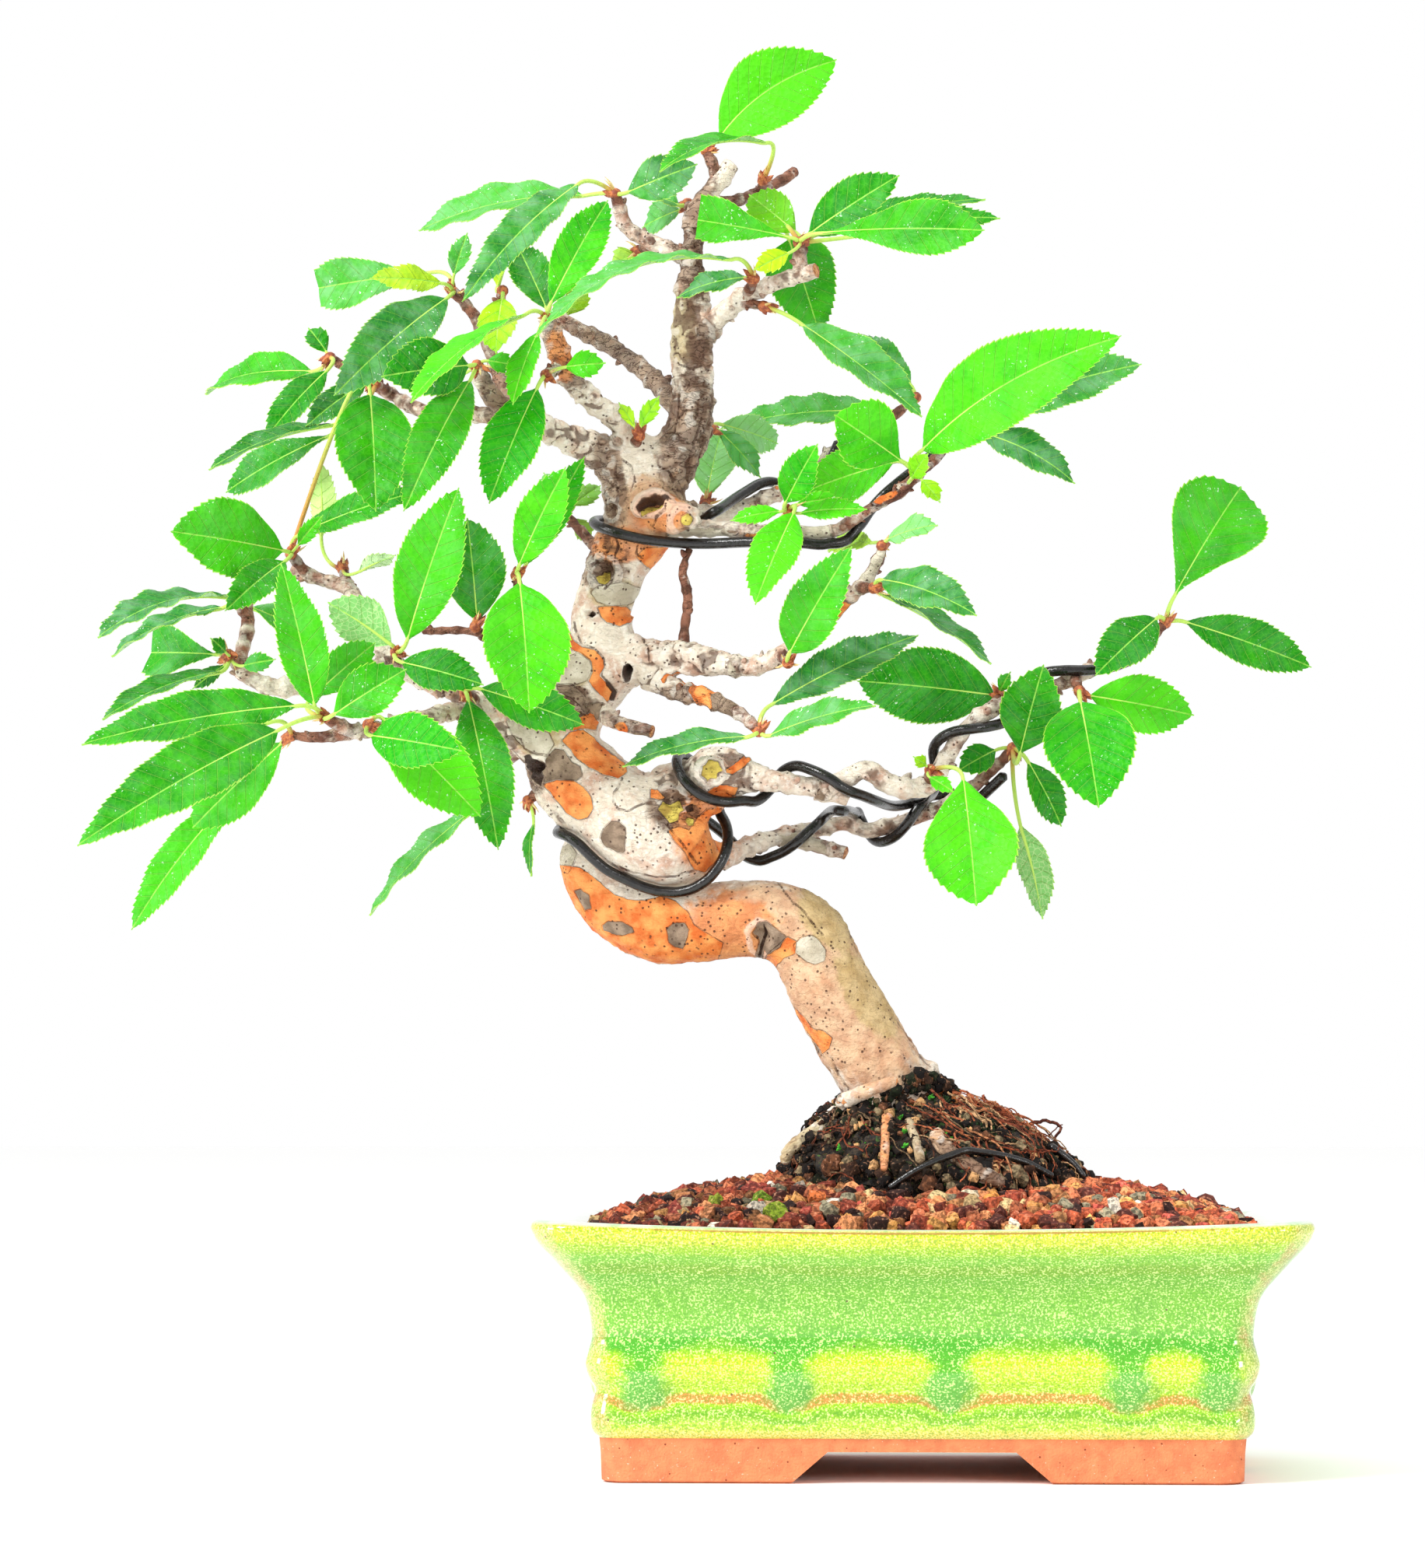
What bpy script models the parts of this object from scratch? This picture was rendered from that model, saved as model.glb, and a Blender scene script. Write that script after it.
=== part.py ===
"""A chinese quince bonsai in its green glazed pot, one object for each physical piece.

Sizes are in millimetres here and become metres when a mesh is made, with +Z up.
Places in the tree are given on a drawing board that stands at the trunk's plane: across and down in
board units, six to a millimetre, and the real depth behind that plane in millimetres. The eye that
looks at the board stands in front of the pot, so a place lies where the eye's ray meets its depth.
"""
import math
from dataclasses import dataclass

import bmesh
import bpy
import numpy as np
from mathutils import Matrix

POT_LENGTH = 160.0
POT_DEPTH = 112.0
POT_HEIGHT = 54.0
POT_CORNER = 10.0
RIM_SAG = 1.9
FLOOR_TOP = 13.0
DRAIN_HOLE = 11.0
DRAIN_PLACE = 32.0
FOOT_WALL = 9.0
FOOT_CUT_HEIGHT = 6.5
FOOT_CUT_TOP = 38.5
FOOT_CUT_BOTTOM = 56.0
SIDE_CUT_TOP = 15.0
SIDE_CUT_BOTTOM = 24.0
SCREEN_SIZE = 20.0
SCREEN_THICKNESS = 1.2
GAP = 0.3

SOIL_EDGE = 51.3
SOIL_HEAP = 9.5
SOIL_GRAIN = 0.75
SOIL_BOTTOM = FLOOR_TOP + SCREEN_THICKNESS + 2.0 * GAP
BALL_MIDDLE = 2.7
BALL_HALF_LENGTH = 33.4
BALL_HALF_DEPTH = 26.8
BALL_BOTTOM = 44.0
BALL_SHOULDER = 60.0
BALL_TOP = 79.0
BALL_SIDES = 18
BALL_SLOPES = 4
WELL_CLEARANCE = 0.5

WIRE_RADIUS = 1.15
ANCHOR_RADIUS = 0.8
WIRE_CLEARANCE = 0.5
HUB_RADIUS = 1.7
STALK_HALF = 0.5
BLADE_THICKNESS = 0.7
TOOTH = 0.7
ROUND_ANGLE = 50.0

BOARD_SCALE = 6.0
BOARD_MIDDLE = (916.0, 1008.0)
EYE_DISTANCE = 1060.0
EYE_HEIGHT = 80.2
EYE_TURN = math.radians(2.41)
EYE_LIFT = math.radians(3.55)

# Outer side of the pot, from the foot up: how far it stands in from the rim, and its height
POT_OUTSIDE = (
    (14.5, 0.0), (13.9, 6.0), (13.6, 9.1), (12.2, 10.6), (11.8, 13.3), (12.2, 16.2), (12.8, 19.0),
    (11.6, 21.2), (10.8, 24.0), (11.5, 27.2), (12.0, 30.5), (10.6, 37.8), (6.2, 43.6), (1.4, 49.0),
    (0.0, 51.8),
)
POT_INSIDE = (
    (0.9, 54.0), (7.6, 53.8), (11.6, 50.0), (16.4, 41.0), (18.6, 30.0), (20.0, 17.0), (23.0, FLOOR_TOP),
)


@dataclass(frozen=True)
class Limb:
    """A stretch of wood: places on the board, each with its radius in board units."""

    path: tuple
    sides: int = 5
    spacing: float = 11.5
    bud: bool = False


@dataclass(frozen=True)
class Leaf:
    """A leaf: where its blade starts and ends on the board, and how the blade is shaped.

    wide is the blade's full width in millimetres. roll turns the upper face from facing the eye (0)
    to facing up (90) or away (180). bend arches the blade, sweep curves it sideways, curl turns its
    tip down and fold lifts its halves, all as parts of its length or in degrees for fold.
    belly is where it is widest, and cut is where a cut blade ends.
    """

    base: tuple
    tip: tuple
    wide: float
    roll: float = 15.0
    bend: float = 0.05
    sweep: float = 0.0
    curl: float = 0.0
    fold: float = 14.0
    belly: float = 0.5
    cut: float = 1.0


@dataclass(frozen=True)
class Spray:
    """The leaves of one bud, the bud's place on the board, and their colour."""

    hub: tuple
    leaves: tuple
    colour: str = "mature"


# The wood: every limb as (across, down, behind, radius)
LIMBS = {
    "trunk_lower": Limb((
        (1146, 1440, 0, 62), (1142, 1398, 0, 58), (1104, 1334, -1, 56), (1065, 1264, -2, 54),
        (1040, 1212, -2, 53), (1004, 1186, -2, 51), (958, 1181, -1, 49), (900, 1187, 0, 51),
        (850, 1184, 1, 54), (808, 1164, 3, 55), (776, 1128, 5, 52), (768, 1092, 6, 46),
        (778, 1070, 6, 34)), sides=9, spacing=8.6),
    "trunk_upper": Limb((
        (902, 1104, -4, 34), (884, 1096, -4, 52), (862, 1080, -5, 62), (818, 1058, -5, 66),
        (782, 1034, -4, 60), (744, 1002, -3, 60), (722, 955, -2, 50), (738, 905, -1, 46),
        (768, 855, -1, 53), (774, 820, -1, 44), (773, 789, -1, 37), (786, 748, 0, 38),
        (797, 718, 0, 41), (820, 684, 0, 45), (829, 651, 1, 53), (826, 613, 1, 50),
        (842, 585, 0, 34)), sides=8, spacing=8.2),
    "leader": Limb((
        (840, 625, 1, 34), (866, 588, 0, 34), (882, 558, 0, 30), (890, 520, 0, 29), (891, 470, -1, 28),
        (890, 425, -1, 27), (890, 380, -2, 22), (890, 330, -2, 17), (893, 280, -2, 14),
        (915, 245, -1, 12), (941, 212, 0, 11)), sides=6, spacing=10.5),
    "crown_spur": Limb(((912, 246, -1, 8), (921, 226, -1, 7), (908, 193, 0, 6)), bud=True, sides=4),
    "crown_right": Limb(((902, 262, -2, 9), (928, 260, 0, 8), (952, 256, 3, 7), (976, 246, 7, 7),
                         (998, 236, 11, 7), (1022, 221, 15, 7))),
    "crown_right_spur": Limb(((975, 248, 7, 5), (981, 232, 1, 4)), bud=True, sides=4),
    "leader_back_spur": Limb(((893, 285, -1, 8), (884, 262, 6, 5)), bud=True, sides=4),
    "fork_left": Limb(((890, 332, -2, 13), (873, 326, 0, 10), (834, 310, 2, 10), (806, 292, 3, 9),
                       (797, 268, 3, 8), (791, 249, 2, 7)), bud=True),
    "fork_left_spur": Limb(((838, 312, 2, 7), (822, 322, 7, 5)), bud=True, sides=4),
    "fork_right": Limb(((905, 424, -1, 16), (926, 407, -4, 13), (955, 383, -9, 12), (999, 363, -15, 10),
                        (1049, 348, -19, 10))),
    "fork_right_spur": Limb(((1030, 352, -17, 9), (1027, 312, -20, 7)), bud=True, sides=4),
    "fork_middle_spur": Limb(((962, 381, -10, 7), (969, 358, -18, 5)), bud=True, sides=4),
    "fork_under_spur": Limb(((950, 388, -9, 7), (982, 394, -13, 5)), bud=True, sides=4),
    "brown": Limb(((880, 528, 0, 18), (862, 512, 1, 14), (838, 486, 4, 12), (804, 458, 7, 11),
                   (771, 437, 10, 11), (738, 421, 12, 10), (714, 407, 14, 9)), bud=True),
    "middle": Limb(((838, 606, 0, 28), (812, 566, -2, 20), (798, 545, -4, 16), (770, 520, -8, 14),
                    (742, 498, -12, 14), (722, 460, -16, 13), (710, 430, -19, 13),
                    (702, 408, -21, 11)), bud=True),
    "middle_spur": Limb(((724, 468, -15, 9), (702, 482, -24, 6)), bud=True, sides=4),
    "inner_spur": Limb(((812, 580, -1, 9), (822, 560, -7, 5)), bud=True, sides=4),
    "left": Limb(((816, 612, 0, 30), (776, 586, -3, 25), (748, 572, -6, 21), (705, 553, -12, 16),
                  (662, 534, -18, 14), (634, 512, -22, 12), (620, 490, -25, 11),
                  (613, 470, -27, 9)), bud=True, sides=5),
    "left_high": Limb(((662, 534, -17, 10), (640, 480, -10, 9), (622, 430, -8, 8), (602, 396, -8, 7),
                       (583, 376, -8, 7)), bud=True),
    "left_inner": Limb(((624, 434, -8, 7), (640, 400, -11, 6), (646, 374, -12, 5)), bud=True, sides=4),
    "left_low": Limb(((668, 536, -16, 12), (600, 532, -8, 10), (543, 528, -2, 9), (500, 505, 4, 8),
                      (455, 478, 9, 7), (424, 460, 12, 6)), bud=True),
    "left_low_spur": Limb(((502, 506, 4, 7), (482, 494, -4, 5)), bud=True, sides=4),
    "low_left": Limb(((735, 975, -2, 44), (690, 945, -5, 38), (655, 930, -9, 28), (620, 908, -12, 18),
                      (565, 882, -15, 14), (505, 858, -17, 13), (445, 868, -19, 12),
                      (395, 880, -21, 12), (353, 884, -23, 11), (322, 872, -24, 10),
                      (308, 856, -23, 9), (313, 833, -21, 8), (318, 806, -19, 8),
                      (318, 771, -16, 8))),
    "low_left_spur": Limb(((318, 792, -18, 6), (301, 770, -23, 5)), bud=True, sides=4),
    "low_left_end": Limb(((310, 858, -23, 7), (294, 842, -29, 5)), bud=True, sides=4),
    "low_left_back": Limb(((316, 862, -23, 9), (306, 854, -19, 7), (292, 846, -12, 5)), bud=True, sides=4),
    "low_upper": Limb(((510, 860, -17, 10), (495, 836, -15, 10), (472, 816, -13, 10), (462, 780, -10, 10),
                       (445, 756, -8, 9), (410, 744, -6, 9), (376, 735, -4, 9))),
    "low_upper_spur": Limb(((396, 740, -5, 7), (374, 712, -9, 5)), bud=True, sides=4),
    "low_upper_bud": Limb(((450, 762, -9, 7), (441, 732, -6, 5)), bud=True, sides=4),
    "low_middle_spur": Limb(((508, 858, -18, 9), (509, 838, -25, 6)), bud=True, sides=4),
    "low_front": Limb(((628, 912, -11, 15), (575, 916, -20, 11), (520, 930, -30, 10), (470, 940, -38, 9),
                       (440, 934, -43, 8), (418, 922, -47, 7)), bud=True),
    "low_front_spur": Limb(((486, 938, -36, 7), (474, 932, -45, 5)), bud=True, sides=4),
    "low_front_stub": Limb(((462, 940, -39, 8), (414, 948, -37, 7), (374, 946, -35, 6)), bud=True),
    "inner_twig": Limb(((648, 918, -12, 12), (664, 860, -20, 8), (672, 800, -26, 7), (668, 765, -29, 6),
                        (664, 740, -31, 6)), bud=True),
    "inner_stub": Limb(((668, 850, -21, 7), (640, 828, -16, 6), (608, 812, -12, 5), (545, 811, -8, 5))),
    "inner_stub_spur": Limb(((622, 818, -13, 5), (611, 806, -18, 4)), bud=True, sides=4),
    "low_root_spur": Limb(((612, 904, -13, 9), (598, 890, -21, 6)), bud=True, sides=4),
    "low_back": Limb(((676, 955, -4, 9), (646, 985, 0, 7), (634, 1012, 2, 6)), bud=True),
    "trunk_bud": Limb(((700, 1014, -3, 8), (679, 1030, -3, 5)), bud=True, sides=4),
    "pale_twig": Limb(((792, 722, 4, 10), (755, 692, 10, 7), (726, 660, 14, 6)), bud=True),
    "stub_low": Limb(((750, 886, -3, 13), (775, 915, -10, 12), (794, 929, -16, 9), (838, 940, -19, 8))),
    "mid_right": Limb(((800, 852, -4, 30), (850, 848, -9, 24), (885, 846, -12, 20), (938, 855, -15, 14),
                       (976, 855, -17, 12), (1011, 837, -19, 11), (1053, 806, -22, 9),
                       (1084, 775, -24, 9), (1112, 748, -26, 9), (1128, 722, -28, 7),
                       (1134, 702, -29, 6)), bud=True),
    "mid_right_spur": Limb(((1104, 756, -26, 7), (1124, 756, -33, 5)), bud=True, sides=4),
    "mid_right_bud": Limb(((1005, 842, -19, 8), (1013, 852, -27, 5)), bud=True, sides=4),
    "mid_low": Limb(((838, 866, -8, 18), (870, 888, -13, 13), (903, 895, -17, 11), (937, 910, -21, 9),
                     (962, 926, -24, 8), (976, 940, -26, 7)), bud=True),
    "dead_twig": Limb(((878, 850, -11, 10), (880, 812, -9, 6), (884, 770, -8, 6), (878, 735, -7, 5),
                       (886, 706, -6, 5))),
    "knob": Limb(((868, 1030, -6, 40), (900, 1012, -9, 38), (930, 994, -12, 38), (950, 984, -14, 24)),
                 sides=7, spacing=6.0),
    "scar": Limb(((920, 994, -14, 20), (912, 986, -21, 15)), sides=6),
    "right": Limb(((930, 996, -11, 26), (984, 1003, -13, 15), (1020, 1008, -13, 13), (1059, 1012, -13, 12),
                   (1090, 1000, -14, 12), (1114, 990, -14, 12), (1140, 1006, -12, 13),
                   (1174, 1014, -11, 13), (1200, 1003, -10, 12), (1219, 970, -10, 11),
                   (1246, 932, -11, 10), (1278, 911, -11, 10), (1320, 895, -10, 9),
                   (1364, 879, -9, 9), (1396, 864, -8, 9), (1449, 846, -5, 8), (1478, 820, -3, 7),
                   (1498, 801, -2, 6)), bud=True),
    "right_stub": Limb(((1050, 1014, -13, 11), (1090, 1025, -12, 11))),
    "right_spur_low": Limb(((1196, 1004, -10, 8), (1196, 990, -19, 5)), bud=True, sides=4),
    "right_spur_high": Limb(((1272, 914, -11, 7), (1286, 894, -3, 5)), bud=True, sides=4),
    "right_spur_end": Limb(((1382, 872, -9, 7), (1388, 889, -15, 5)), bud=True, sides=4),
    "right_back": Limb(((890, 1096, 0, 26), (933, 1100, 4, 15), (968, 1086, 8, 12), (1008, 1074, 12, 11),
                        (1052, 1066, 15, 10), (1087, 1058, 17, 10), (1114, 1068, 17, 10),
                        (1138, 1063, 17, 10), (1170, 1054, 16, 9), (1215, 1035, 14, 8),
                        (1256, 1007, 10, 8), (1292, 974, 5, 7), (1302, 962, 3, 6)), bud=True),
    "right_back_stub": Limb(((1005, 1076, 12, 10), (1045, 1086, 11, 9), (1087, 1097, 9, 9))),
    "top_knob": Limb(((838, 652, -3, 30), (866, 662, -8, 22), (884, 668, -12, 15)), sides=6, spacing=6.0),
    "top_right_back": Limb(((862, 655, 2, 18), (900, 660, 5, 12), (938, 658, 8, 11), (976, 644, 10, 10),
                            (1030, 620, 12, 9), (1064, 587, 14, 8), (1110, 560, 16, 7),
                            (1152, 532, 19, 6), (1177, 511, 21, 5)), bud=True),
    "top_back_spur": Limb(((908, 660, 7, 7), (906, 648, 14, 5)), bud=True, sides=4),
    "leader_low_spur": Limb(((898, 566, 3, 9), (914, 552, 10, 5)), bud=True, sides=4),
    "top_right": Limb(((866, 672, -4, 16), (900, 679, -6, 11), (938, 680, -8, 10), (976, 684, -10, 9),
                       (1020, 685, -12, 9), (1072, 683, -13, 9), (1099, 667, -14, 8),
                       (1130, 648, -15, 7), (1162, 630, -16, 6), (1177, 610, -17, 6)), bud=True),
    "top_right_spur": Limb(((1018, 685, -12, 7), (1013, 656, -20, 5)), bud=True, sides=4),
    "top_right_long": Limb(((1154, 634, -15, 7), (1198, 594, -11, 6), (1225, 566, -8, 6),
                            (1243, 548, -5, 5)), bud=True),
}

# Surface roots on the root ball, and the fine ones at its back
ROOTS = {
    "root_right": Limb(((1200, 1462, -19, 11), (1230, 1488, -23, 10), (1262, 1508, -25, 10),
                        (1288, 1521, -25, 8))),
    "root_front": Limb(((1140, 1436, -16.5, 7), (1138, 1470, -22, 6), (1136, 1504, -25.2, 5)), sides=4),
    "root_pale": Limb(((1168, 1440, -17.5, 6), (1178, 1468, -22, 6), (1183, 1492, -24.6, 6)), sides=4),
    "root_shoulder": Limb(((1092, 1424, -2, 13), (1056, 1450, -6, 11), (1020, 1474, -8, 9),
                           (1008, 1492, -8, 7))),
    "root_cut": Limb(((1082, 1418, -5, 9), (1112, 1404, -9, 9), (1150, 1390, -11, 7))),
    "root_flare": Limb(((1186, 1380, 0, 16), (1216, 1412, 1, 15), (1242, 1440, 2, 12),
                        (1288, 1458, 3, 8), (1326, 1470, 4, 6))),
    "root_back_left": Limb(((1112, 1410, 8, 12), (1082, 1450, 14, 10), (1060, 1498, 19, 7))),
    "root_back_right": Limb(((1186, 1404, 8, 12), (1230, 1450, 15, 10), (1272, 1496, 20, 7))),
}

# Training wires: the places that they pass on the board, in front of the wood or behind it
LOWER_WIRE = (
    (1290, 998, "front"), (1268, 1014, "front"), (1252, 1034, "front"), (1238, 1038, "back"),
    (1222, 1018, "back"), (1204, 1026, "back"), (1190, 1036, "front"), (1180, 1050, "front"),
    (1168, 1064, "front"), (1148, 1076, "front"), (1126, 1080, "back"), (1108, 1070, "back"),
    (1098, 1048, "back"), (1082, 1040, "front"), (1062, 1046, "front"), (1047, 1070, "front"),
    (1027, 1090, "front"), (1004, 1101, "front"), (980, 1102, "front"), (960, 1098, "back"),
    (946, 1082, "back"), (915, 1060, "back"), (870, 1030, "back"), (820, 1010, "back"),
    (772, 1020, "back"), (738, 1042, "back"), (727, 1060, "front"), (742, 1080, "front"),
    (768, 1106, "front"), (798, 1131, "front"), (838, 1148, "front"), (865, 1151, "front"),
    (897, 1141, "front"), (921, 1117, "front"), (933, 1086, "front"), (934, 1056, "front"),
    (926, 1036, "back"), (908, 1012, "back"), (892, 996, "back"), (880, 998, "front"),
    (876, 1012, "front"), (893, 1026, "front"), (917, 1034, "front"), (944, 1030, "front"),
    (966, 1018, "front"), (982, 1000, "back"), (998, 984, "back"), (1012, 982, "front"),
    (1035, 987, "front"), (1067, 1003, "front"), (1099, 1018, "front"), (1130, 1032, "front"),
    (1158, 1038, "front"), (1184, 1034, "back"), (1204, 1014, "back"), (1206, 984, "back"),
    (1200, 962, "front"), (1206, 948, "front"), (1224, 940, "front"), (1260, 934, "front"),
    (1284, 926, "front"), (1304, 908, "back"), (1326, 884, "back"), (1350, 868, "front"),
    (1372, 864, "front"), (1396, 866, "front"), (1422, 868, "front"), (1450, 858, "front"),
    (1466, 842, "front"),
)
UPPER_WIRE = (
    (1212, 572, "back"), (1193, 591, "back"), (1174, 611, "back"), (1158, 619, "back"),
    (1140, 627, "back"), (1122, 639, "back"), (1112, 651, "back"), (1109, 668, "back"),
    (1103, 684, "back"), (1090, 691, "front"), (1068, 697, "front"), (1034, 698, "front"),
    (1000, 694, "front"), (960, 692, "front"), (931, 700, "front"), (912, 702, "front"),
    (883, 701, "front"), (853, 697, "front"), (824, 694, "front"), (795, 691, "front"),
    (772, 684, "front"), (766, 674, "back"), (790, 660, "back"), (830, 662, "back"),
    (870, 678, "back"), (892, 686, "back"), (905, 676, -1.5), (911, 664, -4.5),
    (920, 664, "front"), (938, 644, "front"), (957, 630, "front"), (980, 620, "front"),
    (996, 612, "front"), (1010, 620, "back"), (1022, 636, "back"), (1036, 638, "front"),
    (1053, 614, "front"), (1066, 592, "front"), (1078, 570, "front"),
)
ANCHOR_LONG = (
    (1144, 1527, "front"), (1158, 1515, "front"), (1180, 1500, "front"), (1208, 1488, "front"),
    (1242, 1481, "front"), (1277, 1482, "front"), (1311, 1490, "front"), (1336, 1501, "front"),
    (1352, 1512, "front"),
)
ANCHOR_SHORT = (
    (1352, 1474, "front"), (1370, 1487, "front"), (1385, 1501, "front"), (1392, 1513, "front"),
)

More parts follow.
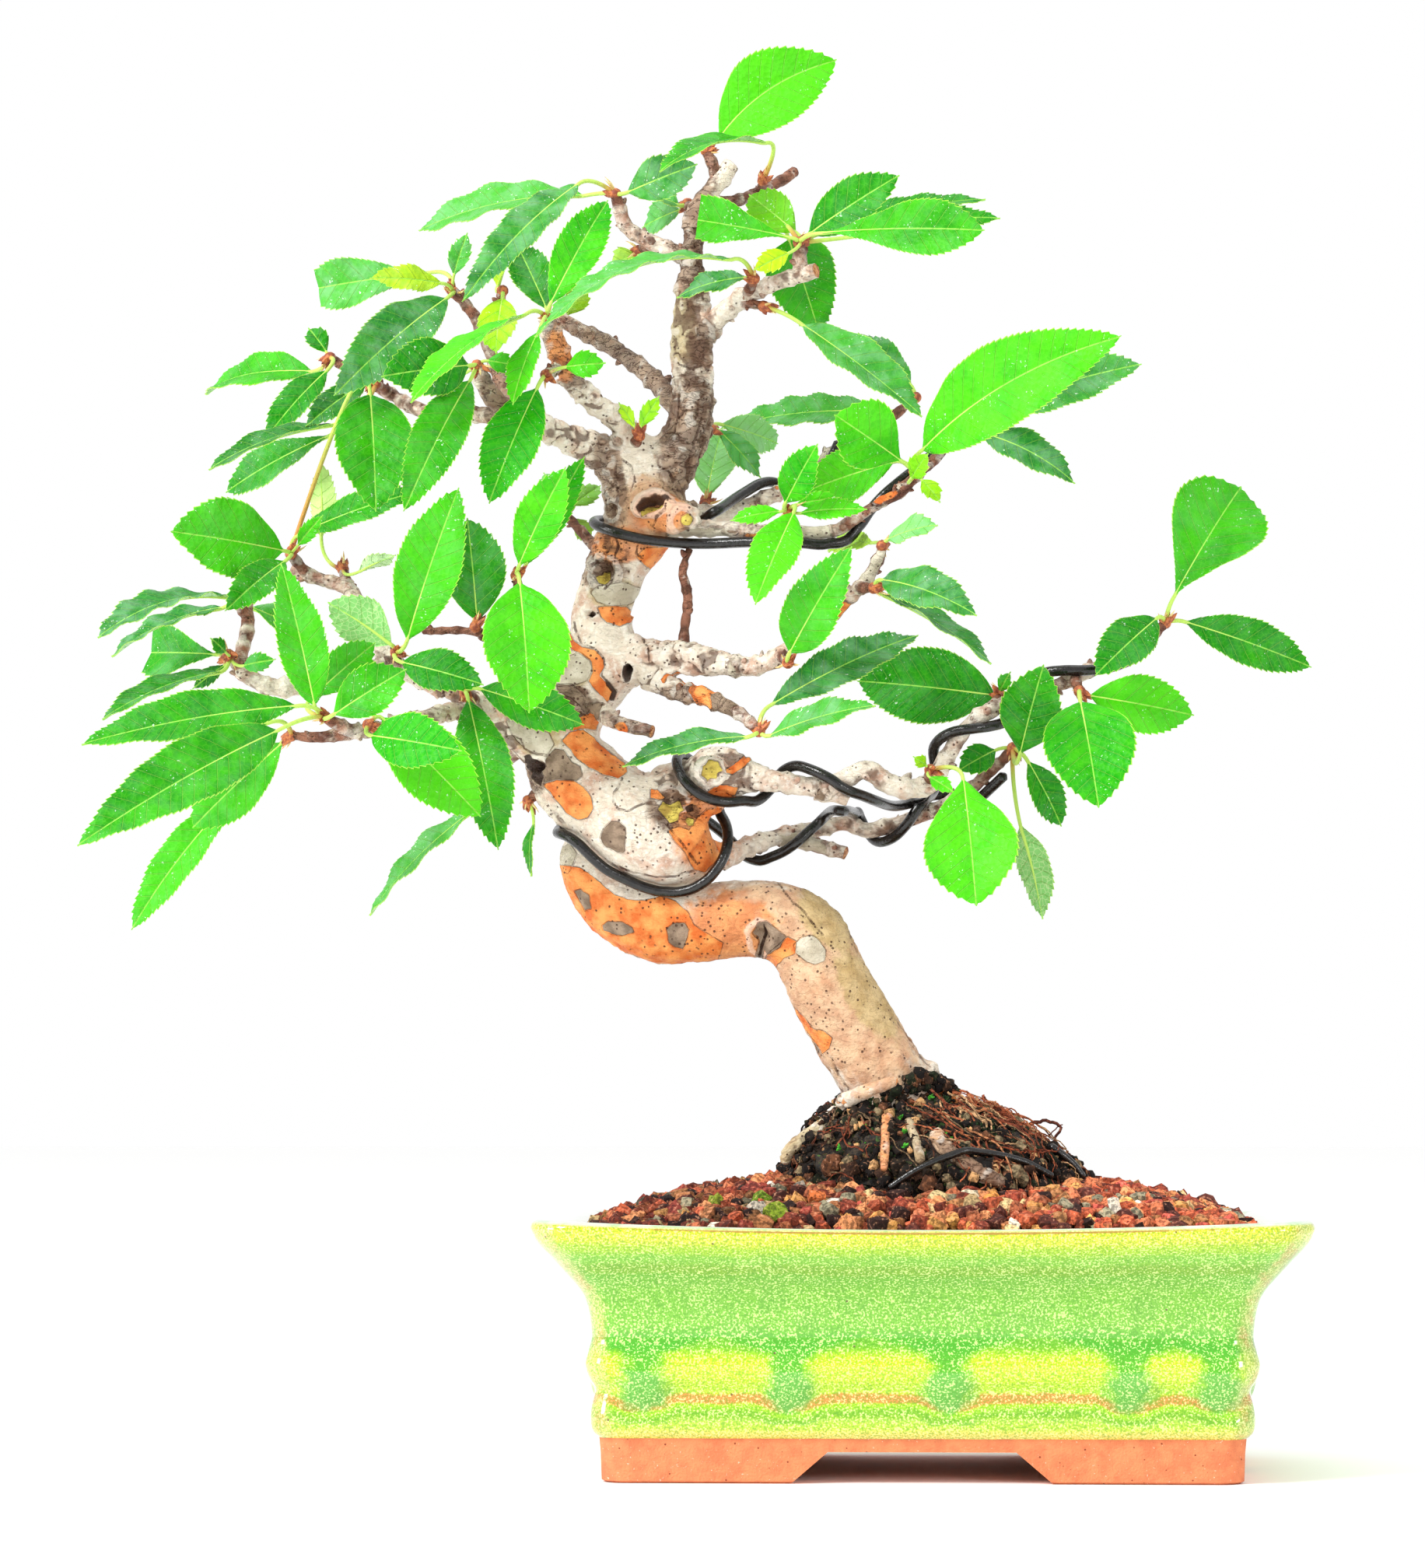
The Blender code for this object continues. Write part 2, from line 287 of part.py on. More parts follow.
SPRAYS = {
    "spray_top_left": Spray((791, 249, 2), (
        Leaf((742, 238, -2), (596, 386, -18), 9.4, roll=35, bend=0.07, belly=0.42),
        Leaf((750, 252, 9), (541, 296, 22), 13.0, roll=68, bend=0.06),
        Leaf((808, 247, 0), (894, 212, -4), 9.6, roll=12)), "dull"),
    "spray_leader_back": Spray((884, 262, 6), (
        Leaf((872, 264, 5), (812, 247, 6), 8.0, roll=62),
        Leaf((874, 270, 10), (828, 292, 16), 7.0, roll=30)), "pale"),
    "spray_fork_small": Spray((822, 322, 7), (
        Leaf((816, 326, 8), (788, 340, 9), 5.0),), "pale"),
    "spray_crown": Spray((908, 193, 0), (
        Leaf((924, 179, 0), (1073, 78, -8), 17.0, roll=8, sweep=0.08, bend=0.08, belly=0.52),), "bright"),
    "spray_crown_arch": Spray((981, 232, 1), (
        Leaf((984, 184, -8), (850, 220, -26), 10.0, roll=76, bend=0.1),), "mature"),
    "spray_right_fork": Spray((1027, 312, -20), (
        Leaf((1018, 306, -22), (866, 279, -26), 11.0, roll=25, fold=18, belly=0.7, cut=0.8, bend=0.03),
        Leaf((1040, 301, -23), (1154, 227, -30), 10.6, roll=15),
        Leaf((1054, 300, -25), (1263, 296, -42), 12.4, roll=20, fold=20, belly=0.7),
        Leaf((1080, 294, -12), (1264, 257, -8), 8.0, roll=50, fold=8),
        Leaf((1100, 304, -17), (1283, 281, -24), 8.0, roll=60, fold=8),
        Leaf((1022, 298, -13), (965, 252, -7), 9.0, roll=10),
        Leaf((1014, 308, -6), (1054, 432, 4), 15.0, roll=8, belly=0.3, fold=10),
        Leaf((1013, 326, -25), (971, 346, -28), 4.6)), "mature"),
    "spray_fork_arch": Spray((969, 358, -18), (
        Leaf((940, 334, -24), (690, 432, -44), 11.0, roll=74, bend=0.13, fold=10),
        Leaf((958, 357, -18), (873, 382, -14), 6.0, roll=42, bend=0.08)), "dull"),
    "spray_fork_under": Spray((982, 394, -13), (
        Leaf((1032, 418, -17), (1183, 534, -24), 12.0, roll=38, fold=22, bend=0.03),), "dull"),
    "spray_middle": Spray((702, 408, -21), (
        Leaf((708, 390, -24), (780, 260, -16), 9.8, roll=10, bend=0.08),
        Leaf((676, 404, -28), (530, 516, -50), 10.0, roll=72, bend=0.06),
        Leaf((692, 428, -30), (660, 518, -36), 6.6, roll=35)), "bright"),
    "spray_brown": Spray((714, 407, 14), (
        Leaf((702, 396, 12), (664, 314, 18), 9.0, roll=10),
        Leaf((730, 404, 16), (752, 372, 18), 5.2)), "dark"),
    "spray_left_inner": Spray((646, 374, -12), (
        Leaf((646, 384, -14), (638, 452, -18), 8.8, roll=20),
        Leaf((640, 368, -8), (668, 310, -4), 7.0, roll=70)), "young"),
    "spray_middle_spur": Spray((702, 482, -24), (
        Leaf((690, 500, -28), (630, 645, -36), 12.2, roll=12, bend=0.07),
        Leaf((728, 472, -26), (776, 467, -27), 5.6)), "bright"),
    "spray_left": Spray((613, 470, -27), (
        Leaf((602, 470, -31), (493, 484, -42), 13.0, roll=15),
        Leaf((604, 490, -31), (520, 655, -52), 11.0, roll=12, bend=0.07),
        Leaf((598, 480, -24), (560, 503, -20), 4.2, roll=30),
        Leaf((628, 464, -27), (660, 470, -27), 4.4)), "mature"),
    "spray_left_high": Spray((583, 376, -8), (
        Leaf((556, 350, 0), (392, 374, 7), 11.0, roll=15, belly=0.68, cut=0.88),
        Leaf((566, 364, -13), (478, 358, -22), 6.0, roll=25),
        Leaf((584, 352, -9), (600, 302, -12), 4.4),
        Leaf((574, 384, -13), (431, 507, -34), 12.6, roll=18, bend=0.07)), "dull"),
    "spray_left_far": Spray((424, 460, 12), (
        Leaf((420, 477, 4), (344, 562, -4), 8.0, roll=30),
        Leaf((419, 452, 13), (398, 424, 15), 4.8),
        Leaf((400, 478, 17), (259, 494, 30), 12.0, roll=52, curl=0.1)), "mature"),
    "spray_left_low": Spray((482, 494, -4), (
        Leaf((470, 494, -6), (395, 547, -14), 6.8, roll=35),
        Leaf((430, 546, -14), (271, 603, -14), 9.0, roll=76, bend=0.06),
        Leaf((424, 560, 2), (293, 632, 12), 9.0, roll=35, belly=0.6)), "dark"),
    "spray_low_upper": Spray((374, 712, -9), (
        Leaf((364, 708, -13), (222, 684, -28), 17.5, roll=12, belly=0.55),
        Leaf((384, 688, -10), (542, 632, -18), 7.4, roll=35),
        Leaf((366, 722, -16), (291, 784, -34), 8.0, roll=20),
        Leaf((384, 700, -14), (414, 664, -20), 3.4),
        Leaf((476, 508, -25), (483, 655, -34), 17.0, roll=8, bend=0.05, belly=0.45)), "mature"),
    "spray_low_bud": Spray((441, 732, -6), (
        Leaf((413, 690, 4), (412, 596, 8), 6.0, roll=160),
        Leaf((462, 735, -14), (506, 715, -18), 4.0, roll=140)), "pale"),
    "spray_far_left_high": Spray((301, 770, -23), (
        Leaf((294, 768, -25), (128, 819, -48), 11.0, roll=72, bend=0.09),
        Leaf((286, 782, -16), (146, 843, -18), 9.0, roll=70, bend=0.08),
        Leaf((324, 782, -8), (412, 830, 4), 9.0, roll=50)), "dull"),
    "spray_far_left_low": Spray((294, 842, -29), (
        Leaf((284, 864, -33), (134, 924, -56), 9.0, roll=66, bend=0.05),
        Leaf((288, 856, -28), (250, 884, -27), 3.2),
        Leaf((289, 838, -34), (272, 822, -38), 3.0),
        Leaf((314, 856, -33), (352, 848, -38), 3.8)), "dark"),
    "spray_far_left_back": Spray((292, 846, -12), (
        Leaf((282, 842, -10), (182, 840, 0), 12.0, roll=15, belly=0.68, cut=0.85),), "dark"),
    "spray_low_front": Spray((418, 922, -47), (
        Leaf((404, 906, -49), (362, 728, -44), 10.4, roll=10, bend=0.05, belly=0.42),
        Leaf((402, 896, -38), (480, 828, -30), 8.6, roll=10),
        Leaf((380, 908, -54), (108, 957, -70), 12.0, roll=32, bend=0.05),
        Leaf((356, 940, -60), (102, 1086, -84), 14.6, roll=20, bend=0.06, belly=0.45),
        Leaf((430, 918, -52), (520, 862, -50), 10.6, roll=10)), "mature"),
    "spray_low_stub": Spray((374, 946, -35), (
        Leaf((362, 956, -34), (250, 1062, -26), 12.6, roll=12),
        Leaf((310, 1014, -18), (171, 1193, -16), 9.0, roll=25, bend=0.08),
        Leaf((344, 930, -44), (178, 996, -52), 8.0, roll=50)), "mature"),
    "spray_low_pair": Spray((474, 932, -45), (
        Leaf((478, 946, -50), (591, 965, -62), 11.6, roll=10),
        Leaf((492, 924, -42), (616, 1048, -44), 15.0, roll=10)), "bright"),
    "spray_low_middle": Spray((509, 838, -25), (
        Leaf((524, 822, -31), (589, 630, -38), 14.0, roll=10, bend=0.07),
        Leaf((502, 828, -27), (424, 776, -30), 11.0, roll=150, fold=6),
        Leaf((518, 852, -30), (619, 880, -37), 9.4, roll=15)), "mature"),
    "spray_inner_back": Spray((611, 806, -18), (
        Leaf((613, 798, -18), (601, 669, -16), 14.0, roll=8),), "dark"),
    "spray_inner": Spray((664, 740, -31), (
        Leaf((668, 726, -34), (726, 603, -42), 9.8, roll=14),
        Leaf((676, 726, -27), (750, 590, -22), 7.6, roll=10),
        Leaf((668, 750, -37), (680, 914, -44), 18.6, roll=8, bend=0.06)), "bright"),
    "spray_low_root": Spray((598, 890, -21), (
        Leaf((602, 900, -25), (640, 1090, -34), 12.0, roll=10),
        Leaf((618, 886, -24), (748, 931, -22), 10.0, roll=15),
        Leaf((592, 1008, -20), (556, 1032, -16), 4.2)), "mature"),
    "spray_low_back": Spray((634, 1012, 2), (
        Leaf((612, 1040, 3), (477, 1175, 14), 8.4, roll=60, bend=0.05),), "dull"),
    "spray_trunk_bud": Spray((679, 1030, -3), (
        Leaf((686, 1060, -6), (683, 1124, -8), 4.2, roll=60),), "dark"),
    "spray_pale": Spray((726, 660, 14), (
        Leaf((736, 650, 15), (770, 626, 20), 4.4),
        Leaf((734, 668, 15), (758, 692, 20), 4.0),
        Leaf((722, 648, 14), (700, 610, 20), 5.0)), "pale"),
    "spray_crown_inner": Spray((822, 560, -7), (
        Leaf((824, 548, -8), (846, 512, -8), 3.4),
        Leaf((815, 548, -8), (797, 520, -6), 2.6)), "young"),
    "spray_mid_right": Spray((1134, 702, -29), (
        Leaf((1142, 694, -30), (1203, 676, -36), 7.0, roll=50),
        Leaf((1121, 698, -14), (1066, 703, 6), 6.0, roll=40)), "pale"),
    "spray_mid_spur": Spray((1124, 756, -33), (
        Leaf((1134, 746, -36), (1251, 786, -50), 10.0, roll=28, bend=0.08, curl=0.05),
        Leaf((1134, 764, -32), (1272, 852, -36), 10.0, roll=74, bend=0.04)), "dull"),
    "spray_mid_bud": Spray((1013, 852, -27), (
        Leaf((1016, 838, -31), (1094, 705, -44), 12.0, roll=12, belly=0.42),), "mature"),
    "spray_mid_low": Spray((976, 940, -26), (
        Leaf((992, 906, -22), (1178, 818, -4), 10.0, roll=25, bend=0.06),
        Leaf((990, 946, -28), (1123, 908, -38), 8.0, roll=45),
        Leaf((960, 948, -28), (803, 985, -24), 8.0, roll=58, bend=0.06)), "dull"),
    "spray_right_low": Spray((1196, 990, -19), (
        Leaf((1238, 1001, -24), (1255, 1162, -34), 20.0, roll=8, belly=0.6, bend=0.05),
        Leaf((1196, 1000, -22), (1225, 1018, -26), 3.2),
        Leaf((1190, 984, -20), (1176, 974, -22), 2.6)), "bright"),
    "spray_right_high": Spray((1286, 894, -3), (
        Leaf((1278, 894, -2), (1105, 876, 10), 17.0, roll=10, belly=0.45),
        Leaf((1286, 888, -4), (1298, 866, -6), 3.0)), "mature"),
    "spray_right_end": Spray((1388, 889, -15), (
        Leaf((1389, 903, -21), (1412, 1036, -30), 19.6, roll=8, belly=0.45, bend=0.06),
        Leaf((1402, 895, -11), (1532, 919, -8), 12.4, roll=12)), "bright"),
    "spray_right_tip": Spray((1498, 801, -2), (
        Leaf((1486, 796, -7), (1410, 867, -20), 10.4, roll=12),
        Leaf((1509, 768, -3), (1594, 628, 8), 21.4, roll=10, belly=0.66, bend=0.07),
        Leaf((1525, 800, 0), (1683, 857, 8), 10.4, roll=14, bend=0.06)), "mature"),
    "spray_right_back": Spray((1302, 962, 3), (
        Leaf((1312, 968, -10), (1341, 857, -22), 13.0, roll=8, belly=0.55),
        Leaf((1322, 980, 0), (1363, 1060, 6), 7.6, roll=20),
        Leaf((1279, 965, 3), (1234, 990, -1), 6.4, roll=15),
        Leaf((1312, 1062, 12), (1340, 1179, 16), 8.0, roll=155)), "mature"),
    "spray_top_back": Spray((906, 648, 14), (
        Leaf((909, 638, 15), (926, 560, 26), 10.0, roll=10),), "pale"),
    "spray_leader_low": Spray((914, 552, 10), (
        Leaf((924, 554, 11), (976, 612, 16), 6.4, roll=30),
        Leaf((928, 546, 16), (998, 570, 32), 8.0, roll=20)), "pale"),
    "spray_upper_back": Spray((1177, 511, 21), (
        Leaf((1170, 494, 21), (1105, 430, 28), 6.6, roll=48),
        Leaf((1140, 530, 28), (924, 553, 46), 9.6, roll=45, bend=0.06)), "dull"),
    "spray_upper": Spray((1177, 610, -17), (
        Leaf((1187, 578, -23), (1439, 433, -48), 18.0, roll=14, sweep=0.05, bend=0.06, belly=0.45),
        Leaf((1158, 592, -22), (1075, 535, -30), 15.4, roll=8, belly=0.6),
        Leaf((1148, 594, -12), (1040, 630, 2), 11.6, roll=12),
        Leaf((1172, 614, -25), (1192, 585, -30), 4.6),
        Leaf((1186, 618, -20), (1207, 644, -22), 3.8)), "bright"),
    "spray_upper_long": Spray((1243, 548, -5), (
        Leaf((1262, 528, -8), (1465, 469, -18), 12.0, roll=25),
        Leaf((1258, 556, -4), (1380, 616, -8), 8.6, roll=30, bend=0.1, curl=0.06)), "dull"),
    "spray_top_right": Spray((1013, 656, -20), (
        Leaf((1010, 646, -24), (1050, 573, -34), 8.0, roll=10),
        Leaf((1020, 660, -28), (972, 775, -42), 10.4, roll=12),
        Leaf((1026, 648, -20), (1076, 640, -20), 3.6),
        Leaf((1030, 660, -22), (1112, 655, -28), 4.6, roll=30),
        Leaf((1002, 658, -22), (942, 669, -22), 4.0, roll=30)), "bright"),
}

COLOURS = {
    "glaze": ((0.30, 0.52, 0.10), 0.2),
    "screen": ((0.03, 0.06, 0.04), 0.5),
    "soil": ((0.27, 0.09, 0.05), 0.95),
    "bark": ((0.42, 0.27, 0.17), 0.8),
    "wire": ((0.02, 0.015, 0.015), 0.35),
    "bright": ((0.06, 0.42, 0.03), 0.4),
    "mature": ((0.05, 0.30, 0.05), 0.4),
    "dull": ((0.09, 0.24, 0.11), 0.5),
    "dark": ((0.03, 0.20, 0.04), 0.45),
    "pale": ((0.30, 0.46, 0.24), 0.6),
    "young": ((0.36, 0.50, 0.05), 0.45),
}


def clear_scene():
    """Remove every object that is in the file at the start."""
    for item in list(bpy.data.objects):
        bpy.data.objects.remove(item, do_unlink=True)


def finish(colour):
    """Return the Principled material of a colour's name, made once."""
    found = bpy.data.materials.get(colour)
    if found:
        return found
    material = bpy.data.materials.new(colour)
    material.use_nodes = True
    shader = material.node_tree.nodes["Principled BSDF"]
    rgb, roughness = COLOURS[colour]
    shader.inputs["Base Color"].default_value = (*rgb, 1.0)
    shader.inputs["Roughness"].default_value = roughness
    shader.inputs["Metallic"].default_value = 0.0
    return material


def solid(name, points, faces, colour):
    """Make one object from points in millimetres and faces, with its faces pointing out."""
    mesh = bpy.data.meshes.new(name)
    mesh.from_pydata((np.asarray(points) * 0.001).tolist(), [], faces)
    work = bmesh.new()
    work.from_mesh(mesh)
    bmesh.ops.recalc_face_normals(work, faces=work.faces)
    work.to_mesh(mesh)
    work.free()
    mesh.materials.append(finish(colour))
    item = bpy.data.objects.new(name, mesh)
    bpy.context.scene.collection.objects.link(item)
    return item


def apply_boolean(item, others, operation, solver="EXACT"):
    """Join or cut an object by all the others in one Boolean, apply it and remove the others."""
    group = bpy.data.collections.new(item.name + "_operands")
    bpy.context.scene.collection.children.link(group)
    for other in others:
        group.objects.link(other)
    boolean = item.modifiers.new("boolean", "BOOLEAN")
    boolean.operation = operation
    boolean.operand_type = "COLLECTION"
    boolean.collection = group
    boolean.solver = solver
    bpy.context.view_layer.update()
    graph = bpy.context.evaluated_depsgraph_get()
    made = bpy.data.meshes.new_from_object(item.evaluated_get(graph))
    item.modifiers.clear()
    item.data = made
    for other in list(others):
        bpy.data.objects.remove(other, do_unlink=True)
    bpy.data.collections.remove(group)
    return item


def seen(places):
    """Turn board places (across, down, behind) into points: where the eye's rays meet their depths."""
    places = np.atleast_2d(np.asarray(places, float))
    forward = np.array([-math.sin(EYE_TURN) * math.cos(EYE_LIFT),
                        math.cos(EYE_TURN) * math.cos(EYE_LIFT), math.sin(EYE_LIFT)])
    right = np.array([math.cos(EYE_TURN), math.sin(EYE_TURN), 0.0])
    up = np.cross(right, forward)
    across = (places[:, :1] - BOARD_MIDDLE[0]) / BOARD_SCALE
    down = (places[:, 1:2] - BOARD_MIDDLE[1]) / BOARD_SCALE
    rays = EYE_DISTANCE * forward + across * right - down * up
    reach = (places[:, 2:3] + EYE_DISTANCE) / rays[:, 1:2]
    return np.array([0.0, -EYE_DISTANCE, EYE_HEIGHT]) + rays * reach


def unit(vector):
    """Return the vector at length one."""
    return vector / max(float(np.linalg.norm(vector)), 1e-9)


def smooth_path(points, spacing):
    """Read a smooth curve (Catmull-Rom) through points of any dimension, at an even spacing."""
    points = np.asarray(points, float)
    ends = np.vstack((2 * points[0] - points[1], points, 2 * points[-1] - points[-2]))
    steps = np.linspace(0.0, 1.0, 24, endpoint=False)[:, None]
    dense = []
    for before, start, stop, after in zip(ends, ends[1:], ends[2:], ends[3:]):
        dense.append(0.5 * (2 * start + (stop - before) * steps
                            + (2 * before - 5 * start + 4 * stop - after) * steps ** 2
                            + (3 * start - before - 3 * stop + after) * steps ** 3))
    dense = np.vstack(dense + [points[-1:]])
    along = np.concatenate(([0.0], np.cumsum(np.linalg.norm(np.diff(dense[:, :3], axis=0), axis=1))))
    count = max(2, int(round(along[-1] / spacing)) + 1)
    even = np.linspace(0.0, along[-1], count)
    return np.column_stack([np.interp(even, along, column) for column in dense.T])


def frames_along(path):
    """Return two directions across a path at each of its points, turned as little as possible."""
    tangents = np.gradient(path, axis=0)
    side = unit(np.cross(tangents[0], (0.31, 0.87, 0.39)))
    sides, ups = [], []
    for tangent in tangents:
        tangent = unit(tangent)
        side = unit(side - tangent * float(side @ tangent))
        sides.append(side)
        ups.append(np.cross(tangent, side))
    return np.array(sides), np.array(ups)


def loft_faces(rows, ring):
    """Return the triangles that join closed rings of points in order, with a fan at both ends."""
    faces = []
    for row in range(rows - 1):
        for step in range(ring):
            a = row * ring + step
            b = row * ring + (step + 1) % ring
            faces += [(a, b, b + ring), (a, b + ring, a + ring)]
    faces.append(tuple(reversed(range(ring))))
    faces.append(tuple(range((rows - 1) * ring, rows * ring)))
    return faces


def tube(name, path, radii, sides, colour):
    """Make a tube of flat-ended rings along a path."""
    across, upward = frames_along(path)
    angles = np.arange(sides) * 2.0 * math.pi / sides
    rings = (path[:, None] + radii[:, None, None]
             * (np.cos(angles)[None, :, None] * across[:, None]
                + np.sin(angles)[None, :, None] * upward[:, None]))
    return solid(name, rings.reshape(-1, 3), loft_faces(len(path), sides), colour)


def limb_line(limb):
    """Return a limb's centre line in millimetres with its radius as a fourth column."""
    places = np.array(limb.path, float)
    points = np.column_stack((seen(places[:, :3]), places[:, 3] / BOARD_SCALE))
    if limb.bud:
        last = points[-1, :3] - points[-2, :3]
        points[-1, :3] -= unit(last) * (HUB_RADIUS + GAP)
    return smooth_path(points, limb.spacing)


def bark_swell(line):
    """Return each ring's radius, drawn in a little between the knots of the wood."""
    ring = np.arange(len(line))
    return line[:, 3] * (0.975 + 0.025 * np.sin(ring * 2.4 + line[:, 0] * 0.3))


def rounded_ring(half_length, half_depth, corner, corner_steps=3, long_steps=5, short_steps=2):
    """Return a rectangle with round corners, anticlockwise from the middle of its right side."""
    points = []
    middles = ((1, 1), (-1, 1), (-1, -1), (1, -1))
    for turn, (sign_x, sign_y) in enumerate(middles):
        centre = np.array([sign_x * (half_length - corner), sign_y * (half_depth - corner)])
        for step in range(corner_steps + 1):
            angle = (turn + step / corner_steps) * math.pi / 2.0
            points.append(centre + corner * np.array([math.cos(angle), math.sin(angle)]))
        sides = long_steps if turn % 2 == 0 else short_steps
        sign_x, sign_y = middles[(turn + 1) % 4]
        centre = np.array([sign_x * (half_length - corner), sign_y * (half_depth - corner)])
        angle = (turn + 1) * math.pi / 2.0
        start, stop = points[-1], centre + corner * np.array([math.cos(angle), math.sin(angle)])
        points += [start + (stop - start) * step / sides for step in range(1, sides)]
    return np.array(points)


def pot_ring(inset, height, sag=True):
    """Return one ring of the pot at an inset from its rim; the long sides sag near the rim."""
    corner = max(3.0, POT_CORNER - 0.35 * inset)
    flat = rounded_ring(POT_LENGTH / 2 - inset, POT_DEPTH / 2 - inset, corner)
    ramp = np.clip((height - 30.0) / (POT_HEIGHT - 30.0), 0.0, 1.0) ** 2
    drop = RIM_SAG * ramp * (1.0 - (flat[:, 0] / (POT_LENGTH / 2)) ** 2) if sag else 0.0
    return np.column_stack((flat, height - drop * np.ones(len(flat))))


def prism(name, outline, start, stop, axis):
    """Make a cutter: an outline in two directions, drawn out along the axis from start to stop."""
    points = []
    for place in (start, stop):
        for first, second in outline:
            points.append((place, first, second) if axis == 0 else
                          (first, place, second) if axis == 1 else (first, second, place))
    cutter = solid(name, points, loft_faces(2, len(outline)), "glaze")
    cutter.hide_render = True
    cutter.display_type = "WIRE"
    return cutter


def make_pot():
    """Make the pot: its rings from the foot up, over the rim and down to the floor, then its cuts."""
    rings = [pot_ring(inset, height) for inset, height in POT_OUTSIDE + POT_INSIDE]
    pot = solid("pot", np.vstack(rings), loft_faces(len(rings), len(rings[0])), "glaze")
    top, bottom = FOOT_CUT_HEIGHT, -1.0
    half_top, half_bottom = FOOT_CUT_TOP / 2, FOOT_CUT_BOTTOM / 2
    long_cut = ((-half_bottom, bottom), (half_bottom, bottom), (half_top, top), (-half_top, top))
    half_top, half_bottom = SIDE_CUT_TOP / 2, SIDE_CUT_BOTTOM / 2
    side_cut = ((-half_bottom, bottom), (half_bottom, bottom), (half_top, top - 0.4),
                (-half_top, top - 0.4))
    under = POT_OUTSIDE[0][0] + FOOT_WALL
    hollow = rounded_ring(POT_LENGTH / 2 - under, POT_DEPTH / 2 - under, 5.0, 2, 1, 1)
    cutters = [
        prism("cut_long", long_cut, -POT_DEPTH, POT_DEPTH, 1),
        prism("cut_side", side_cut, -POT_LENGTH, POT_LENGTH, 0),
        prism("cut_under", hollow.tolist(), bottom, top + 0.5, 2),
    ]
    angles = np.arange(12) * math.pi / 6
    for side in (-1, 1):
        hole = [(side * DRAIN_PLACE + DRAIN_HOLE / 2 * math.cos(a), DRAIN_HOLE / 2 * math.sin(a))
                for a in angles]
        cutters.append(prism("cut_drain", hole, bottom, FLOOR_TOP + 5.0, 2))
    return apply_boolean(pot, cutters, "DIFFERENCE")


def make_screen(name, across):
    """Make one drain screen: a square plate with a hole in each inner cell of a five by five grid."""
    cells = 5
    work = bmesh.new()
    bmesh.ops.create_grid(work, x_segments=cells, y_segments=cells, size=SCREEN_SIZE / 2000.0)
    step = SCREEN_SIZE / cells / 1000.0
    holes = []
    for face in work.faces:
        middle = face.calc_center_median()
        column = round(middle.x / step + (cells - 1) / 2)
        row = round(middle.y / step + (cells - 1) / 2)
        if column % 2 == 1 and row % 2 == 1:
            holes.append(face)
    bmesh.ops.delete(work, geom=holes, context="FACES")
    mesh = bpy.data.meshes.new(name)
    work.to_mesh(mesh)
    work.free()
    mesh.materials.append(finish("screen"))
    item = bpy.data.objects.new(name, mesh)
    bpy.context.scene.collection.objects.link(item)
    thick = item.modifiers.new("thickness", "SOLIDIFY")
    thick.thickness = SCREEN_THICKNESS / 1000.0
    thick.offset = 1.0
    item.location = (across / 1000.0, 0.0, (FLOOR_TOP + GAP) / 1000.0)
    return item


def soil_height(x, y):
    """Return the heaped soil's height: full at the middle, level with the rim's inside at the edge."""
    long_side = np.clip(np.abs(x) / (POT_LENGTH / 2 - 10.8), 0.0, 1.0)
    short_side = np.clip(np.abs(y) / (POT_DEPTH / 2 - 10.8), 0.0, 1.0)
    return SOIL_EDGE + SOIL_HEAP * (1.0 - long_side ** 3.5) * (1.0 - short_side ** 2.5)


def grain(x, y):
    """Return a fixed scatter between -1 and 1 for a place, from a fast sine's fraction."""
    return 2.0 * np.modf(np.abs(np.sin(x * 12.9898 + y * 78.233)) * 43758.5453)[0] - 1.0


def make_soil():
    """Make the soil: its sides follow the pot's inside, its top is granules, a well takes the roots."""
    heights = np.array([height for inset, height in POT_INSIDE])[::-1]
    insets = np.array([inset for inset, height in POT_INSIDE])[::-1]
    rings = []
    for height in (SOIL_BOTTOM, 30.0, 42.0, SOIL_EDGE - 0.6):
        inset = float(np.interp(height, heights, insets)) + 1.6 * GAP
        rings.append(pot_ring(inset, height, sag=False))
    outline = rings[-1][:, :2]
    angles = np.unwrap(np.arctan2(outline[:, 1] * POT_LENGTH / POT_DEPTH, outline[:, 0]))
    even = angles[0] + np.arange(len(angles)) * 2.0 * math.pi / len(angles)
    angles = 0.35 * angles + 0.65 * even
    well = np.column_stack((BALL_MIDDLE + (BALL_HALF_LENGTH + WELL_CLEARANCE) * np.cos(angles),
                            (BALL_HALF_DEPTH + WELL_CLEARANCE) * np.sin(angles)))
    for step, share in enumerate((0.97, 0.8, 0.62, 0.45, 0.28, 0.12, 0.0)):
        ring = well + (outline - well) * share
        stagger = np.roll(ring, 1, axis=0) - ring
        if 0.0 < share < 0.9 and step % 2:
            ring = ring + 0.5 * stagger
        relief = SOIL_GRAIN * grain(ring[:, 0], ring[:, 1])
        rings.append(np.column_stack((ring, soil_height(ring[:, 0], ring[:, 1]) + relief)))
    rings.append(np.column_stack((well, np.full(len(well), BALL_BOTTOM - GAP))))
    return solid("soil", np.vstack(rings), loft_faces(len(rings), len(outline)), "soil")


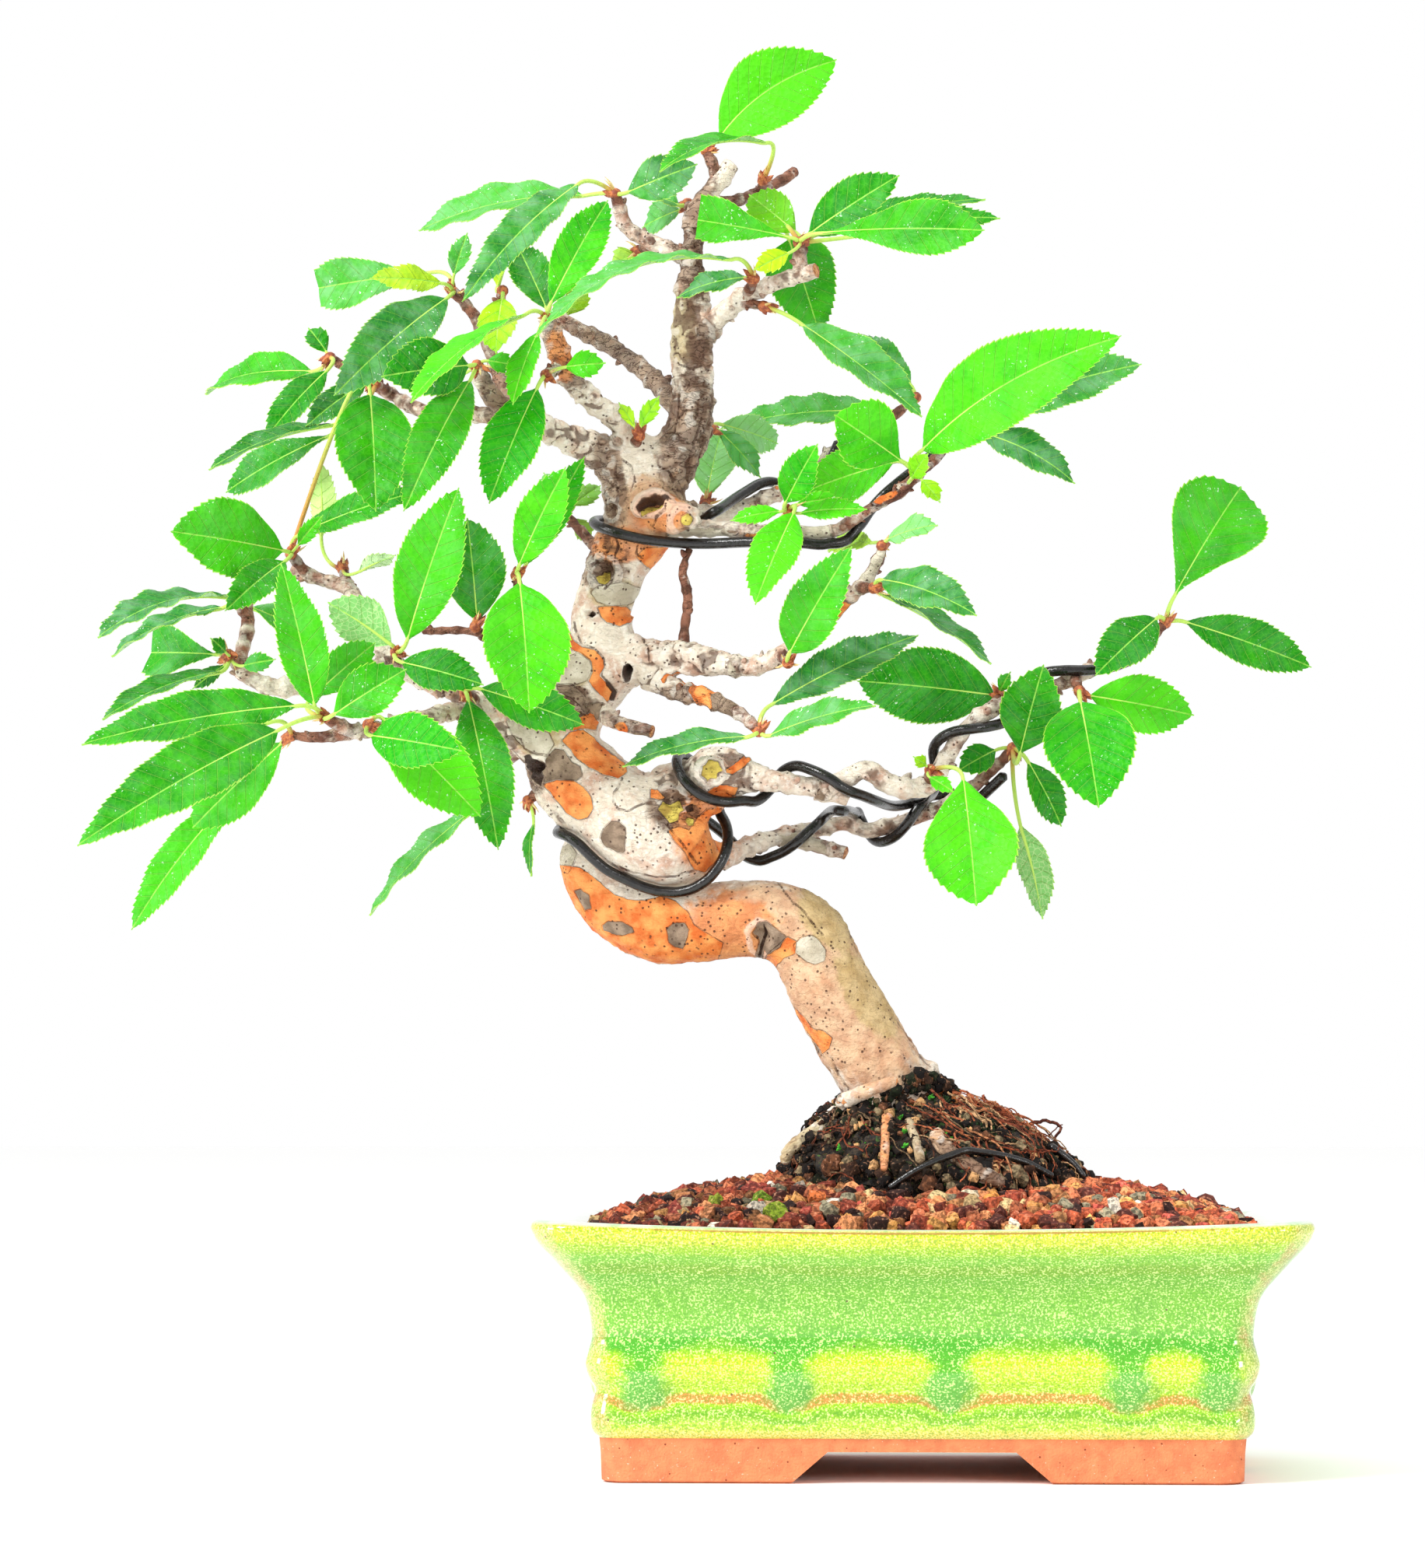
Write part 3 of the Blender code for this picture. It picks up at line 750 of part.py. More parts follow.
def root_ball_rings(slopes, sides):
    """Return the root ball's rings: upright in its well, then drawn in to the trunk's foot."""
    angles = np.arange(sides) * 2.0 * math.pi / sides
    rings = [(BALL_MIDDLE, BALL_HALF_LENGTH, BALL_HALF_DEPTH, height)
             for height in (BALL_BOTTOM, (BALL_BOTTOM + BALL_SHOULDER) / 2, BALL_SHOULDER)]
    for share in np.linspace(0.0, 1.0, slopes + 1)[1:]:
        rings.append((BALL_MIDDLE - 7.4 * share, BALL_HALF_LENGTH + (12.5 - BALL_HALF_LENGTH) * share,
                      BALL_HALF_DEPTH + (11.5 - BALL_HALF_DEPTH) * share,
                      BALL_SHOULDER + (BALL_TOP - BALL_SHOULDER) * share ** 0.6))
    points = []
    for middle, half_length, half_depth, height in rings:
        ridge = 0.97 + 0.03 * np.sin(angles * 6.0 + height * 0.35) * (height > BALL_SHOULDER)
        points.append(np.column_stack((middle + half_length * ridge * np.cos(angles),
                                       half_depth * ridge * np.sin(angles),
                                       np.full(sides, height))))
    return np.vstack(points), len(rings)


def make_wood():
    """Make the tree's wood: trunk, branches, roots and the matted root ball, grown as one piece."""
    points, rows = root_ball_rings(BALL_SLOPES, BALL_SIDES)
    wood = solid("trunk_and_branches", points, loft_faces(rows, BALL_SIDES), "bark")
    parts = []
    for name, limb in {**LIMBS, **ROOTS}.items():
        line = limb_line(limb)
        parts.append(tube(name, line[:, :3], bark_swell(line), limb.sides, "bark"))
    return apply_boolean(wood, parts, "UNION")


def axis_samples(limbs):
    """Return points close together on the limbs' axes, as their tubes run, with their radii."""
    samples = []
    for limb in limbs.values():
        line = limb_line(limb)
        ring = np.linspace(0, len(line) - 1, 12 * len(line))
        samples.append(np.column_stack([np.interp(ring, np.arange(len(line)), column)
                                        for column in line.T]))
    return np.vstack(samples)


def ball_samples():
    """Return points all over the root ball's flat faces and along its roots, with their radii."""
    skin, rows = root_ball_rings(BALL_SLOPES, BALL_SIDES)
    skin = skin.reshape(rows, BALL_SIDES, 3)
    shares = np.linspace(0.0, 1.0, 9)[:, None, None, None]
    skin = skin[None, :-1] * (1.0 - shares) + skin[None, 1:] * shares
    skin = skin.reshape(-1, BALL_SIDES, 3)
    skin = (skin[None] * (1.0 - shares) + np.roll(skin, -1, axis=1)[None] * shares).reshape(-1, 3)
    return np.vstack((np.column_stack((skin, np.zeros(len(skin)))), axis_samples(ROOTS)))


def laid_on_wood(place, samples, clearance):
    """Return where the eye's ray through a place first comes within a clearance of the wood.

    The ray is followed from the front, or from behind for a place marked back. Where it passes the
    wood by, the nearest point of the ray is taken. A place with a depth of its own lies there.
    """
    if not isinstance(place[2], str):
        return seen(place)[0]
    depths = np.arange(-60.0, 60.0, 0.25)
    if place[2] == "back":
        depths = depths[::-1]
    points = seen([(place[0], place[1], depth) for depth in depths])
    away = np.linalg.norm(points[:, None] - samples[None, :, :3], axis=2) - samples[None, :, 3]
    free = away.min(axis=1)
    close = np.flatnonzero(free < clearance)
    return points[close[0] - 1] if len(close) else points[int(np.argmin(free))]


def pushed_out(line, samples, clearance):
    """Return the line with each point that is too near the wood moved straight out of it."""
    away = np.linalg.norm(line[:, None] - samples[None, :, :3], axis=2) - samples[None, :, 3]
    outward = line - samples[np.argmin(away, axis=1), :3]
    outward /= np.maximum(np.linalg.norm(outward, axis=1, keepdims=True), 1e-6)
    return line + outward * np.clip(clearance - away.min(axis=1), 0.0, None)[:, None]


def wire_line(places, samples, clearance, spacing):
    """Return a wire's centre line: laid on the wood, smoothed and kept clear of it."""
    line = smooth_path([laid_on_wood(place, samples, clearance) for place in places], spacing)
    for _ in range(12):
        line = pushed_out(line, samples, clearance)
        line[1:-1] = 0.8 * line[1:-1] + 0.1 * (line[:-2] + line[2:])
    for _ in range(6):
        line = pushed_out(line, samples, clearance)
    return line


def make_wires():
    """Make the two training wires and the anchor wire's two visible stretches."""
    samples = axis_samples(LIMBS)
    for name, places in (("wire_lower", LOWER_WIRE), ("wire_upper", UPPER_WIRE)):
        line = wire_line(places, samples, WIRE_RADIUS + WIRE_CLEARANCE, 4.8)
        tube(name, line, np.full(len(line), WIRE_RADIUS), 5, "wire")
    samples = ball_samples()
    for name, places in (("wire_anchor_long", ANCHOR_LONG), ("wire_anchor_short", ANCHOR_SHORT)):
        line = wire_line(places, samples, ANCHOR_RADIUS + WIRE_CLEARANCE, 3.0)
        tube(name, line, np.full(len(line), ANCHOR_RADIUS), 5, "wire")


def leaf_axes(base, tip, roll):
    """Return a leaf's direction, its upper face's normal and its sideways direction."""
    along = unit(tip - base)
    to_eye = unit(np.array([0.0, -EYE_DISTANCE, EYE_HEIGHT]) - (base + tip) / 2)
    facing = unit(to_eye - along * float(to_eye @ along))
    upward = np.cross(facing, along)
    upward *= 1.0 if upward[2] >= 0.0 else -1.0
    normal = facing * math.cos(roll) + upward * math.sin(roll)
    return along, normal, np.cross(normal, along)


def blade_width(share, belly):
    """Return the blade's width at a share of its length, one at its belly: a skewed sine."""
    skew = math.log(0.5) / math.log(belly)
    return math.sin(math.pi * min(max(share, 0.0), 1.0) ** skew) ** 0.8


def blade_point(leaf, base, length, axes, share):
    """Return the centre line's point and its own normal at a share of the blade."""
    along, normal, side = axes
    arch = 4.0 * share * (1.0 - share)
    point = base + length * (along * share + normal * (leaf.bend * arch - leaf.curl * share ** 4)
                             + side * leaf.sweep * arch)
    slope = leaf.bend * 4.0 * (1.0 - 2.0 * share) - 4.0 * leaf.curl * share ** 3
    return point, unit(normal - along * slope)


def leaf_solid(name, hub, leaf, colour, depth):
    """Make a leaf as one closed solid: a four-sided stalk and a toothed, folded blade.

    The blade has a rib and two edges. Each edge runs from the foot of one tooth over its tip to the
    foot of the next. Both faces are split alike; they lie a blade's thickness apart at the rib and
    at the teeth's feet, and meet at the teeth's tips. depth is how far into the bud the stalk starts.
    """
    base, tip = seen((leaf.base, leaf.tip))
    axes = leaf_axes(base, tip, math.radians(leaf.roll))
    along, normal, side = axes
    length = float(np.linalg.norm(tip - base))
    teeth = int(np.searchsorted((9.0, 15.0, 30.0), length)) + 2
    half = BLADE_THICKNESS / 2
    points, faces = [], []

    hub = hub - unit(base - hub) * depth
    reach = float(np.linalg.norm(base - hub))
    bend_point = base - along * 0.45 * reach
    stalk = np.linspace(0.0, 1.0, (2, 3, 5)[int(np.searchsorted((7.0, 18.0), reach))])
    spine = [hub * (1 - t) ** 2 + bend_point * 2 * t * (1 - t) + base * t * t for t in stalk]
    cross, lift = side, normal
    sections = []
    chords = [unit(after - before) for before, after in zip(spine, spine[1:])]
    headings = [unit(a + b) for a, b in zip([chords[0]] + chords, chords + [chords[-1] + 0.5 * along])]
    for place, heading in zip(reversed(spine), reversed(headings)):
        cross = unit(cross - heading * float(cross @ heading))
        lift = unit(lift - heading * float(lift @ heading) - cross * float(lift @ cross))
        sections.insert(0, (place, cross, lift))
    for place, cross, lift in sections:
        points += [place - cross * STALK_HALF, place + lift * STALK_HALF, place + cross * STALK_HALF,
                   place - lift * STALK_HALF]
    for row in range(len(sections) - 1):
        for step in range(4):
            a, b = row * 4 + step, row * 4 + (step + 1) % 4
            faces += [(a, b, b + 4), (a, b + 4, a + 4)]
    faces.append((3, 2, 1, 0))

    def edge(share, hand, reach_out):
        middle, up = blade_point(leaf, base, length, axes, share)
        wide = leaf.wide / 2 * blade_width(share, leaf.belly) + reach_out
        fold = math.radians(leaf.fold)
        return middle + side * hand * wide * math.cos(fold) + up * wide * math.sin(fold), up

    start = (len(sections) - 1) * 4
    rib_top, rib_low = start + 1, start + 3
    feet = {-1: (start, start), 1: (start + 2, start + 2)}
    last = min(leaf.cut, 1.0)
    for tooth in range(teeth):
        share = last * (tooth + 1) / teeth
        tip_share = last * (tooth + 0.68) / teeth
        ends = tooth == teeth - 1 and leaf.cut >= 1.0
        middle, up = blade_point(leaf, base, length, axes, share)
        if ends:
            next_top = next_low = len(points)
            points.append(middle)
        else:
            next_top, next_low = len(points), len(points) + 1
            points += [middle + up * half, middle - up * half]
        for hand in (-1, 1):
            foot_top, foot_low = feet[hand]
            point = len(points)
            points.append(edge(tip_share, hand, TOOTH)[0])
            faces += [(rib_top, foot_top, point), (rib_top, point, next_top),
                      (rib_low, foot_low, point), (rib_low, point, next_low)]
            if foot_top != foot_low:
                faces.append((foot_top, foot_low, point))
            if ends:
                continue
            place, up = edge(share, hand, 0.0)
            new_top, new_low = len(points), len(points) + 1
            points += [place + up * half, place - up * half]
            faces += [(next_top, point, new_top), (next_low, point, new_low), (point, new_top, new_low)]
            feet[hand] = (new_top, new_low)
        rib_top, rib_low = next_top, next_low
    if leaf.cut < 1.0:
        for hand in (-1, 1):
            top, low = feet[hand]
            faces += [(rib_top, top, low), (rib_top, low, rib_low)]
    return solid(name, points, faces, colour)


def make_hub(name, place, colour):
    """Make a bud's small eight-sided core, which its leaves grow from."""
    work = bmesh.new()
    bmesh.ops.create_uvsphere(work, u_segments=4, v_segments=2, radius=HUB_RADIUS / 1000.0)
    mesh = bpy.data.meshes.new(name)
    work.to_mesh(mesh)
    work.free()
    mesh.transform(Matrix.Translation([value / 1000.0 for value in place]))
    mesh.materials.append(finish(colour))
    item = bpy.data.objects.new(name, mesh)
    bpy.context.scene.collection.objects.link(item)
    return item


def make_sprays():
    """Make every spray: its bud and its leaves, joined in one body."""
    for name, spray in SPRAYS.items():
        hub = seen(spray.hub)[0]
        core = make_hub(name, hub, spray.colour)
        leaves = [leaf_solid(f"{name}_leaf_{number}", hub, leaf, spray.colour, 0.1 + 0.13 * number)
                  for number, leaf in enumerate(spray.leaves)]
        apply_boolean(core, leaves, "UNION")


def solids():
    """Return every piece's object."""
    return [item for item in bpy.data.objects if item.type == "MESH"]


def shade_round_pieces():
    """Shade the pot, the wood and the wires smooth, except over their sharp edges."""
    for item in solids():
        if item.name.startswith(("pot", "trunk", "wire")):
            item.data.shade_smooth()
            item.data.set_sharp_from_angle(angle=math.radians(ROUND_ANGLE))


def stand_on_middle():
    """Move the whole so that its box stands on the origin, centred."""
    bpy.context.view_layer.update()
    items = solids()
    corners = np.array([item.matrix_world @ vertex.co for item in items for vertex in item.data.vertices])
    low, high = corners.min(axis=0), corners.max(axis=0)
    shift = ((low[0] + high[0]) / 2, (low[1] + high[1]) / 2, low[2])
    for item in items:
        item.location.x -= shift[0]
        item.location.y -= shift[1]
        item.location.z -= shift[2]


def main():
    """Build every piece in its place."""
    clear_scene()
    make_pot()
    make_screen("screen_left", -DRAIN_PLACE)
    make_screen("screen_right", DRAIN_PLACE)
    make_soil()
    make_wood()
    make_wires()
    make_sprays()
    shade_round_pieces()
    stand_on_middle()


main()
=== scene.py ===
"""The looks of a chinese quince bonsai in its green glazed rectangular pot.

Shapes are worked out in millimetres from the pot's middle, with +Z up. They become metres, in the
frame's own place, when a mesh is made. Places on the tree are given on the drawing board that the
solids use: across and down in board units, six to a millimetre, and the real depth behind the trunk's
plane. The eye that looks at the board is the camera.
"""
import logging
import math
from dataclasses import dataclass, field
from enum import Enum

import bpy
import numpy as np
from mathutils import Matrix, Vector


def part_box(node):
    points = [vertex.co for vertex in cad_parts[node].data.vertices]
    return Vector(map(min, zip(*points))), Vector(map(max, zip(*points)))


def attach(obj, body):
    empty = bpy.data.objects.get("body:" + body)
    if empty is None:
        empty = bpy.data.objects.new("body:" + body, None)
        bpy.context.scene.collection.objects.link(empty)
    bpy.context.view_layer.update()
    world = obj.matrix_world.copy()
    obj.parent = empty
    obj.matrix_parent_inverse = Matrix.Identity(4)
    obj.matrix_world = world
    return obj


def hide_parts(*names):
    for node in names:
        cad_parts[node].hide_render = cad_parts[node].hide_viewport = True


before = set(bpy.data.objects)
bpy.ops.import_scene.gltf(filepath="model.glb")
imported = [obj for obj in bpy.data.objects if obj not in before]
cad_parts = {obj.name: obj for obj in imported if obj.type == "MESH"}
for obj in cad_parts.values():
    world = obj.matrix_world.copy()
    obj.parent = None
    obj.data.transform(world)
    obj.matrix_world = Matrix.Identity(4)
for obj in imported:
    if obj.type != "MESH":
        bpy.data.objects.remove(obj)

LOG = logging.getLogger("bonsai")
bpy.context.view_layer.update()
# Millimetres in a metre, and a millimetre in metres
METRE = 1000.0
MILLIMETRE = 0.001
POT_BOX = np.array([list(corner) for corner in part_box("pot")]) * METRE
ORIGIN = np.array([*(POT_BOX[:, :2].mean(axis=0)), 0.0])

POT_LENGTH = 160.0
POT_DEPTH = 112.0
POT_HEIGHT = 54.0
POT_CORNER = 10.0
RIM_SAG = 1.9
FLOOR_TOP = 13.0
DRAIN_HOLE = 11.0
DRAIN_PLACE = 32.0
FOOT_WALL = 9.0
FOOT_CUT_HEIGHT = 6.5
FOOT_CUT_TOP = 38.5
FOOT_CUT_BOTTOM = 56.0
SIDE_CUT_TOP = 15.0
SIDE_CUT_BOTTOM = 24.0
SOIL_EDGE = 51.3
SOIL_HEAP = 9.5
BALL_MIDDLE = 2.7
BALL_HALF_LENGTH = 33.4
BALL_HALF_DEPTH = 26.8
BALL_BOTTOM = 44.0
BALL_SHOULDER = 60.0
BALL_TOP = 79.0
WIRE_RADIUS = 1.15
ANCHOR_RADIUS = 0.8
WIRE_CLEARANCE = 0.5
HUB_RADIUS = 1.7
GAP = 0.3
TWIG_STEP = 0.85

# The lights: place in metres from the pot's middle, side in metres and power in watts
LIGHTS = (
    ("key", (-1.0, -0.9, 1.2), 0.5, 24.0),
    ("left", (-1.2, -0.5, 0.4), 0.35, 6.0),
    ("right", (0.85, -1.1, 0.4), 0.3, 4.0),
    ("top", (0.1, 0.2, 1.5), 1.0, 4.0),
)
AIM_HEIGHT = 0.12
FLOOR_COLOUR = (0.985, 0.985, 0.98, 1.0)

BOARD_SCALE = 6.0
BOARD_MIDDLE = (916.0, 1008.0)
EYE_DISTANCE = 1060.0
EYE_HEIGHT = 80.2
EYE_TURN = math.radians(2.41)
EYE_LIFT = math.radians(3.55)
EYE = np.array([0.0, -EYE_DISTANCE, EYE_HEIGHT])
FORWARD = np.array([-math.sin(EYE_TURN) * math.cos(EYE_LIFT),
                    math.cos(EYE_TURN) * math.cos(EYE_LIFT), math.sin(EYE_LIFT)])
RIGHT = np.array([math.cos(EYE_TURN), math.sin(EYE_TURN), 0.0])
UPWARD = np.cross(RIGHT, FORWARD)

# Outer side of the pot, from the foot up: how far it stands in from the rim, and its height
POT_OUTSIDE = (
    (14.5, 0.0), (13.9, 6.0), (13.6, 9.1), (12.2, 10.6), (11.8, 13.3), (12.2, 16.2), (12.8, 19.0),
    (11.6, 21.2), (10.8, 24.0), (11.5, 27.2), (12.0, 30.5), (10.6, 37.8), (6.2, 43.6), (1.4, 49.0),
    (0.0, 51.8),
)
POT_INSIDE = (
    (0.9, 54.0), (7.6, 53.8), (11.6, 50.0), (16.4, 41.0), (18.6, 30.0), (20.0, 17.0), (23.0, FLOOR_TOP),
)
# Where the scalloped band dips round a drop of glaze, along the pot's long and short sides
LONG_DROPS = (-57.1, -27.0, 5.6, 42.3, 60.8)
SHORT_DROPS = (-30.0, -2.0, 28.0)
GROOVE_HEIGHT = 19.0
GROOVE_DIP = 3.6


@dataclass(frozen=True)
class Limb:
    """A stretch of wood: places on the board, each with its radius in board units."""

    path: tuple
    sides: int = 5
    spacing: float = 11.5
    bud: bool = False


@dataclass(frozen=True)
class Leaf:
    """A leaf's blade: where it starts and ends on the board, and how it is shaped.

    wide is its full width in millimetres. roll turns the upper face from facing the eye (0) to facing
    up (90) or away (180). bend arches the blade, sweep curves it sideways, curl turns its tip down and
    fold lifts its halves. belly is where it is widest, and cut is where a cut blade ends.
    """

    base: tuple
    tip: tuple
    wide: float
    roll: float = 15.0
    bend: float = 0.05
    sweep: float = 0.0
    curl: float = 0.0
    fold: float = 14.0
    belly: float = 0.5
    cut: float = 1.0


@dataclass(frozen=True)
class Spray:
    """The leaves of one bud, the bud's place on the board, and the leaves' colour."""

    hub: tuple
    leaves: tuple
    colour: str = "mature"


class BarkKind(Enum):
    """What a patch of bark shows: each is a field that the bark's finish reads."""

    ORANGE = "orange"
    TAUPE = "taupe"
    PLATE = "plate"
    SCAR = "scar"
    HOLLOW = "hollow"
    TAN = "tan"
    OLIVE = "olive"
    BROWN = "brown"
    WARM = "warm"


@dataclass(frozen=True)
class Patch:
    """A patch of bark with a crisp outline, in board places."""

    kind: BarkKind
    outline: tuple


@dataclass(frozen=True)
class Zone:
    """A part of the bark that shades into the rest: an ellipse on the board, turned in degrees."""

    kind: BarkKind
    across: float
    down: float
    half_across: float
    half_down: float
    turn: float = 0.0


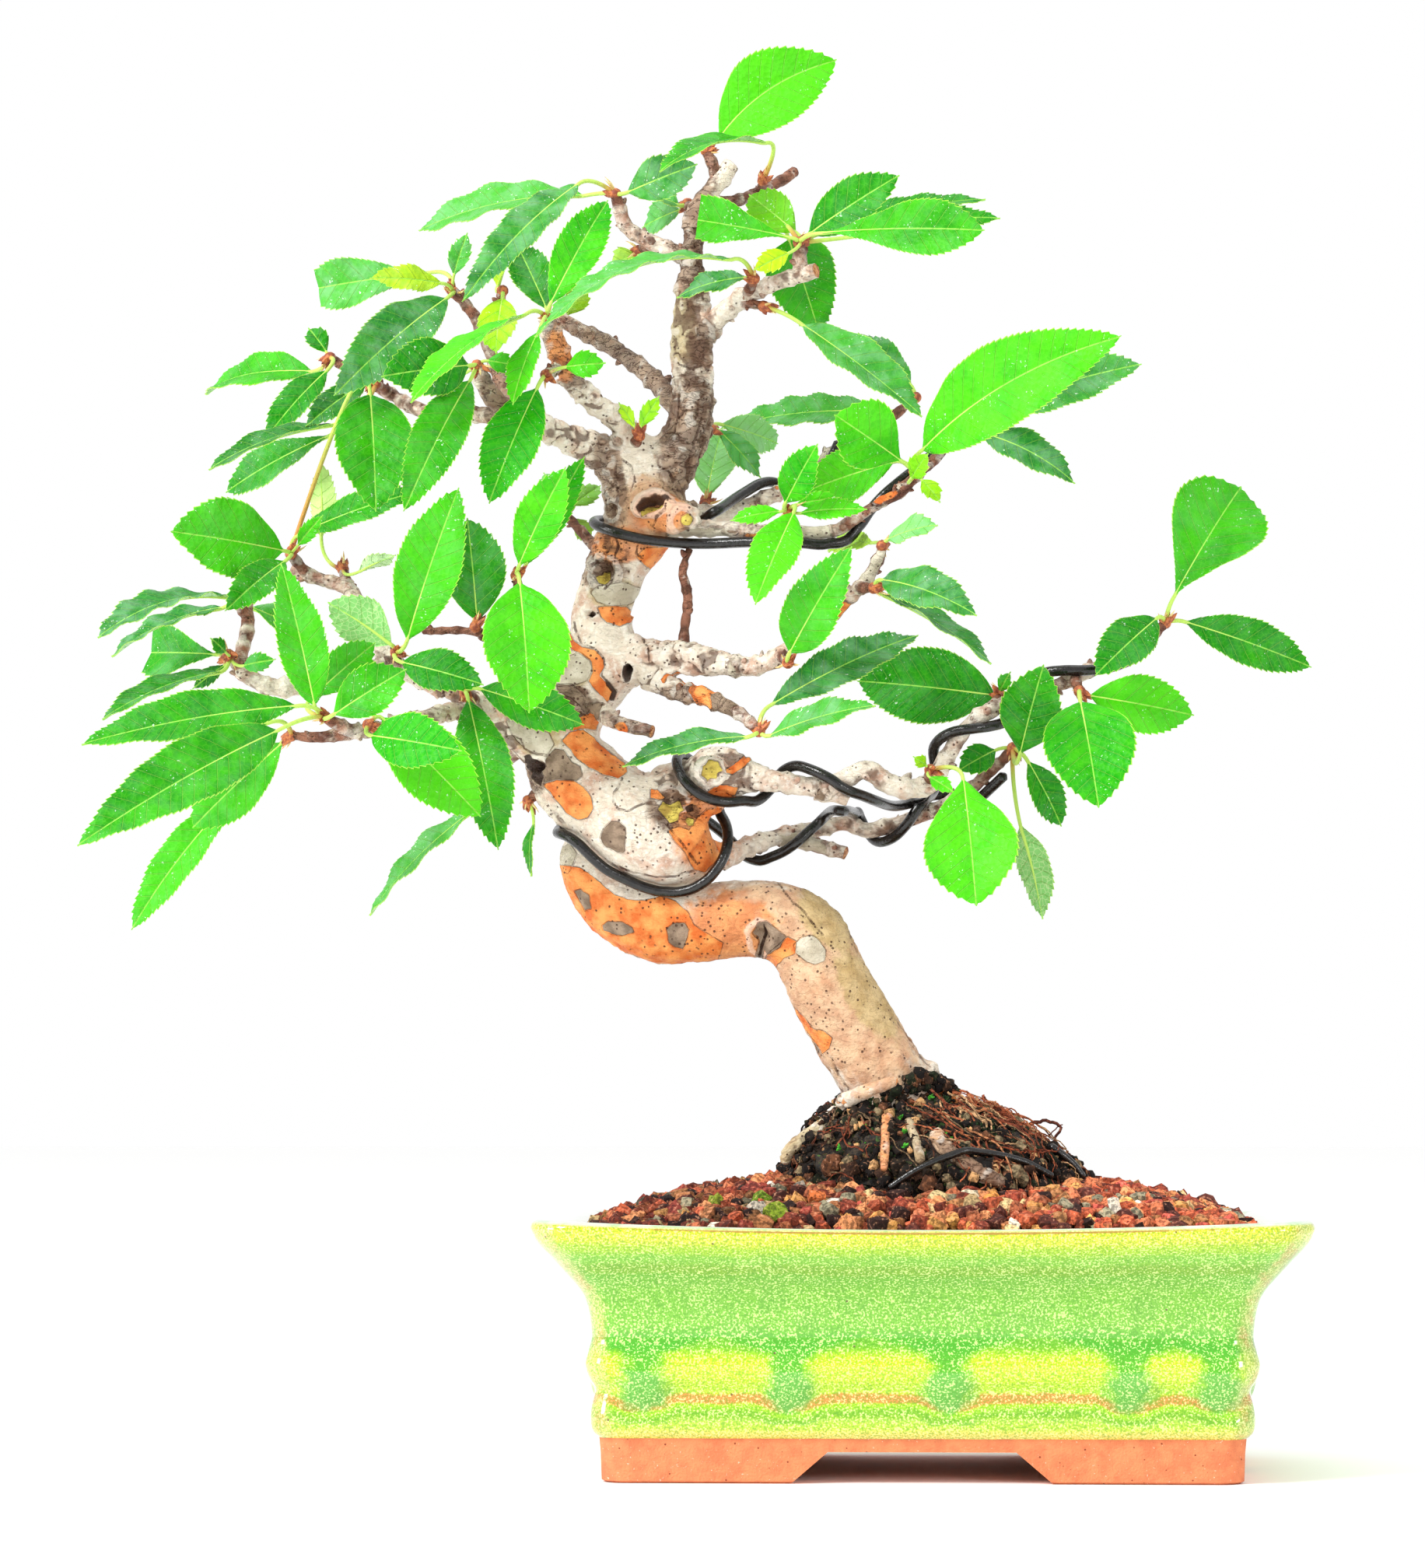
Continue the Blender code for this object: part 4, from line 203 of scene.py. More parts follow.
# The wood: every limb as (across, down, behind, radius)
LIMBS = {
    "trunk_lower": Limb(((1146, 1440, 0, 62), (1142, 1398, 0, 58), (1104, 1334, -1, 56),
        (1065, 1264, -2, 54), (1040, 1212, -2, 53), (1004, 1186, -2, 51), (958, 1181, -1, 49),
        (900, 1187, 0, 51), (850, 1184, 1, 54), (808, 1164, 3, 55), (776, 1128, 5, 52),
        (768, 1092, 6, 46), (778, 1070, 6, 34)), sides=9, spacing=8.6),
    "trunk_upper": Limb(((902, 1104, -4, 34), (884, 1096, -4, 52), (862, 1080, -5, 62),
        (818, 1058, -5, 66), (782, 1034, -4, 60), (744, 1002, -3, 60), (722, 955, -2, 50),
        (738, 905, -1, 46), (768, 855, -1, 53), (774, 820, -1, 44), (773, 789, -1, 37), (786, 748, 0, 38),
        (797, 718, 0, 41), (820, 684, 0, 45), (829, 651, 1, 53), (826, 613, 1, 50), (842, 585, 0, 34)),
        sides=8, spacing=8.2),
    "leader": Limb(((840, 625, 1, 34), (866, 588, 0, 34), (882, 558, 0, 30), (890, 520, 0, 29),
        (891, 470, -1, 28), (890, 425, -1, 27), (890, 380, -2, 22), (890, 330, -2, 17),
        (893, 280, -2, 14), (915, 245, -1, 12), (941, 212, 0, 11)), sides=6, spacing=10.5),
    "crown_spur": Limb(((912, 246, -1, 8), (921, 226, -1, 7), (908, 193, 0, 6)), bud=True, sides=4),
    "crown_right": Limb(((902, 262, -2, 9), (928, 260, 0, 8), (952, 256, 3, 7), (976, 246, 7, 7),
        (998, 236, 11, 7), (1022, 221, 15, 7))),
    "crown_right_spur": Limb(((975, 248, 7, 5), (981, 232, 1, 4)), bud=True, sides=4),
    "leader_back_spur": Limb(((893, 285, -1, 8), (884, 262, 6, 5)), bud=True, sides=4),
    "fork_left": Limb(((890, 332, -2, 13), (873, 326, 0, 10), (834, 310, 2, 10), (806, 292, 3, 9),
        (797, 268, 3, 8), (791, 249, 2, 7)), bud=True),
    "fork_left_spur": Limb(((838, 312, 2, 7), (822, 322, 7, 5)), bud=True, sides=4),
    "fork_right": Limb(((905, 424, -1, 16), (926, 407, -4, 13), (955, 383, -9, 12), (999, 363, -15, 10),
        (1049, 348, -19, 10))),
    "fork_right_spur": Limb(((1030, 352, -17, 9), (1027, 312, -20, 7)), bud=True, sides=4),
    "fork_middle_spur": Limb(((962, 381, -10, 7), (969, 358, -18, 5)), bud=True, sides=4),
    "fork_under_spur": Limb(((950, 388, -9, 7), (982, 394, -13, 5)), bud=True, sides=4),
    "brown": Limb(((880, 528, 0, 18), (862, 512, 1, 14), (838, 486, 4, 12), (804, 458, 7, 11),
        (771, 437, 10, 11), (738, 421, 12, 10), (714, 407, 14, 9)), bud=True),
    "middle": Limb(((838, 606, 0, 28), (812, 566, -2, 20), (798, 545, -4, 16), (770, 520, -8, 14),
        (742, 498, -12, 14), (722, 460, -16, 13), (710, 430, -19, 13), (702, 408, -21, 11)), bud=True),
    "middle_spur": Limb(((724, 468, -15, 9), (702, 482, -24, 6)), bud=True, sides=4),
    "inner_spur": Limb(((812, 580, -1, 9), (822, 560, -7, 5)), bud=True, sides=4),
    "left": Limb(((816, 612, 0, 30), (776, 586, -3, 25), (748, 572, -6, 21), (705, 553, -12, 16),
        (662, 534, -18, 14), (634, 512, -22, 12), (620, 490, -25, 11), (613, 470, -27, 9)), bud=True,
        sides=5),
    "left_high": Limb(((662, 534, -17, 10), (640, 480, -10, 9), (622, 430, -8, 8), (602, 396, -8, 7),
        (583, 376, -8, 7)), bud=True),
    "left_inner": Limb(((624, 434, -8, 7), (640, 400, -11, 6), (646, 374, -12, 5)), bud=True, sides=4),
    "left_low": Limb(((668, 536, -16, 12), (600, 532, -8, 10), (543, 528, -2, 9), (500, 505, 4, 8),
        (455, 478, 9, 7), (424, 460, 12, 6)), bud=True),
    "left_low_spur": Limb(((502, 506, 4, 7), (482, 494, -4, 5)), bud=True, sides=4),
    "low_left": Limb(((735, 975, -2, 44), (690, 945, -5, 38), (655, 930, -9, 28), (620, 908, -12, 18),
        (565, 882, -15, 14), (505, 858, -17, 13), (445, 868, -19, 12), (395, 880, -21, 12),
        (353, 884, -23, 11), (322, 872, -24, 10), (308, 856, -23, 9), (313, 833, -21, 8),
        (318, 806, -19, 8), (318, 771, -16, 8))),
    "low_left_spur": Limb(((318, 792, -18, 6), (301, 770, -23, 5)), bud=True, sides=4),
    "low_left_end": Limb(((310, 858, -23, 7), (294, 842, -29, 5)), bud=True, sides=4),
    "low_left_back": Limb(((316, 862, -23, 9), (306, 854, -19, 7), (292, 846, -12, 5)), bud=True,
        sides=4),
    "low_upper": Limb(((510, 860, -17, 10), (495, 836, -15, 10), (472, 816, -13, 10), (462, 780, -10, 10),
        (445, 756, -8, 9), (410, 744, -6, 9), (376, 735, -4, 9))),
    "low_upper_spur": Limb(((396, 740, -5, 7), (374, 712, -9, 5)), bud=True, sides=4),
    "low_upper_bud": Limb(((450, 762, -9, 7), (441, 732, -6, 5)), bud=True, sides=4),
    "low_middle_spur": Limb(((508, 858, -18, 9), (509, 838, -25, 6)), bud=True, sides=4),
    "low_front": Limb(((628, 912, -11, 15), (575, 916, -20, 11), (520, 930, -30, 10), (470, 940, -38, 9),
        (440, 934, -43, 8), (418, 922, -47, 7)), bud=True),
    "low_front_spur": Limb(((486, 938, -36, 7), (474, 932, -45, 5)), bud=True, sides=4),
    "low_front_stub": Limb(((462, 940, -39, 8), (414, 948, -37, 7), (374, 946, -35, 6)), bud=True),
    "inner_twig": Limb(((648, 918, -12, 12), (664, 860, -20, 8), (672, 800, -26, 7), (668, 765, -29, 6),
        (664, 740, -31, 6)), bud=True),
    "inner_stub": Limb(((668, 850, -21, 7), (640, 828, -16, 6), (608, 812, -12, 5), (545, 811, -8, 5))),
    "inner_stub_spur": Limb(((622, 818, -13, 5), (611, 806, -18, 4)), bud=True, sides=4),
    "low_root_spur": Limb(((612, 904, -13, 9), (598, 890, -21, 6)), bud=True, sides=4),
    "low_back": Limb(((676, 955, -4, 9), (646, 985, 0, 7), (634, 1012, 2, 6)), bud=True),
    "trunk_bud": Limb(((700, 1014, -3, 8), (679, 1030, -3, 5)), bud=True, sides=4),
    "pale_twig": Limb(((792, 722, 4, 10), (755, 692, 10, 7), (726, 660, 14, 6)), bud=True),
    "stub_low": Limb(((750, 886, -3, 13), (775, 915, -10, 12), (794, 929, -16, 9), (838, 940, -19, 8))),
    "mid_right": Limb(((800, 852, -4, 30), (850, 848, -9, 24), (885, 846, -12, 20), (938, 855, -15, 14),
        (976, 855, -17, 12), (1011, 837, -19, 11), (1053, 806, -22, 9), (1084, 775, -24, 9),
        (1112, 748, -26, 9), (1128, 722, -28, 7), (1134, 702, -29, 6)), bud=True),
    "mid_right_spur": Limb(((1104, 756, -26, 7), (1124, 756, -33, 5)), bud=True, sides=4),
    "mid_right_bud": Limb(((1005, 842, -19, 8), (1013, 852, -27, 5)), bud=True, sides=4),
    "mid_low": Limb(((838, 866, -8, 18), (870, 888, -13, 13), (903, 895, -17, 11), (937, 910, -21, 9),
        (962, 926, -24, 8), (976, 940, -26, 7)), bud=True),
    "dead_twig": Limb(((878, 850, -11, 10), (880, 812, -9, 6), (884, 770, -8, 6), (878, 735, -7, 5),
        (886, 706, -6, 5))),
    "knob": Limb(((868, 1030, -6, 40), (900, 1012, -9, 38), (930, 994, -12, 38), (950, 984, -14, 24)),
        sides=7, spacing=6.0),
    "scar": Limb(((920, 994, -14, 20), (912, 986, -21, 15)), sides=6),
    "right": Limb(((930, 996, -11, 26), (984, 1003, -13, 15), (1020, 1008, -13, 13),
        (1059, 1012, -13, 12), (1090, 1000, -14, 12), (1114, 990, -14, 12), (1140, 1006, -12, 13),
        (1174, 1014, -11, 13), (1200, 1003, -10, 12), (1219, 970, -10, 11), (1246, 932, -11, 10),
        (1278, 911, -11, 10), (1320, 895, -10, 9), (1364, 879, -9, 9), (1396, 864, -8, 9),
        (1449, 846, -5, 8), (1478, 820, -3, 7), (1498, 801, -2, 6)), bud=True),
    "right_stub": Limb(((1050, 1014, -13, 11), (1090, 1025, -12, 11))),
    "right_spur_low": Limb(((1196, 1004, -10, 8), (1196, 990, -19, 5)), bud=True, sides=4),
    "right_spur_high": Limb(((1272, 914, -11, 7), (1286, 894, -3, 5)), bud=True, sides=4),
    "right_spur_end": Limb(((1382, 872, -9, 7), (1388, 889, -15, 5)), bud=True, sides=4),
    "right_back": Limb(((890, 1096, 0, 26), (933, 1100, 4, 15), (968, 1086, 8, 12), (1008, 1074, 12, 11),
        (1052, 1066, 15, 10), (1087, 1058, 17, 10), (1114, 1068, 17, 10), (1138, 1063, 17, 10),
        (1170, 1054, 16, 9), (1215, 1035, 14, 8), (1256, 1007, 10, 8), (1292, 974, 5, 7),
        (1302, 962, 3, 6)), bud=True),
    "right_back_stub": Limb(((1005, 1076, 12, 10), (1045, 1086, 11, 9), (1087, 1097, 9, 9))),
    "top_knob": Limb(((838, 652, -3, 30), (866, 662, -8, 22), (884, 668, -12, 15)), sides=6, spacing=6.0),
    "top_right_back": Limb(((862, 655, 2, 18), (900, 660, 5, 12), (938, 658, 8, 11), (976, 644, 10, 10),
        (1030, 620, 12, 9), (1064, 587, 14, 8), (1110, 560, 16, 7), (1152, 532, 19, 6),
        (1177, 511, 21, 5)), bud=True),
    "top_back_spur": Limb(((908, 660, 7, 7), (906, 648, 14, 5)), bud=True, sides=4),
    "leader_low_spur": Limb(((898, 566, 3, 9), (914, 552, 10, 5)), bud=True, sides=4),
    "top_right": Limb(((866, 672, -4, 16), (900, 679, -6, 11), (938, 680, -8, 10), (976, 684, -10, 9),
        (1020, 685, -12, 9), (1072, 683, -13, 9), (1099, 667, -14, 8), (1130, 648, -15, 7),
        (1162, 630, -16, 6), (1177, 610, -17, 6)), bud=True),
    "top_right_spur": Limb(((1018, 685, -12, 7), (1013, 656, -20, 5)), bud=True, sides=4),
    "top_right_long": Limb(((1154, 634, -15, 7), (1198, 594, -11, 6), (1225, 566, -8, 6),
        (1243, 548, -5, 5)), bud=True),
}

# Surface roots on the root ball
ROOTS = {
    "root_right": Limb(((1200, 1462, -19, 11), (1230, 1488, -23, 10), (1262, 1508, -25, 10),
        (1288, 1521, -25, 8))),
    "root_front": Limb(((1140, 1436, -16.5, 7), (1138, 1470, -22, 6), (1136, 1504, -25.2, 5)), sides=4),
    "root_pale": Limb(((1168, 1440, -17.5, 6), (1178, 1468, -22, 6), (1183, 1492, -24.6, 6)), sides=4),
    "root_shoulder": Limb(((1092, 1424, -2, 13), (1056, 1450, -6, 11), (1020, 1474, -8, 9),
        (1008, 1492, -8, 7))),
    "root_cut": Limb(((1082, 1418, -9, 9), (1112, 1404, -14, 9), (1150, 1390, -14.5, 7))),
    "root_flare": Limb(((1186, 1380, 0, 16), (1216, 1412, 1, 15), (1242, 1440, 2, 12), (1288, 1458, 3, 8),
        (1326, 1470, 4, 6))),
    "root_back_left": Limb(((1112, 1410, 8, 12), (1082, 1450, 14, 10), (1060, 1498, 19, 7))),
    "root_back_right": Limb(((1186, 1404, 8, 12), (1230, 1450, 15, 10), (1272, 1496, 20, 7))),
}

ROOT_TINGES = {
    "root_front": {"warm": 1.0, "brown": 0.35}, "root_cut": {"warm": 0.8, "tan": 1.0},
    "root_pale": {"olive": 1.0, "brown": 0.3}, "root_right": {"brown": 0.75},
    "root_shoulder": {"olive": 0.55}, "root_flare": {"warm": 0.5, "tan": 0.8},
}
# Fine roots that loop clear of the ball: places on the board with their depth, and a radius
ROOT_LOOPS = (
    (((1250, 1440, 2), (1251, 1434, 1), (1256, 1426, 0), (1259, 1419, 0), (1264, 1418, -1),
    (1268, 1424, -1), (1268, 1433, 0)), 0.26), (((1306, 1458, 3), (1318, 1449, 3), (1330, 1443, 2),
    (1345, 1441, 2), (1358, 1445, 2), (1364, 1452, 2), (1357, 1462, 2), (1354, 1476, 3)), 0.4),
    (((1276, 1452, 0), (1281, 1442, 0), (1290, 1437, -1), (1297, 1432, -1)), 0.5), (((1294, 1438, -1),
    (1304, 1445, 0), (1318, 1450, 1), (1334, 1458, 2), (1348, 1460, 2), (1362, 1447, 2), (1366, 1446, 2)),
    0.2), (((1240, 1446, -4), (1246, 1438, -5), (1258, 1440, -6), (1270, 1446, -6), (1282, 1444, -5)),
    0.35), (((1262, 1462, -8), (1272, 1450, -9), (1288, 1452, -9), (1300, 1462, -8), (1308, 1474, -8)),
    0.3),
)
SEEDLINGS = (
    (1068, 1452), (1115, 1450), (1158, 1438), (1162, 1456), (1114, 1470), (1211, 1461), (1221, 1467),
    (1164, 1475), (1098, 1440), (1080, 1476), (1128, 1466), (1196, 1412),
)
PALE_STONES = (
    (1071, 1553, "fff6e8"), (1202, 1530, "f8dca0"), (1246, 1540, "fff0cc"), (1279, 1538, "f0a050"),
    (1297, 1562, "f0b850"), (1050, 1540, "d9743c"), (995, 1562, "7c9420"), (963, 1515, "6f8f1e"),
    (921, 1546, "8a9a2c"), (1003, 1566, "6a8a20"),
)

# Wires: the places that they pass on the board, in front of the wood or behind it
LOWER_WIRE = (
    (1290, 998, "front"), (1268, 1014, "front"), (1252, 1034, "front"), (1238, 1038, "back"),
    (1222, 1018, "back"), (1204, 1026, "back"), (1190, 1036, "front"), (1180, 1050, "front"),
    (1168, 1064, "front"), (1148, 1076, "front"), (1126, 1080, "back"), (1108, 1070, "back"),
    (1098, 1048, "back"), (1082, 1040, "front"), (1062, 1046, "front"), (1047, 1070, "front"),
    (1027, 1090, "front"), (1004, 1101, "front"), (980, 1102, "front"), (960, 1098, "back"),
    (946, 1082, "back"), (915, 1060, "back"), (870, 1030, "back"), (820, 1010, "back"),
    (772, 1020, "back"), (738, 1042, "back"), (727, 1060, "front"), (742, 1080, "front"),
    (768, 1106, "front"), (798, 1131, "front"), (838, 1148, "front"), (865, 1151, "front"),
    (897, 1141, "front"), (921, 1117, "front"), (933, 1086, "front"), (934, 1056, "front"),
    (926, 1036, "back"), (908, 1012, "back"), (892, 996, "back"), (880, 998, "front"),
    (876, 1012, "front"), (893, 1026, "front"), (917, 1034, "front"), (944, 1030, "front"),
    (966, 1018, "front"), (982, 1000, "back"), (998, 984, "back"), (1012, 982, "front"),
    (1035, 987, "front"), (1067, 1003, "front"), (1099, 1018, "front"), (1130, 1032, "front"),
    (1158, 1038, "front"), (1184, 1034, "back"), (1204, 1014, "back"), (1206, 984, "back"),
    (1200, 962, "front"), (1206, 948, "front"), (1224, 940, "front"), (1260, 934, "front"),
    (1284, 926, "front"), (1304, 908, "back"), (1326, 884, "back"), (1350, 868, "front"),
    (1372, 864, "front"), (1396, 866, "front"), (1422, 868, "front"), (1450, 858, "front"),
    (1466, 842, "front"),
)
UPPER_WIRE = (
    (1212, 572, "back"), (1193, 591, "back"), (1174, 611, "back"), (1158, 619, "back"),
    (1140, 627, "back"), (1122, 639, "back"), (1112, 651, "back"), (1109, 668, "back"),
    (1103, 684, "back"), (1090, 691, "front"), (1068, 697, "front"), (1034, 698, "front"),
    (1000, 694, "front"), (960, 692, "front"), (931, 700, "front"), (912, 702, "front"),
    (883, 701, "front"), (853, 697, "front"), (824, 694, "front"), (795, 691, "front"),
    (772, 684, "front"), (766, 674, "back"), (790, 660, "back"), (830, 662, "back"), (870, 678, "back"),
    (892, 686, "back"), (905, 676, -1.5), (911, 664, -4.5), (920, 664, "front"), (938, 644, "front"),
    (957, 630, "front"), (980, 620, "front"), (996, 612, "front"), (1010, 620, "back"),
    (1022, 636, "back"), (1036, 638, "front"), (1053, 614, "front"), (1066, 592, "front"),
    (1078, 570, "front"),
)
ANCHOR_LONG = (
    (1144, 1527, "front"), (1158, 1515, "front"), (1180, 1500, "front"), (1208, 1488, "front"),
    (1242, 1481, "front"), (1277, 1482, "front"), (1311, 1490, "front"), (1336, 1501, "front"),
    (1352, 1512, "front"),
)
ANCHOR_SHORT = (
    (1352, 1474, "front"), (1370, 1487, "front"), (1385, 1501, "front"), (1392, 1513, "front"),
)

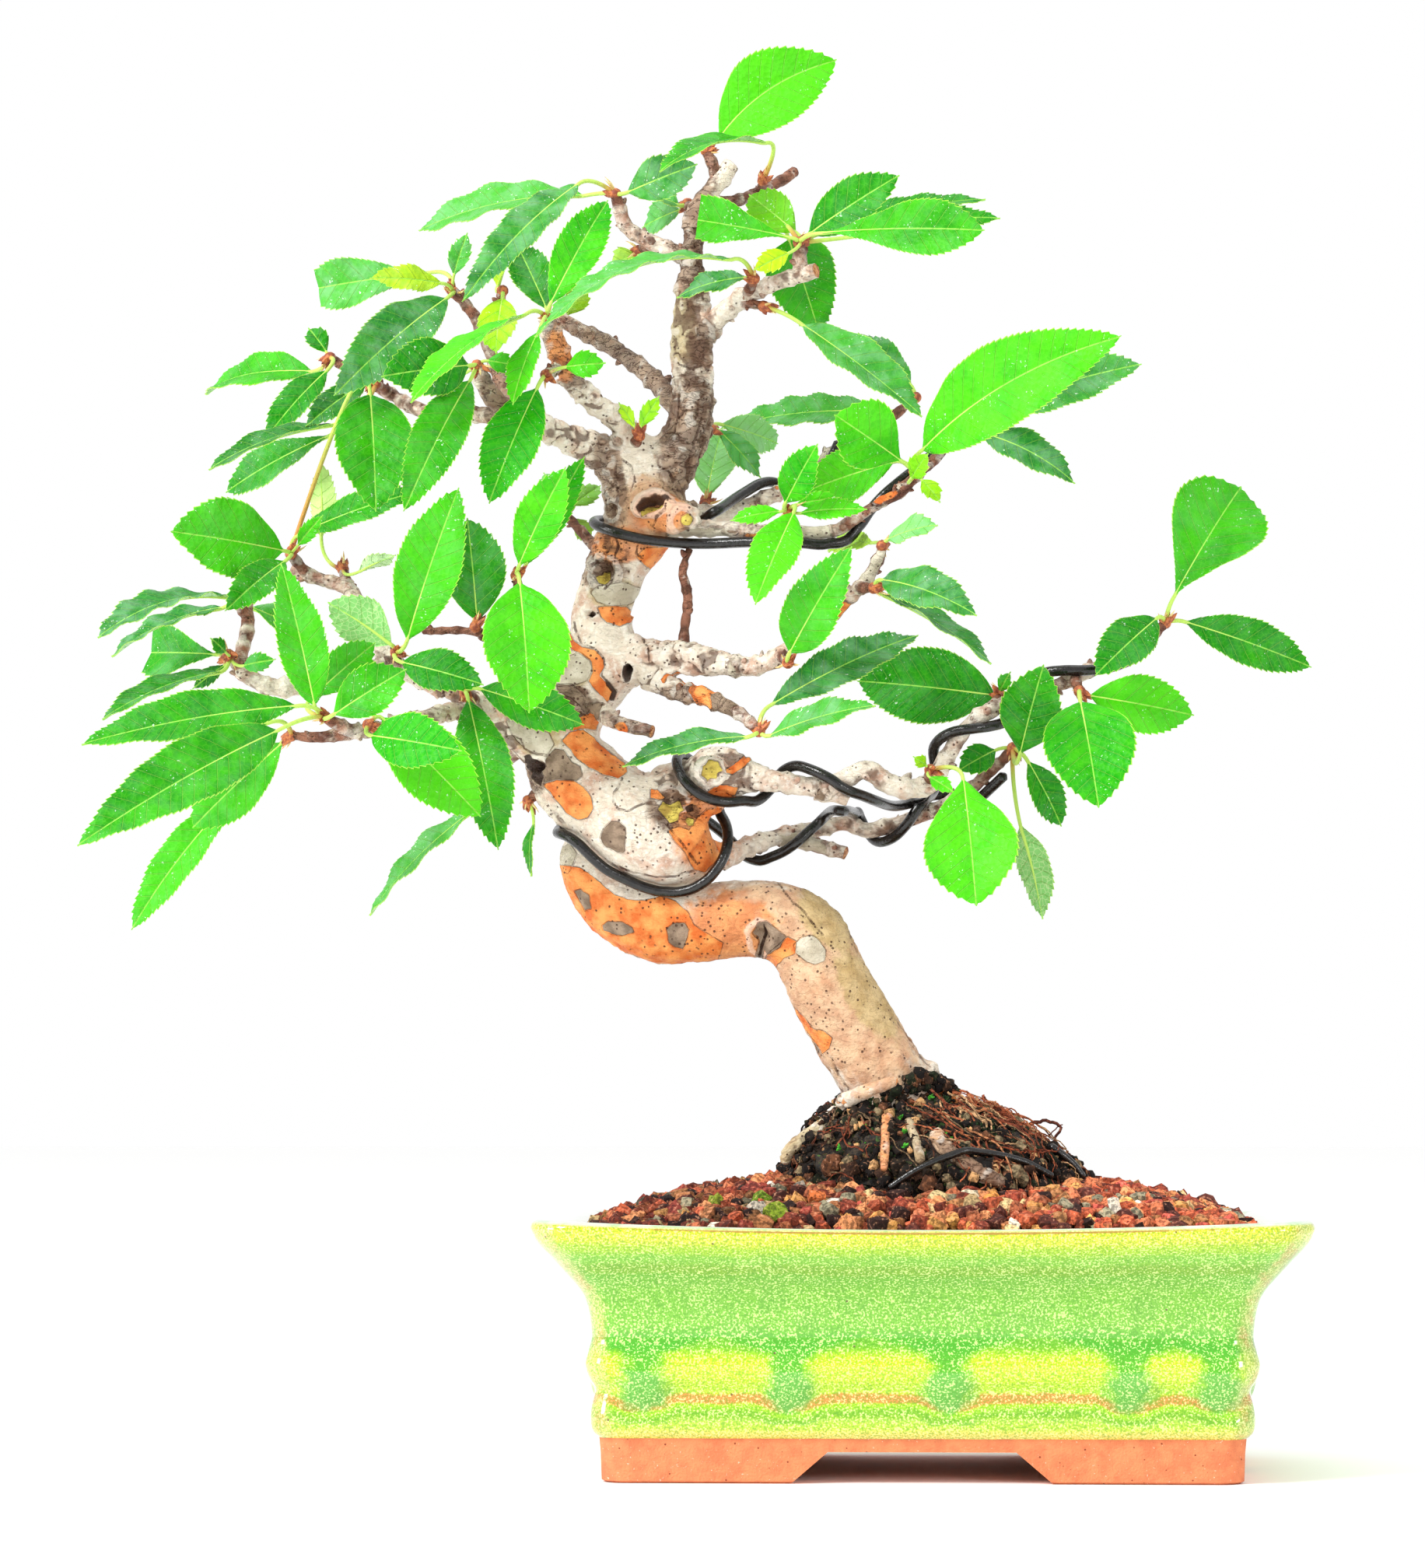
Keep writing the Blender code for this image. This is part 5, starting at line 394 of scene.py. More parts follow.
SPRAYS = {
    "spray_top_left": Spray((791, 249, 2), (Leaf((742, 238, -2), (596, 386, -18), 9.4, roll=35, bend=0.07,
        belly=0.42), Leaf((750, 252, 9), (541, 296, 22), 13.0, roll=68, bend=0.06), Leaf((808, 247, 0),
        (894, 212, -4), 9.6, roll=12)), "dull"),
    "spray_leader_back": Spray((884, 262, 6), (Leaf((872, 264, 5), (812, 247, 6), 8.0, roll=62),
        Leaf((874, 270, 10), (828, 292, 16), 7.0, roll=30)), "pale"),
    "spray_fork_small": Spray((822, 322, 7), (Leaf((816, 326, 8), (788, 340, 9), 5.0),), "pale"),
    "spray_crown": Spray((908, 193, 0), (Leaf((924, 179, 0), (1073, 78, -8), 17.0, roll=8, sweep=0.08,
        bend=0.08, belly=0.52),), "bright"),
    "spray_crown_arch": Spray((981, 232, 1), (Leaf((984, 184, -8), (850, 220, -26), 10.0, roll=76,
        bend=0.1),), "mature"),
    "spray_right_fork": Spray((1027, 312, -20), (Leaf((1018, 306, -22), (866, 279, -26), 11.0, roll=25,
        fold=18, belly=0.7, cut=0.8, bend=0.03), Leaf((1040, 301, -23), (1154, 227, -30), 10.6, roll=15),
        Leaf((1054, 300, -25), (1263, 296, -42), 12.4, roll=20, fold=20, belly=0.7),
        Leaf((1080, 294, -12), (1264, 257, -8), 8.0, roll=50, fold=8), Leaf((1100, 304, -17),
        (1283, 281, -24), 8.0, roll=60, fold=8), Leaf((1022, 298, -13), (965, 252, -7), 9.0, roll=10),
        Leaf((1014, 308, -6), (1054, 432, 4), 15.0, roll=8, belly=0.3, fold=10), Leaf((1013, 326, -25),
        (971, 346, -28), 4.6)), "mature"),
    "spray_fork_arch": Spray((969, 358, -18), (Leaf((940, 334, -24), (690, 432, -44), 11.0, roll=74,
        bend=0.13, fold=10), Leaf((958, 357, -18), (873, 382, -14), 6.0, roll=42, bend=0.08)), "dull"),
    "spray_fork_under": Spray((982, 394, -13), (Leaf((1032, 418, -17), (1183, 534, -24), 12.0, roll=38,
        fold=22, bend=0.03),), "dull"),
    "spray_middle": Spray((702, 408, -21), (Leaf((708, 390, -24), (780, 260, -16), 9.8, roll=10,
        bend=0.08), Leaf((676, 404, -28), (530, 516, -50), 10.0, roll=72, bend=0.06),
        Leaf((692, 428, -30), (660, 518, -36), 6.6, roll=35)), "bright"),
    "spray_brown": Spray((714, 407, 14), (Leaf((702, 396, 12), (664, 314, 18), 9.0, roll=10),
        Leaf((730, 404, 16), (752, 372, 18), 5.2)), "dark"),
    "spray_left_inner": Spray((646, 374, -12), (Leaf((646, 384, -14), (638, 452, -18), 8.8, roll=20),
        Leaf((640, 368, -8), (668, 310, -4), 7.0, roll=70)), "young"),
    "spray_middle_spur": Spray((702, 482, -24), (Leaf((690, 500, -28), (630, 645, -36), 12.2, roll=12,
        bend=0.07), Leaf((728, 472, -26), (776, 467, -27), 5.6)), "bright"),
    "spray_left": Spray((613, 470, -27), (Leaf((602, 470, -31), (493, 484, -42), 13.0, roll=15),
        Leaf((604, 490, -31), (520, 655, -52), 11.0, roll=12, bend=0.07), Leaf((598, 480, -24),
        (560, 503, -20), 4.2, roll=30), Leaf((628, 464, -27), (660, 470, -27), 4.4)), "mature"),
    "spray_left_high": Spray((583, 376, -8), (Leaf((556, 350, 0), (392, 374, 7), 11.0, roll=15,
        belly=0.68, cut=0.88), Leaf((566, 364, -13), (478, 358, -22), 6.0, roll=25), Leaf((584, 352, -9),
        (600, 302, -12), 4.4), Leaf((574, 384, -13), (431, 507, -34), 12.6, roll=18, bend=0.07)), "dull"),
    "spray_left_far": Spray((424, 460, 12), (Leaf((420, 477, 4), (344, 562, -4), 8.0, roll=30),
        Leaf((419, 452, 13), (398, 424, 15), 4.8), Leaf((400, 478, 17), (259, 494, 30), 12.0, roll=52,
        curl=0.1)), "mature"),
    "spray_left_low": Spray((482, 494, -4), (Leaf((470, 494, -6), (395, 547, -14), 6.8, roll=35),
        Leaf((430, 546, -14), (271, 603, -14), 9.0, roll=76, bend=0.06), Leaf((424, 560, 2),
        (293, 632, 12), 9.0, roll=35, belly=0.6)), "dark"),
    "spray_low_upper": Spray((374, 712, -9), (Leaf((364, 708, -13), (222, 684, -28), 17.5, roll=12,
        belly=0.55), Leaf((384, 688, -10), (542, 632, -18), 7.4, roll=35), Leaf((366, 722, -16),
        (291, 784, -34), 8.0, roll=20), Leaf((384, 700, -14), (414, 664, -20), 3.4), Leaf((476, 508, -25),
        (483, 655, -34), 17.0, roll=8, bend=0.05, belly=0.45)), "mature"),
    "spray_low_bud": Spray((441, 732, -6), (Leaf((413, 690, 4), (412, 596, 8), 6.0, roll=160),
        Leaf((462, 735, -14), (506, 715, -18), 4.0, roll=140)), "pale"),
    "spray_far_left_high": Spray((301, 770, -23), (Leaf((294, 768, -25), (128, 819, -48), 11.0, roll=72,
        bend=0.09), Leaf((286, 782, -16), (146, 843, -18), 9.0, roll=70, bend=0.08), Leaf((324, 782, -8),
        (412, 830, 4), 9.0, roll=50)), "dull"),
    "spray_far_left_low": Spray((294, 842, -29), (Leaf((284, 864, -33), (134, 924, -56), 9.0, roll=66,
        bend=0.05), Leaf((288, 856, -28), (250, 884, -27), 3.2), Leaf((289, 838, -34), (272, 822, -38),
        3.0), Leaf((314, 856, -33), (352, 848, -38), 3.8)), "dark"),
    "spray_far_left_back": Spray((292, 846, -12), (Leaf((282, 842, -10), (182, 840, 0), 12.0, roll=15,
        belly=0.68, cut=0.85),), "dark"),
    "spray_low_front": Spray((418, 922, -47), (Leaf((404, 906, -49), (362, 728, -44), 10.4, roll=10,
        bend=0.05, belly=0.42), Leaf((402, 896, -38), (480, 828, -30), 8.6, roll=10),
        Leaf((380, 908, -54), (108, 957, -70), 12.0, roll=32, bend=0.05), Leaf((356, 940, -60),
        (102, 1086, -84), 14.6, roll=20, bend=0.06, belly=0.45), Leaf((430, 918, -52), (520, 862, -50),
        10.6, roll=10)), "mature"),
    "spray_low_stub": Spray((374, 946, -35), (Leaf((362, 956, -34), (250, 1062, -26), 12.6, roll=12),
        Leaf((310, 1014, -18), (171, 1193, -16), 9.0, roll=25, bend=0.08), Leaf((344, 930, -44),
        (178, 996, -52), 8.0, roll=50)), "mature"),
    "spray_low_pair": Spray((474, 932, -45), (Leaf((478, 946, -50), (591, 965, -62), 11.6, roll=10),
        Leaf((492, 924, -42), (616, 1048, -44), 15.0, roll=10)), "bright"),
    "spray_low_middle": Spray((509, 838, -25), (Leaf((524, 822, -31), (589, 630, -38), 14.0, roll=10,
        bend=0.07), Leaf((502, 828, -27), (424, 776, -30), 11.0, roll=150, fold=6), Leaf((518, 852, -30),
        (619, 880, -37), 9.4, roll=15)), "mature"),
    "spray_inner_back": Spray((611, 806, -18), (Leaf((613, 798, -18), (601, 669, -16), 14.0, roll=8),),
        "dark"),
    "spray_inner": Spray((664, 740, -31), (Leaf((668, 726, -34), (726, 603, -42), 9.8, roll=14),
        Leaf((676, 726, -27), (750, 590, -22), 7.6, roll=10), Leaf((668, 750, -37), (680, 914, -44), 18.6,
        roll=8, bend=0.06)), "bright"),
    "spray_low_root": Spray((598, 890, -21), (Leaf((602, 900, -25), (640, 1090, -34), 12.0, roll=10),
        Leaf((618, 886, -24), (748, 931, -22), 10.0, roll=15), Leaf((592, 1008, -20), (556, 1032, -16),
        4.2)), "mature"),
    "spray_low_back": Spray((634, 1012, 2), (Leaf((612, 1040, 3), (477, 1175, 14), 8.4, roll=60,
        bend=0.05),), "dull"),
    "spray_trunk_bud": Spray((679, 1030, -3), (Leaf((686, 1060, -6), (683, 1124, -8), 4.2, roll=60),),
        "dark"),
    "spray_pale": Spray((726, 660, 14), (Leaf((736, 650, 15), (770, 626, 20), 4.4), Leaf((734, 668, 15),
        (758, 692, 20), 4.0), Leaf((722, 648, 14), (700, 610, 20), 5.0)), "pale"),
    "spray_crown_inner": Spray((822, 560, -7), (Leaf((824, 548, -8), (846, 512, -8), 3.4),
        Leaf((815, 548, -8), (797, 520, -6), 2.6)), "young"),
    "spray_mid_right": Spray((1134, 702, -29), (Leaf((1142, 694, -30), (1203, 676, -36), 7.0, roll=50),
        Leaf((1121, 698, -14), (1066, 703, 6), 6.0, roll=40)), "pale"),
    "spray_mid_spur": Spray((1124, 756, -33), (Leaf((1134, 746, -36), (1251, 786, -50), 10.0, roll=28,
        bend=0.08, curl=0.05), Leaf((1134, 764, -32), (1272, 852, -36), 10.0, roll=74, bend=0.04)),
        "dull"),
    "spray_mid_bud": Spray((1013, 852, -27), (Leaf((1016, 838, -31), (1094, 705, -44), 12.0, roll=12,
        belly=0.42),), "mature"),
    "spray_mid_low": Spray((976, 940, -26), (Leaf((992, 906, -22), (1178, 818, -4), 10.0, roll=25,
        bend=0.06), Leaf((990, 946, -28), (1123, 908, -38), 8.0, roll=45), Leaf((960, 948, -28),
        (803, 985, -24), 8.0, roll=58, bend=0.06)), "dull"),
    "spray_right_low": Spray((1196, 990, -19), (Leaf((1238, 1001, -24), (1255, 1162, -34), 20.0, roll=8,
        belly=0.6, bend=0.05), Leaf((1196, 1000, -22), (1225, 1018, -26), 3.2), Leaf((1190, 984, -20),
        (1176, 974, -22), 2.6)), "bright"),
    "spray_right_high": Spray((1286, 894, -3), (Leaf((1278, 894, -2), (1105, 876, 10), 17.0, roll=10,
        belly=0.45), Leaf((1286, 888, -4), (1298, 866, -6), 3.0)), "mature"),
    "spray_right_end": Spray((1388, 889, -15), (Leaf((1389, 903, -21), (1412, 1036, -30), 19.6, roll=8,
        belly=0.45, bend=0.06), Leaf((1402, 895, -11), (1532, 919, -8), 12.4, roll=12)), "bright"),
    "spray_right_tip": Spray((1498, 801, -2), (Leaf((1486, 796, -7), (1410, 867, -20), 10.4, roll=12),
        Leaf((1509, 768, -3), (1594, 628, 8), 21.4, roll=10, belly=0.66, bend=0.07), Leaf((1525, 800, 0),
        (1683, 857, 8), 10.4, roll=14, bend=0.06)), "mature"),
    "spray_right_back": Spray((1302, 962, 3), (Leaf((1312, 968, -10), (1341, 857, -22), 13.0, roll=8,
        belly=0.55), Leaf((1322, 980, 0), (1363, 1060, 6), 7.6, roll=20), Leaf((1279, 965, 3),
        (1234, 990, -1), 6.4, roll=15), Leaf((1312, 1062, 12), (1340, 1179, 16), 8.0, roll=155)),
        "mature"),
    "spray_top_back": Spray((906, 648, 14), (Leaf((909, 638, 15), (926, 560, 26), 10.0, roll=10),),
        "pale"),
    "spray_leader_low": Spray((914, 552, 10), (Leaf((924, 554, 11), (976, 612, 16), 6.4, roll=30),
        Leaf((928, 546, 16), (998, 570, 32), 8.0, roll=20)), "pale"),
    "spray_upper_back": Spray((1177, 511, 21), (Leaf((1170, 494, 21), (1105, 430, 28), 6.6, roll=48),
        Leaf((1140, 530, 28), (924, 553, 46), 9.6, roll=45, bend=0.06)), "dull"),
    "spray_upper": Spray((1177, 610, -17), (Leaf((1187, 578, -23), (1439, 433, -48), 18.0, roll=14,
        sweep=0.05, bend=0.06, belly=0.45), Leaf((1158, 592, -22), (1075, 535, -30), 15.4, roll=8,
        belly=0.6), Leaf((1148, 594, -12), (1040, 630, 2), 11.6, roll=12), Leaf((1172, 614, -25),
        (1192, 585, -30), 4.6), Leaf((1186, 618, -20), (1207, 644, -22), 3.8)), "bright"),
    "spray_upper_long": Spray((1243, 548, -5), (Leaf((1262, 528, -8), (1465, 469, -18), 12.0, roll=25),
        Leaf((1258, 556, -4), (1380, 616, -8), 8.6, roll=30, bend=0.1, curl=0.06)), "dull"),
    "spray_top_right": Spray((1013, 656, -20), (Leaf((1010, 646, -24), (1050, 573, -34), 8.0, roll=10),
        Leaf((1020, 660, -28), (972, 775, -42), 10.4, roll=12), Leaf((1026, 648, -20), (1076, 640, -20),
        3.6), Leaf((1030, 660, -22), (1112, 655, -28), 4.6, roll=30), Leaf((1002, 658, -22),
        (942, 669, -22), 4.0, roll=30)), "bright"),
}


PATCHES = (
    Patch(BarkKind.ORANGE, ((722, 1112), (745, 1115), (762, 1127), (790, 1150), (808, 1156), (830, 1157),
    (850, 1152), (868, 1158), (884, 1172), (893, 1190), (908, 1200), (930, 1212), (922, 1240),
    (880, 1250), (840, 1250), (795, 1232), (755, 1206), (730, 1168), (714, 1130))), Patch(BarkKind.TAUPE,
    ((737, 1146), (746, 1143), (756, 1151), (760, 1168), (752, 1171), (743, 1160))), Patch(BarkKind.TAUPE,
    ((773, 1190), (782, 1185), (800, 1186), (812, 1193), (815, 1199), (800, 1204), (786, 1203),
    (775, 1197))), Patch(BarkKind.TAUPE, ((857, 1194), (866, 1187), (880, 1186), (886, 1196), (882, 1210),
    (878, 1222), (868, 1218), (860, 1212))), Patch(BarkKind.PLATE, ((716, 1116), (716, 1092), (732, 1083),
    (742, 1098), (738, 1112), (730, 1123))), Patch(BarkKind.TAUPE, ((967, 1200), (975, 1186), (986, 1184),
    (1000, 1196), (1010, 1204), (1003, 1218), (990, 1226), (983, 1222), (979, 1240), (970, 1236),
    (975, 1215))), Patch(BarkKind.HOLLOW, ((983, 1186), (985, 1198), (980, 1218), (978, 1240),
    (974, 1238), (977, 1216), (980, 1200))), Patch(BarkKind.ORANGE, ((1000, 1216), (1012, 1205),
    (1024, 1210), (1023, 1226), (1008, 1232), (1000, 1240), (990, 1252), (1004, 1282), (994, 1288),
    (978, 1262), (978, 1242), (988, 1226))), Patch(BarkKind.ORANGE, ((1000, 1280), (1010, 1284),
    (1022, 1296), (1035, 1310), (1046, 1324), (1060, 1326), (1070, 1335), (1066, 1348), (1056, 1356),
    (1050, 1345), (1044, 1334), (1028, 1318), (1012, 1302), (1002, 1294))), Patch(BarkKind.TAUPE,
    ((1002, 1298), (1014, 1304), (1030, 1320), (1044, 1336), (1052, 1350), (1052, 1366), (1034, 1348),
    (1016, 1324), (1000, 1306))), Patch(BarkKind.ORANGE, ((1187, 1378), (1205, 1380), (1224, 1398),
    (1238, 1428), (1226, 1436), (1206, 1420), (1191, 1402), (1184, 1390))), Patch(BarkKind.PLATE,
    ((1020, 1215), (1030, 1206), (1042, 1202), (1052, 1208), (1062, 1222), (1060, 1236), (1048, 1240),
    (1036, 1236), (1024, 1226))), Patch(BarkKind.ORANGE, ((722, 952), (734, 941), (750, 938), (762, 946),
    (775, 958), (790, 970), (804, 980), (806, 992), (795, 1001), (775, 995), (755, 984), (742, 976),
    (734, 964))), Patch(BarkKind.ORANGE, ((728, 934), (746, 922), (768, 912), (774, 922), (767, 938),
    (750, 936), (736, 939))), Patch(BarkKind.ORANGE, ((698, 1008), (715, 1003), (736, 1003), (750, 1012),
    (760, 1025), (763, 1040), (755, 1052), (742, 1055), (728, 1046), (716, 1031), (706, 1019))),
    Patch(BarkKind.ORANGE, ((722, 800), (733, 814), (738, 824), (748, 831), (765, 835), (776, 847),
    (777, 858), (771, 869), (779, 877), (790, 889), (787, 899), (778, 901), (769, 891), (756, 876),
    (762, 863), (760, 850), (748, 841), (734, 834), (722, 822))), Patch(BarkKind.HOLLOW, ((776, 872),
    (784, 878), (793, 889), (789, 901), (782, 900), (787, 890), (780, 882))), Patch(BarkKind.TAUPE,
    ((698, 990), (704, 972), (714, 962), (725, 965), (735, 980), (746, 985), (749, 998), (738, 1004),
    (715, 1002), (700, 1006))), Patch(BarkKind.HOLLOW, ((674, 972), (681, 969), (690, 980), (699, 997),
    (695, 1011), (685, 1003), (677, 990))), Patch(BarkKind.PLATE, ((650, 926), (665, 920), (690, 935),
    (705, 942), (713, 957), (704, 970), (690, 968), (675, 962), (660, 948))), Patch(BarkKind.TAUPE,
    ((714, 880), (735, 880), (750, 893), (758, 905), (756, 922), (745, 906), (733, 896), (718, 890))),
    Patch(BarkKind.PLATE, ((700, 872), (714, 858), (722, 848), (745, 838), (758, 848), (762, 862),
    (755, 875), (735, 882), (712, 882))), Patch(BarkKind.TAUPE, ((771, 1078), (775, 1066), (785, 1056),
    (796, 1056), (804, 1064), (804, 1080), (802, 1098), (790, 1096), (776, 1088))), Patch(BarkKind.SCAR,
    ((846, 1040), (852, 1032), (862, 1034), (872, 1029), (880, 1040), (873, 1046), (872, 1054),
    (861, 1058), (854, 1049))), Patch(BarkKind.SCAR, ((880, 1056), (884, 1050), (892, 1054), (891, 1061),
    (884, 1062))), Patch(BarkKind.HOLLOW, ((880, 1036), (890, 1034), (892, 1044), (884, 1046))),
    Patch(BarkKind.ORANGE, ((836, 1014), (846, 1018), (856, 1026), (846, 1030), (836, 1026))),
    Patch(BarkKind.ORANGE, ((858, 1068), (874, 1062), (886, 1068), (897, 1050), (908, 1040), (926, 1038),
    (936, 1052), (934, 1080), (924, 1102), (906, 1122), (892, 1118), (882, 1098), (868, 1082))),
    Patch(BarkKind.SCAR, ((905, 985), (912, 978), (922, 980), (927, 990), (922, 1000), (910, 1002),
    (904, 995))), Patch(BarkKind.ORANGE, ((903, 1022), (918, 1012), (935, 1010), (950, 1013), (942, 1026),
    (918, 1029))), Patch(BarkKind.ORANGE, ((928, 992), (944, 983), (957, 970), (970, 958), (972, 970),
    (958, 985), (942, 996))), Patch(BarkKind.HOLLOW, ((801, 857), (808, 852), (813, 860), (811, 872),
    (804, 877), (800, 867))), Patch(BarkKind.ORANGE, ((846, 876), (857, 867), (875, 863), (890, 869),
    (898, 880), (888, 890), (866, 892), (850, 886))), Patch(BarkKind.TAUPE, ((850, 882), (858, 873),
    (871, 869), (882, 875), (885, 886), (870, 889), (857, 887))), Patch(BarkKind.ORANGE, ((768, 780),
    (786, 779), (806, 780), (814, 790), (809, 802), (795, 806), (780, 800), (772, 792))),
    Patch(BarkKind.ORANGE, ((818, 716), (828, 704), (845, 702), (862, 698), (858, 713), (847, 727),
    (836, 732), (826, 724))), Patch(BarkKind.SCAR, ((767, 742), (772, 734), (782, 735), (786, 744),
    (778, 753), (770, 750))), Patch(BarkKind.SCAR, ((823, 656), (832, 650), (850, 645), (855, 649),
    (840, 656), (829, 663))), Patch(BarkKind.HOLLOW, ((819, 652), (827, 641), (843, 636), (858, 640),
    (866, 647), (856, 646), (840, 643), (829, 649), (824, 660))), Patch(BarkKind.HOLLOW, ((754, 790),
    (762, 786), (768, 790), (762, 794))), Patch(BarkKind.SCAR, ((876, 664), (884, 660), (891, 666),
    (888, 675), (879, 677), (874, 671))), Patch(BarkKind.PLATE, ((760, 762), (776, 754), (800, 748),
    (822, 756), (820, 770), (806, 778), (786, 780), (768, 774))),
)
ZONES = (
    Zone(BarkKind.TAN, 1080, 1270, 96, 200, -30), Zone(BarkKind.TAN, 980, 1190, 110, 70),
    Zone(BarkKind.WARM, 930, 1200, 86, 62), Zone(BarkKind.WARM, 905, 1070, 50, 66), Zone(BarkKind.OLIVE,
    1062, 1182, 34, 62, -38), Zone(BarkKind.OLIVE, 1114, 1278, 34, 84, -32), Zone(BarkKind.OLIVE, 692,
    946, 40, 30), Zone(BarkKind.OLIVE, 790, 764, 40, 26), Zone(BarkKind.OLIVE, 1022, 1472, 44, 24, -35),
    Zone(BarkKind.OLIVE, 740, 862, 30, 28), Zone(BarkKind.BROWN, 784, 620, 26, 80, -8),
    Zone(BarkKind.BROWN, 884, 560, 46, 112, 8), Zone(BarkKind.BROWN, 804, 474, 110, 44, 36),
    Zone(BarkKind.BROWN, 728, 450, 36, 70, -18), Zone(BarkKind.BROWN, 646, 510, 40, 56),
    Zone(BarkKind.WARM, 722, 455, 22, 44, -12), Zone(BarkKind.TAN, 838, 660, 66, 58), Zone(BarkKind.BROWN,
    560, 600, 90, 60, 30), Zone(BarkKind.OLIVE, 876, 420, 26, 60), Zone(BarkKind.BROWN, 905, 440, 26, 40),
    Zone(BarkKind.BROWN, 775, 722, 40, 46), Zone(BarkKind.BROWN, 893, 300, 40, 130), Zone(BarkKind.BROWN,
    880, 900, 60, 26), Zone(BarkKind.BROWN, 868, 1040, 46, 34), Zone(BarkKind.BROWN, 740, 905, 26, 30),
    Zone(BarkKind.BROWN, 676, 1000, 34, 30), Zone(BarkKind.WARM, 800, 700, 50, 30), Zone(BarkKind.WARM,
    850, 660, 44, 30), Zone(BarkKind.TAN, 1240.0, 1488.0, 70.0, 30.0, 36.0), Zone(BarkKind.BROWN, 1250.0,
    1496.0, 66.0, 24.0, 36.0),
)
# Cracks and plates' edges, as lines on the board
SEAMS = (
    ((1001, 1133), (1008, 1146), (1018, 1158), (1034, 1172), (1046, 1188), (1058, 1202)), ((800, 1000),
    (796, 1010), (790, 1018), (788, 1030), (795, 1040), (808, 1043), (818, 1037), (828, 1033)),
    ((738, 800), (741, 814), (748, 828), (764, 833), (776, 845), (778, 858), (773, 868), (781, 876),
    (792, 888)), ((765, 1100), (788, 1113), (815, 1122), (840, 1127), (868, 1127), (892, 1120)),
    ((660, 948), (670, 950), (674, 962), (684, 968), (704, 972)), ((763, 730), (770, 722), (782, 723),
    (789, 734), (787, 748), (778, 758)), ((792, 690), (795, 702), (790, 716), (800, 722)), ((820, 700),
    (818, 712), (826, 718)), ((872, 1030), (884, 1026), (900, 1030)), ((858, 1060), (872, 1078),
    (886, 1096), (898, 1112)), ((905, 848), (903, 858), (906, 868)), ((846, 872), (843, 882), (852, 890),
    (870, 892), (884, 888)), ((876, 430), (890, 434), (904, 430)), ((872, 468), (886, 474), (904, 470)),
    ((800, 590), (812, 600), (816, 616), (810, 632)), ((846, 598), (860, 606), (866, 620)), ((840, 676),
    (846, 664), (858, 656)), ((792, 600), (790, 620), (796, 640), (792, 664)), ((884, 600), (892, 570),
    (902, 540)), ((866, 560), (872, 530), (876, 500)), ((820, 812), (832, 830), (834, 850)), ((806, 916),
    (790, 922), (782, 934)), ((1070, 1362), (1078, 1382), (1092, 1400)), ((930, 960), (944, 962),
    (956, 956)),
)


def outline_distance(places: np.ndarray, outline: tuple, closed: bool) -> np.ndarray:
    """Return how far places are from an outline, in millimetres.

    The distance to a stretch is that to its nearest point. Inside a closed outline, which a ray to
    the right crosses an odd number of times, it is over 0, and outside it is under 0.

    Args:
        places: Board places, as (count, 2).
        outline: The outline's corners.
        closed: Whether the outline is closed, and the distance signed.

    Returns:
        One distance a place.
    """
    corners = np.array(outline, float)
    starts, stops = (corners, np.roll(corners, -1, axis=0)) if closed else (corners[:-1], corners[1:])
    nearest, inside = np.full(len(places), 1e9), np.zeros(len(places), bool)
    for start, stop in zip(starts, stops):
        way = stop - start
        share = np.clip((places - start) @ way / max(float(way @ way), 1e-9), 0.0, 1.0)
        nearest = np.minimum(nearest, np.linalg.norm(places - start - share[:, None] * way, axis=1))
        spans = (start[1] > places[:, 1]) != (stop[1] > places[:, 1])
        crossing = start[0] + (places[:, 1] - start[1]) * way[0] / (way[1] if way[1] else 1e-9)
        inside ^= spans & (places[:, 0] < crossing)
    return nearest * (np.where(inside, 1.0, -1.0) if closed else 1.0) / BOARD_SCALE


# Where the wood is raised (over 0) or sunk: across, down, half size in board units, height in millimetres
KNOTS = (
    (780, 739, 22, 0.9), (780, 739, 11, -1.8), (836, 648, 22, 0.9), (836, 648, 12, -2.0),
    (865, 881, 12, -1.2), (688, 985, 12, -1.3), (872, 1201, 14, 0.7), (793, 1193, 14, -0.4),
    (746, 1156, 10, -0.4), (978, 1206, 9, -1.6), (791, 1078, 16, -0.25), (915, 990, 14, 0.5),
    (808, 862, 8, -1.4), (1040, 1217, 18, 0.3), (815, 1150, 16, -0.6), (905, 1050, 12, 0.9),
    (868, 1028, 16, 1.0), (730, 1110, 12, 0.6), (1158, 1362, 14, 1.0), (850, 1120, 10, 0.5),
    (770, 905, 14, 0.8), (742, 872, 14, 0.5), (798, 800, 12, 0.6), (846, 700, 14, 1.1),
    (905, 425, 14, 0.9), (876, 500, 12, 0.5), (893, 455, 9, -0.5),
)


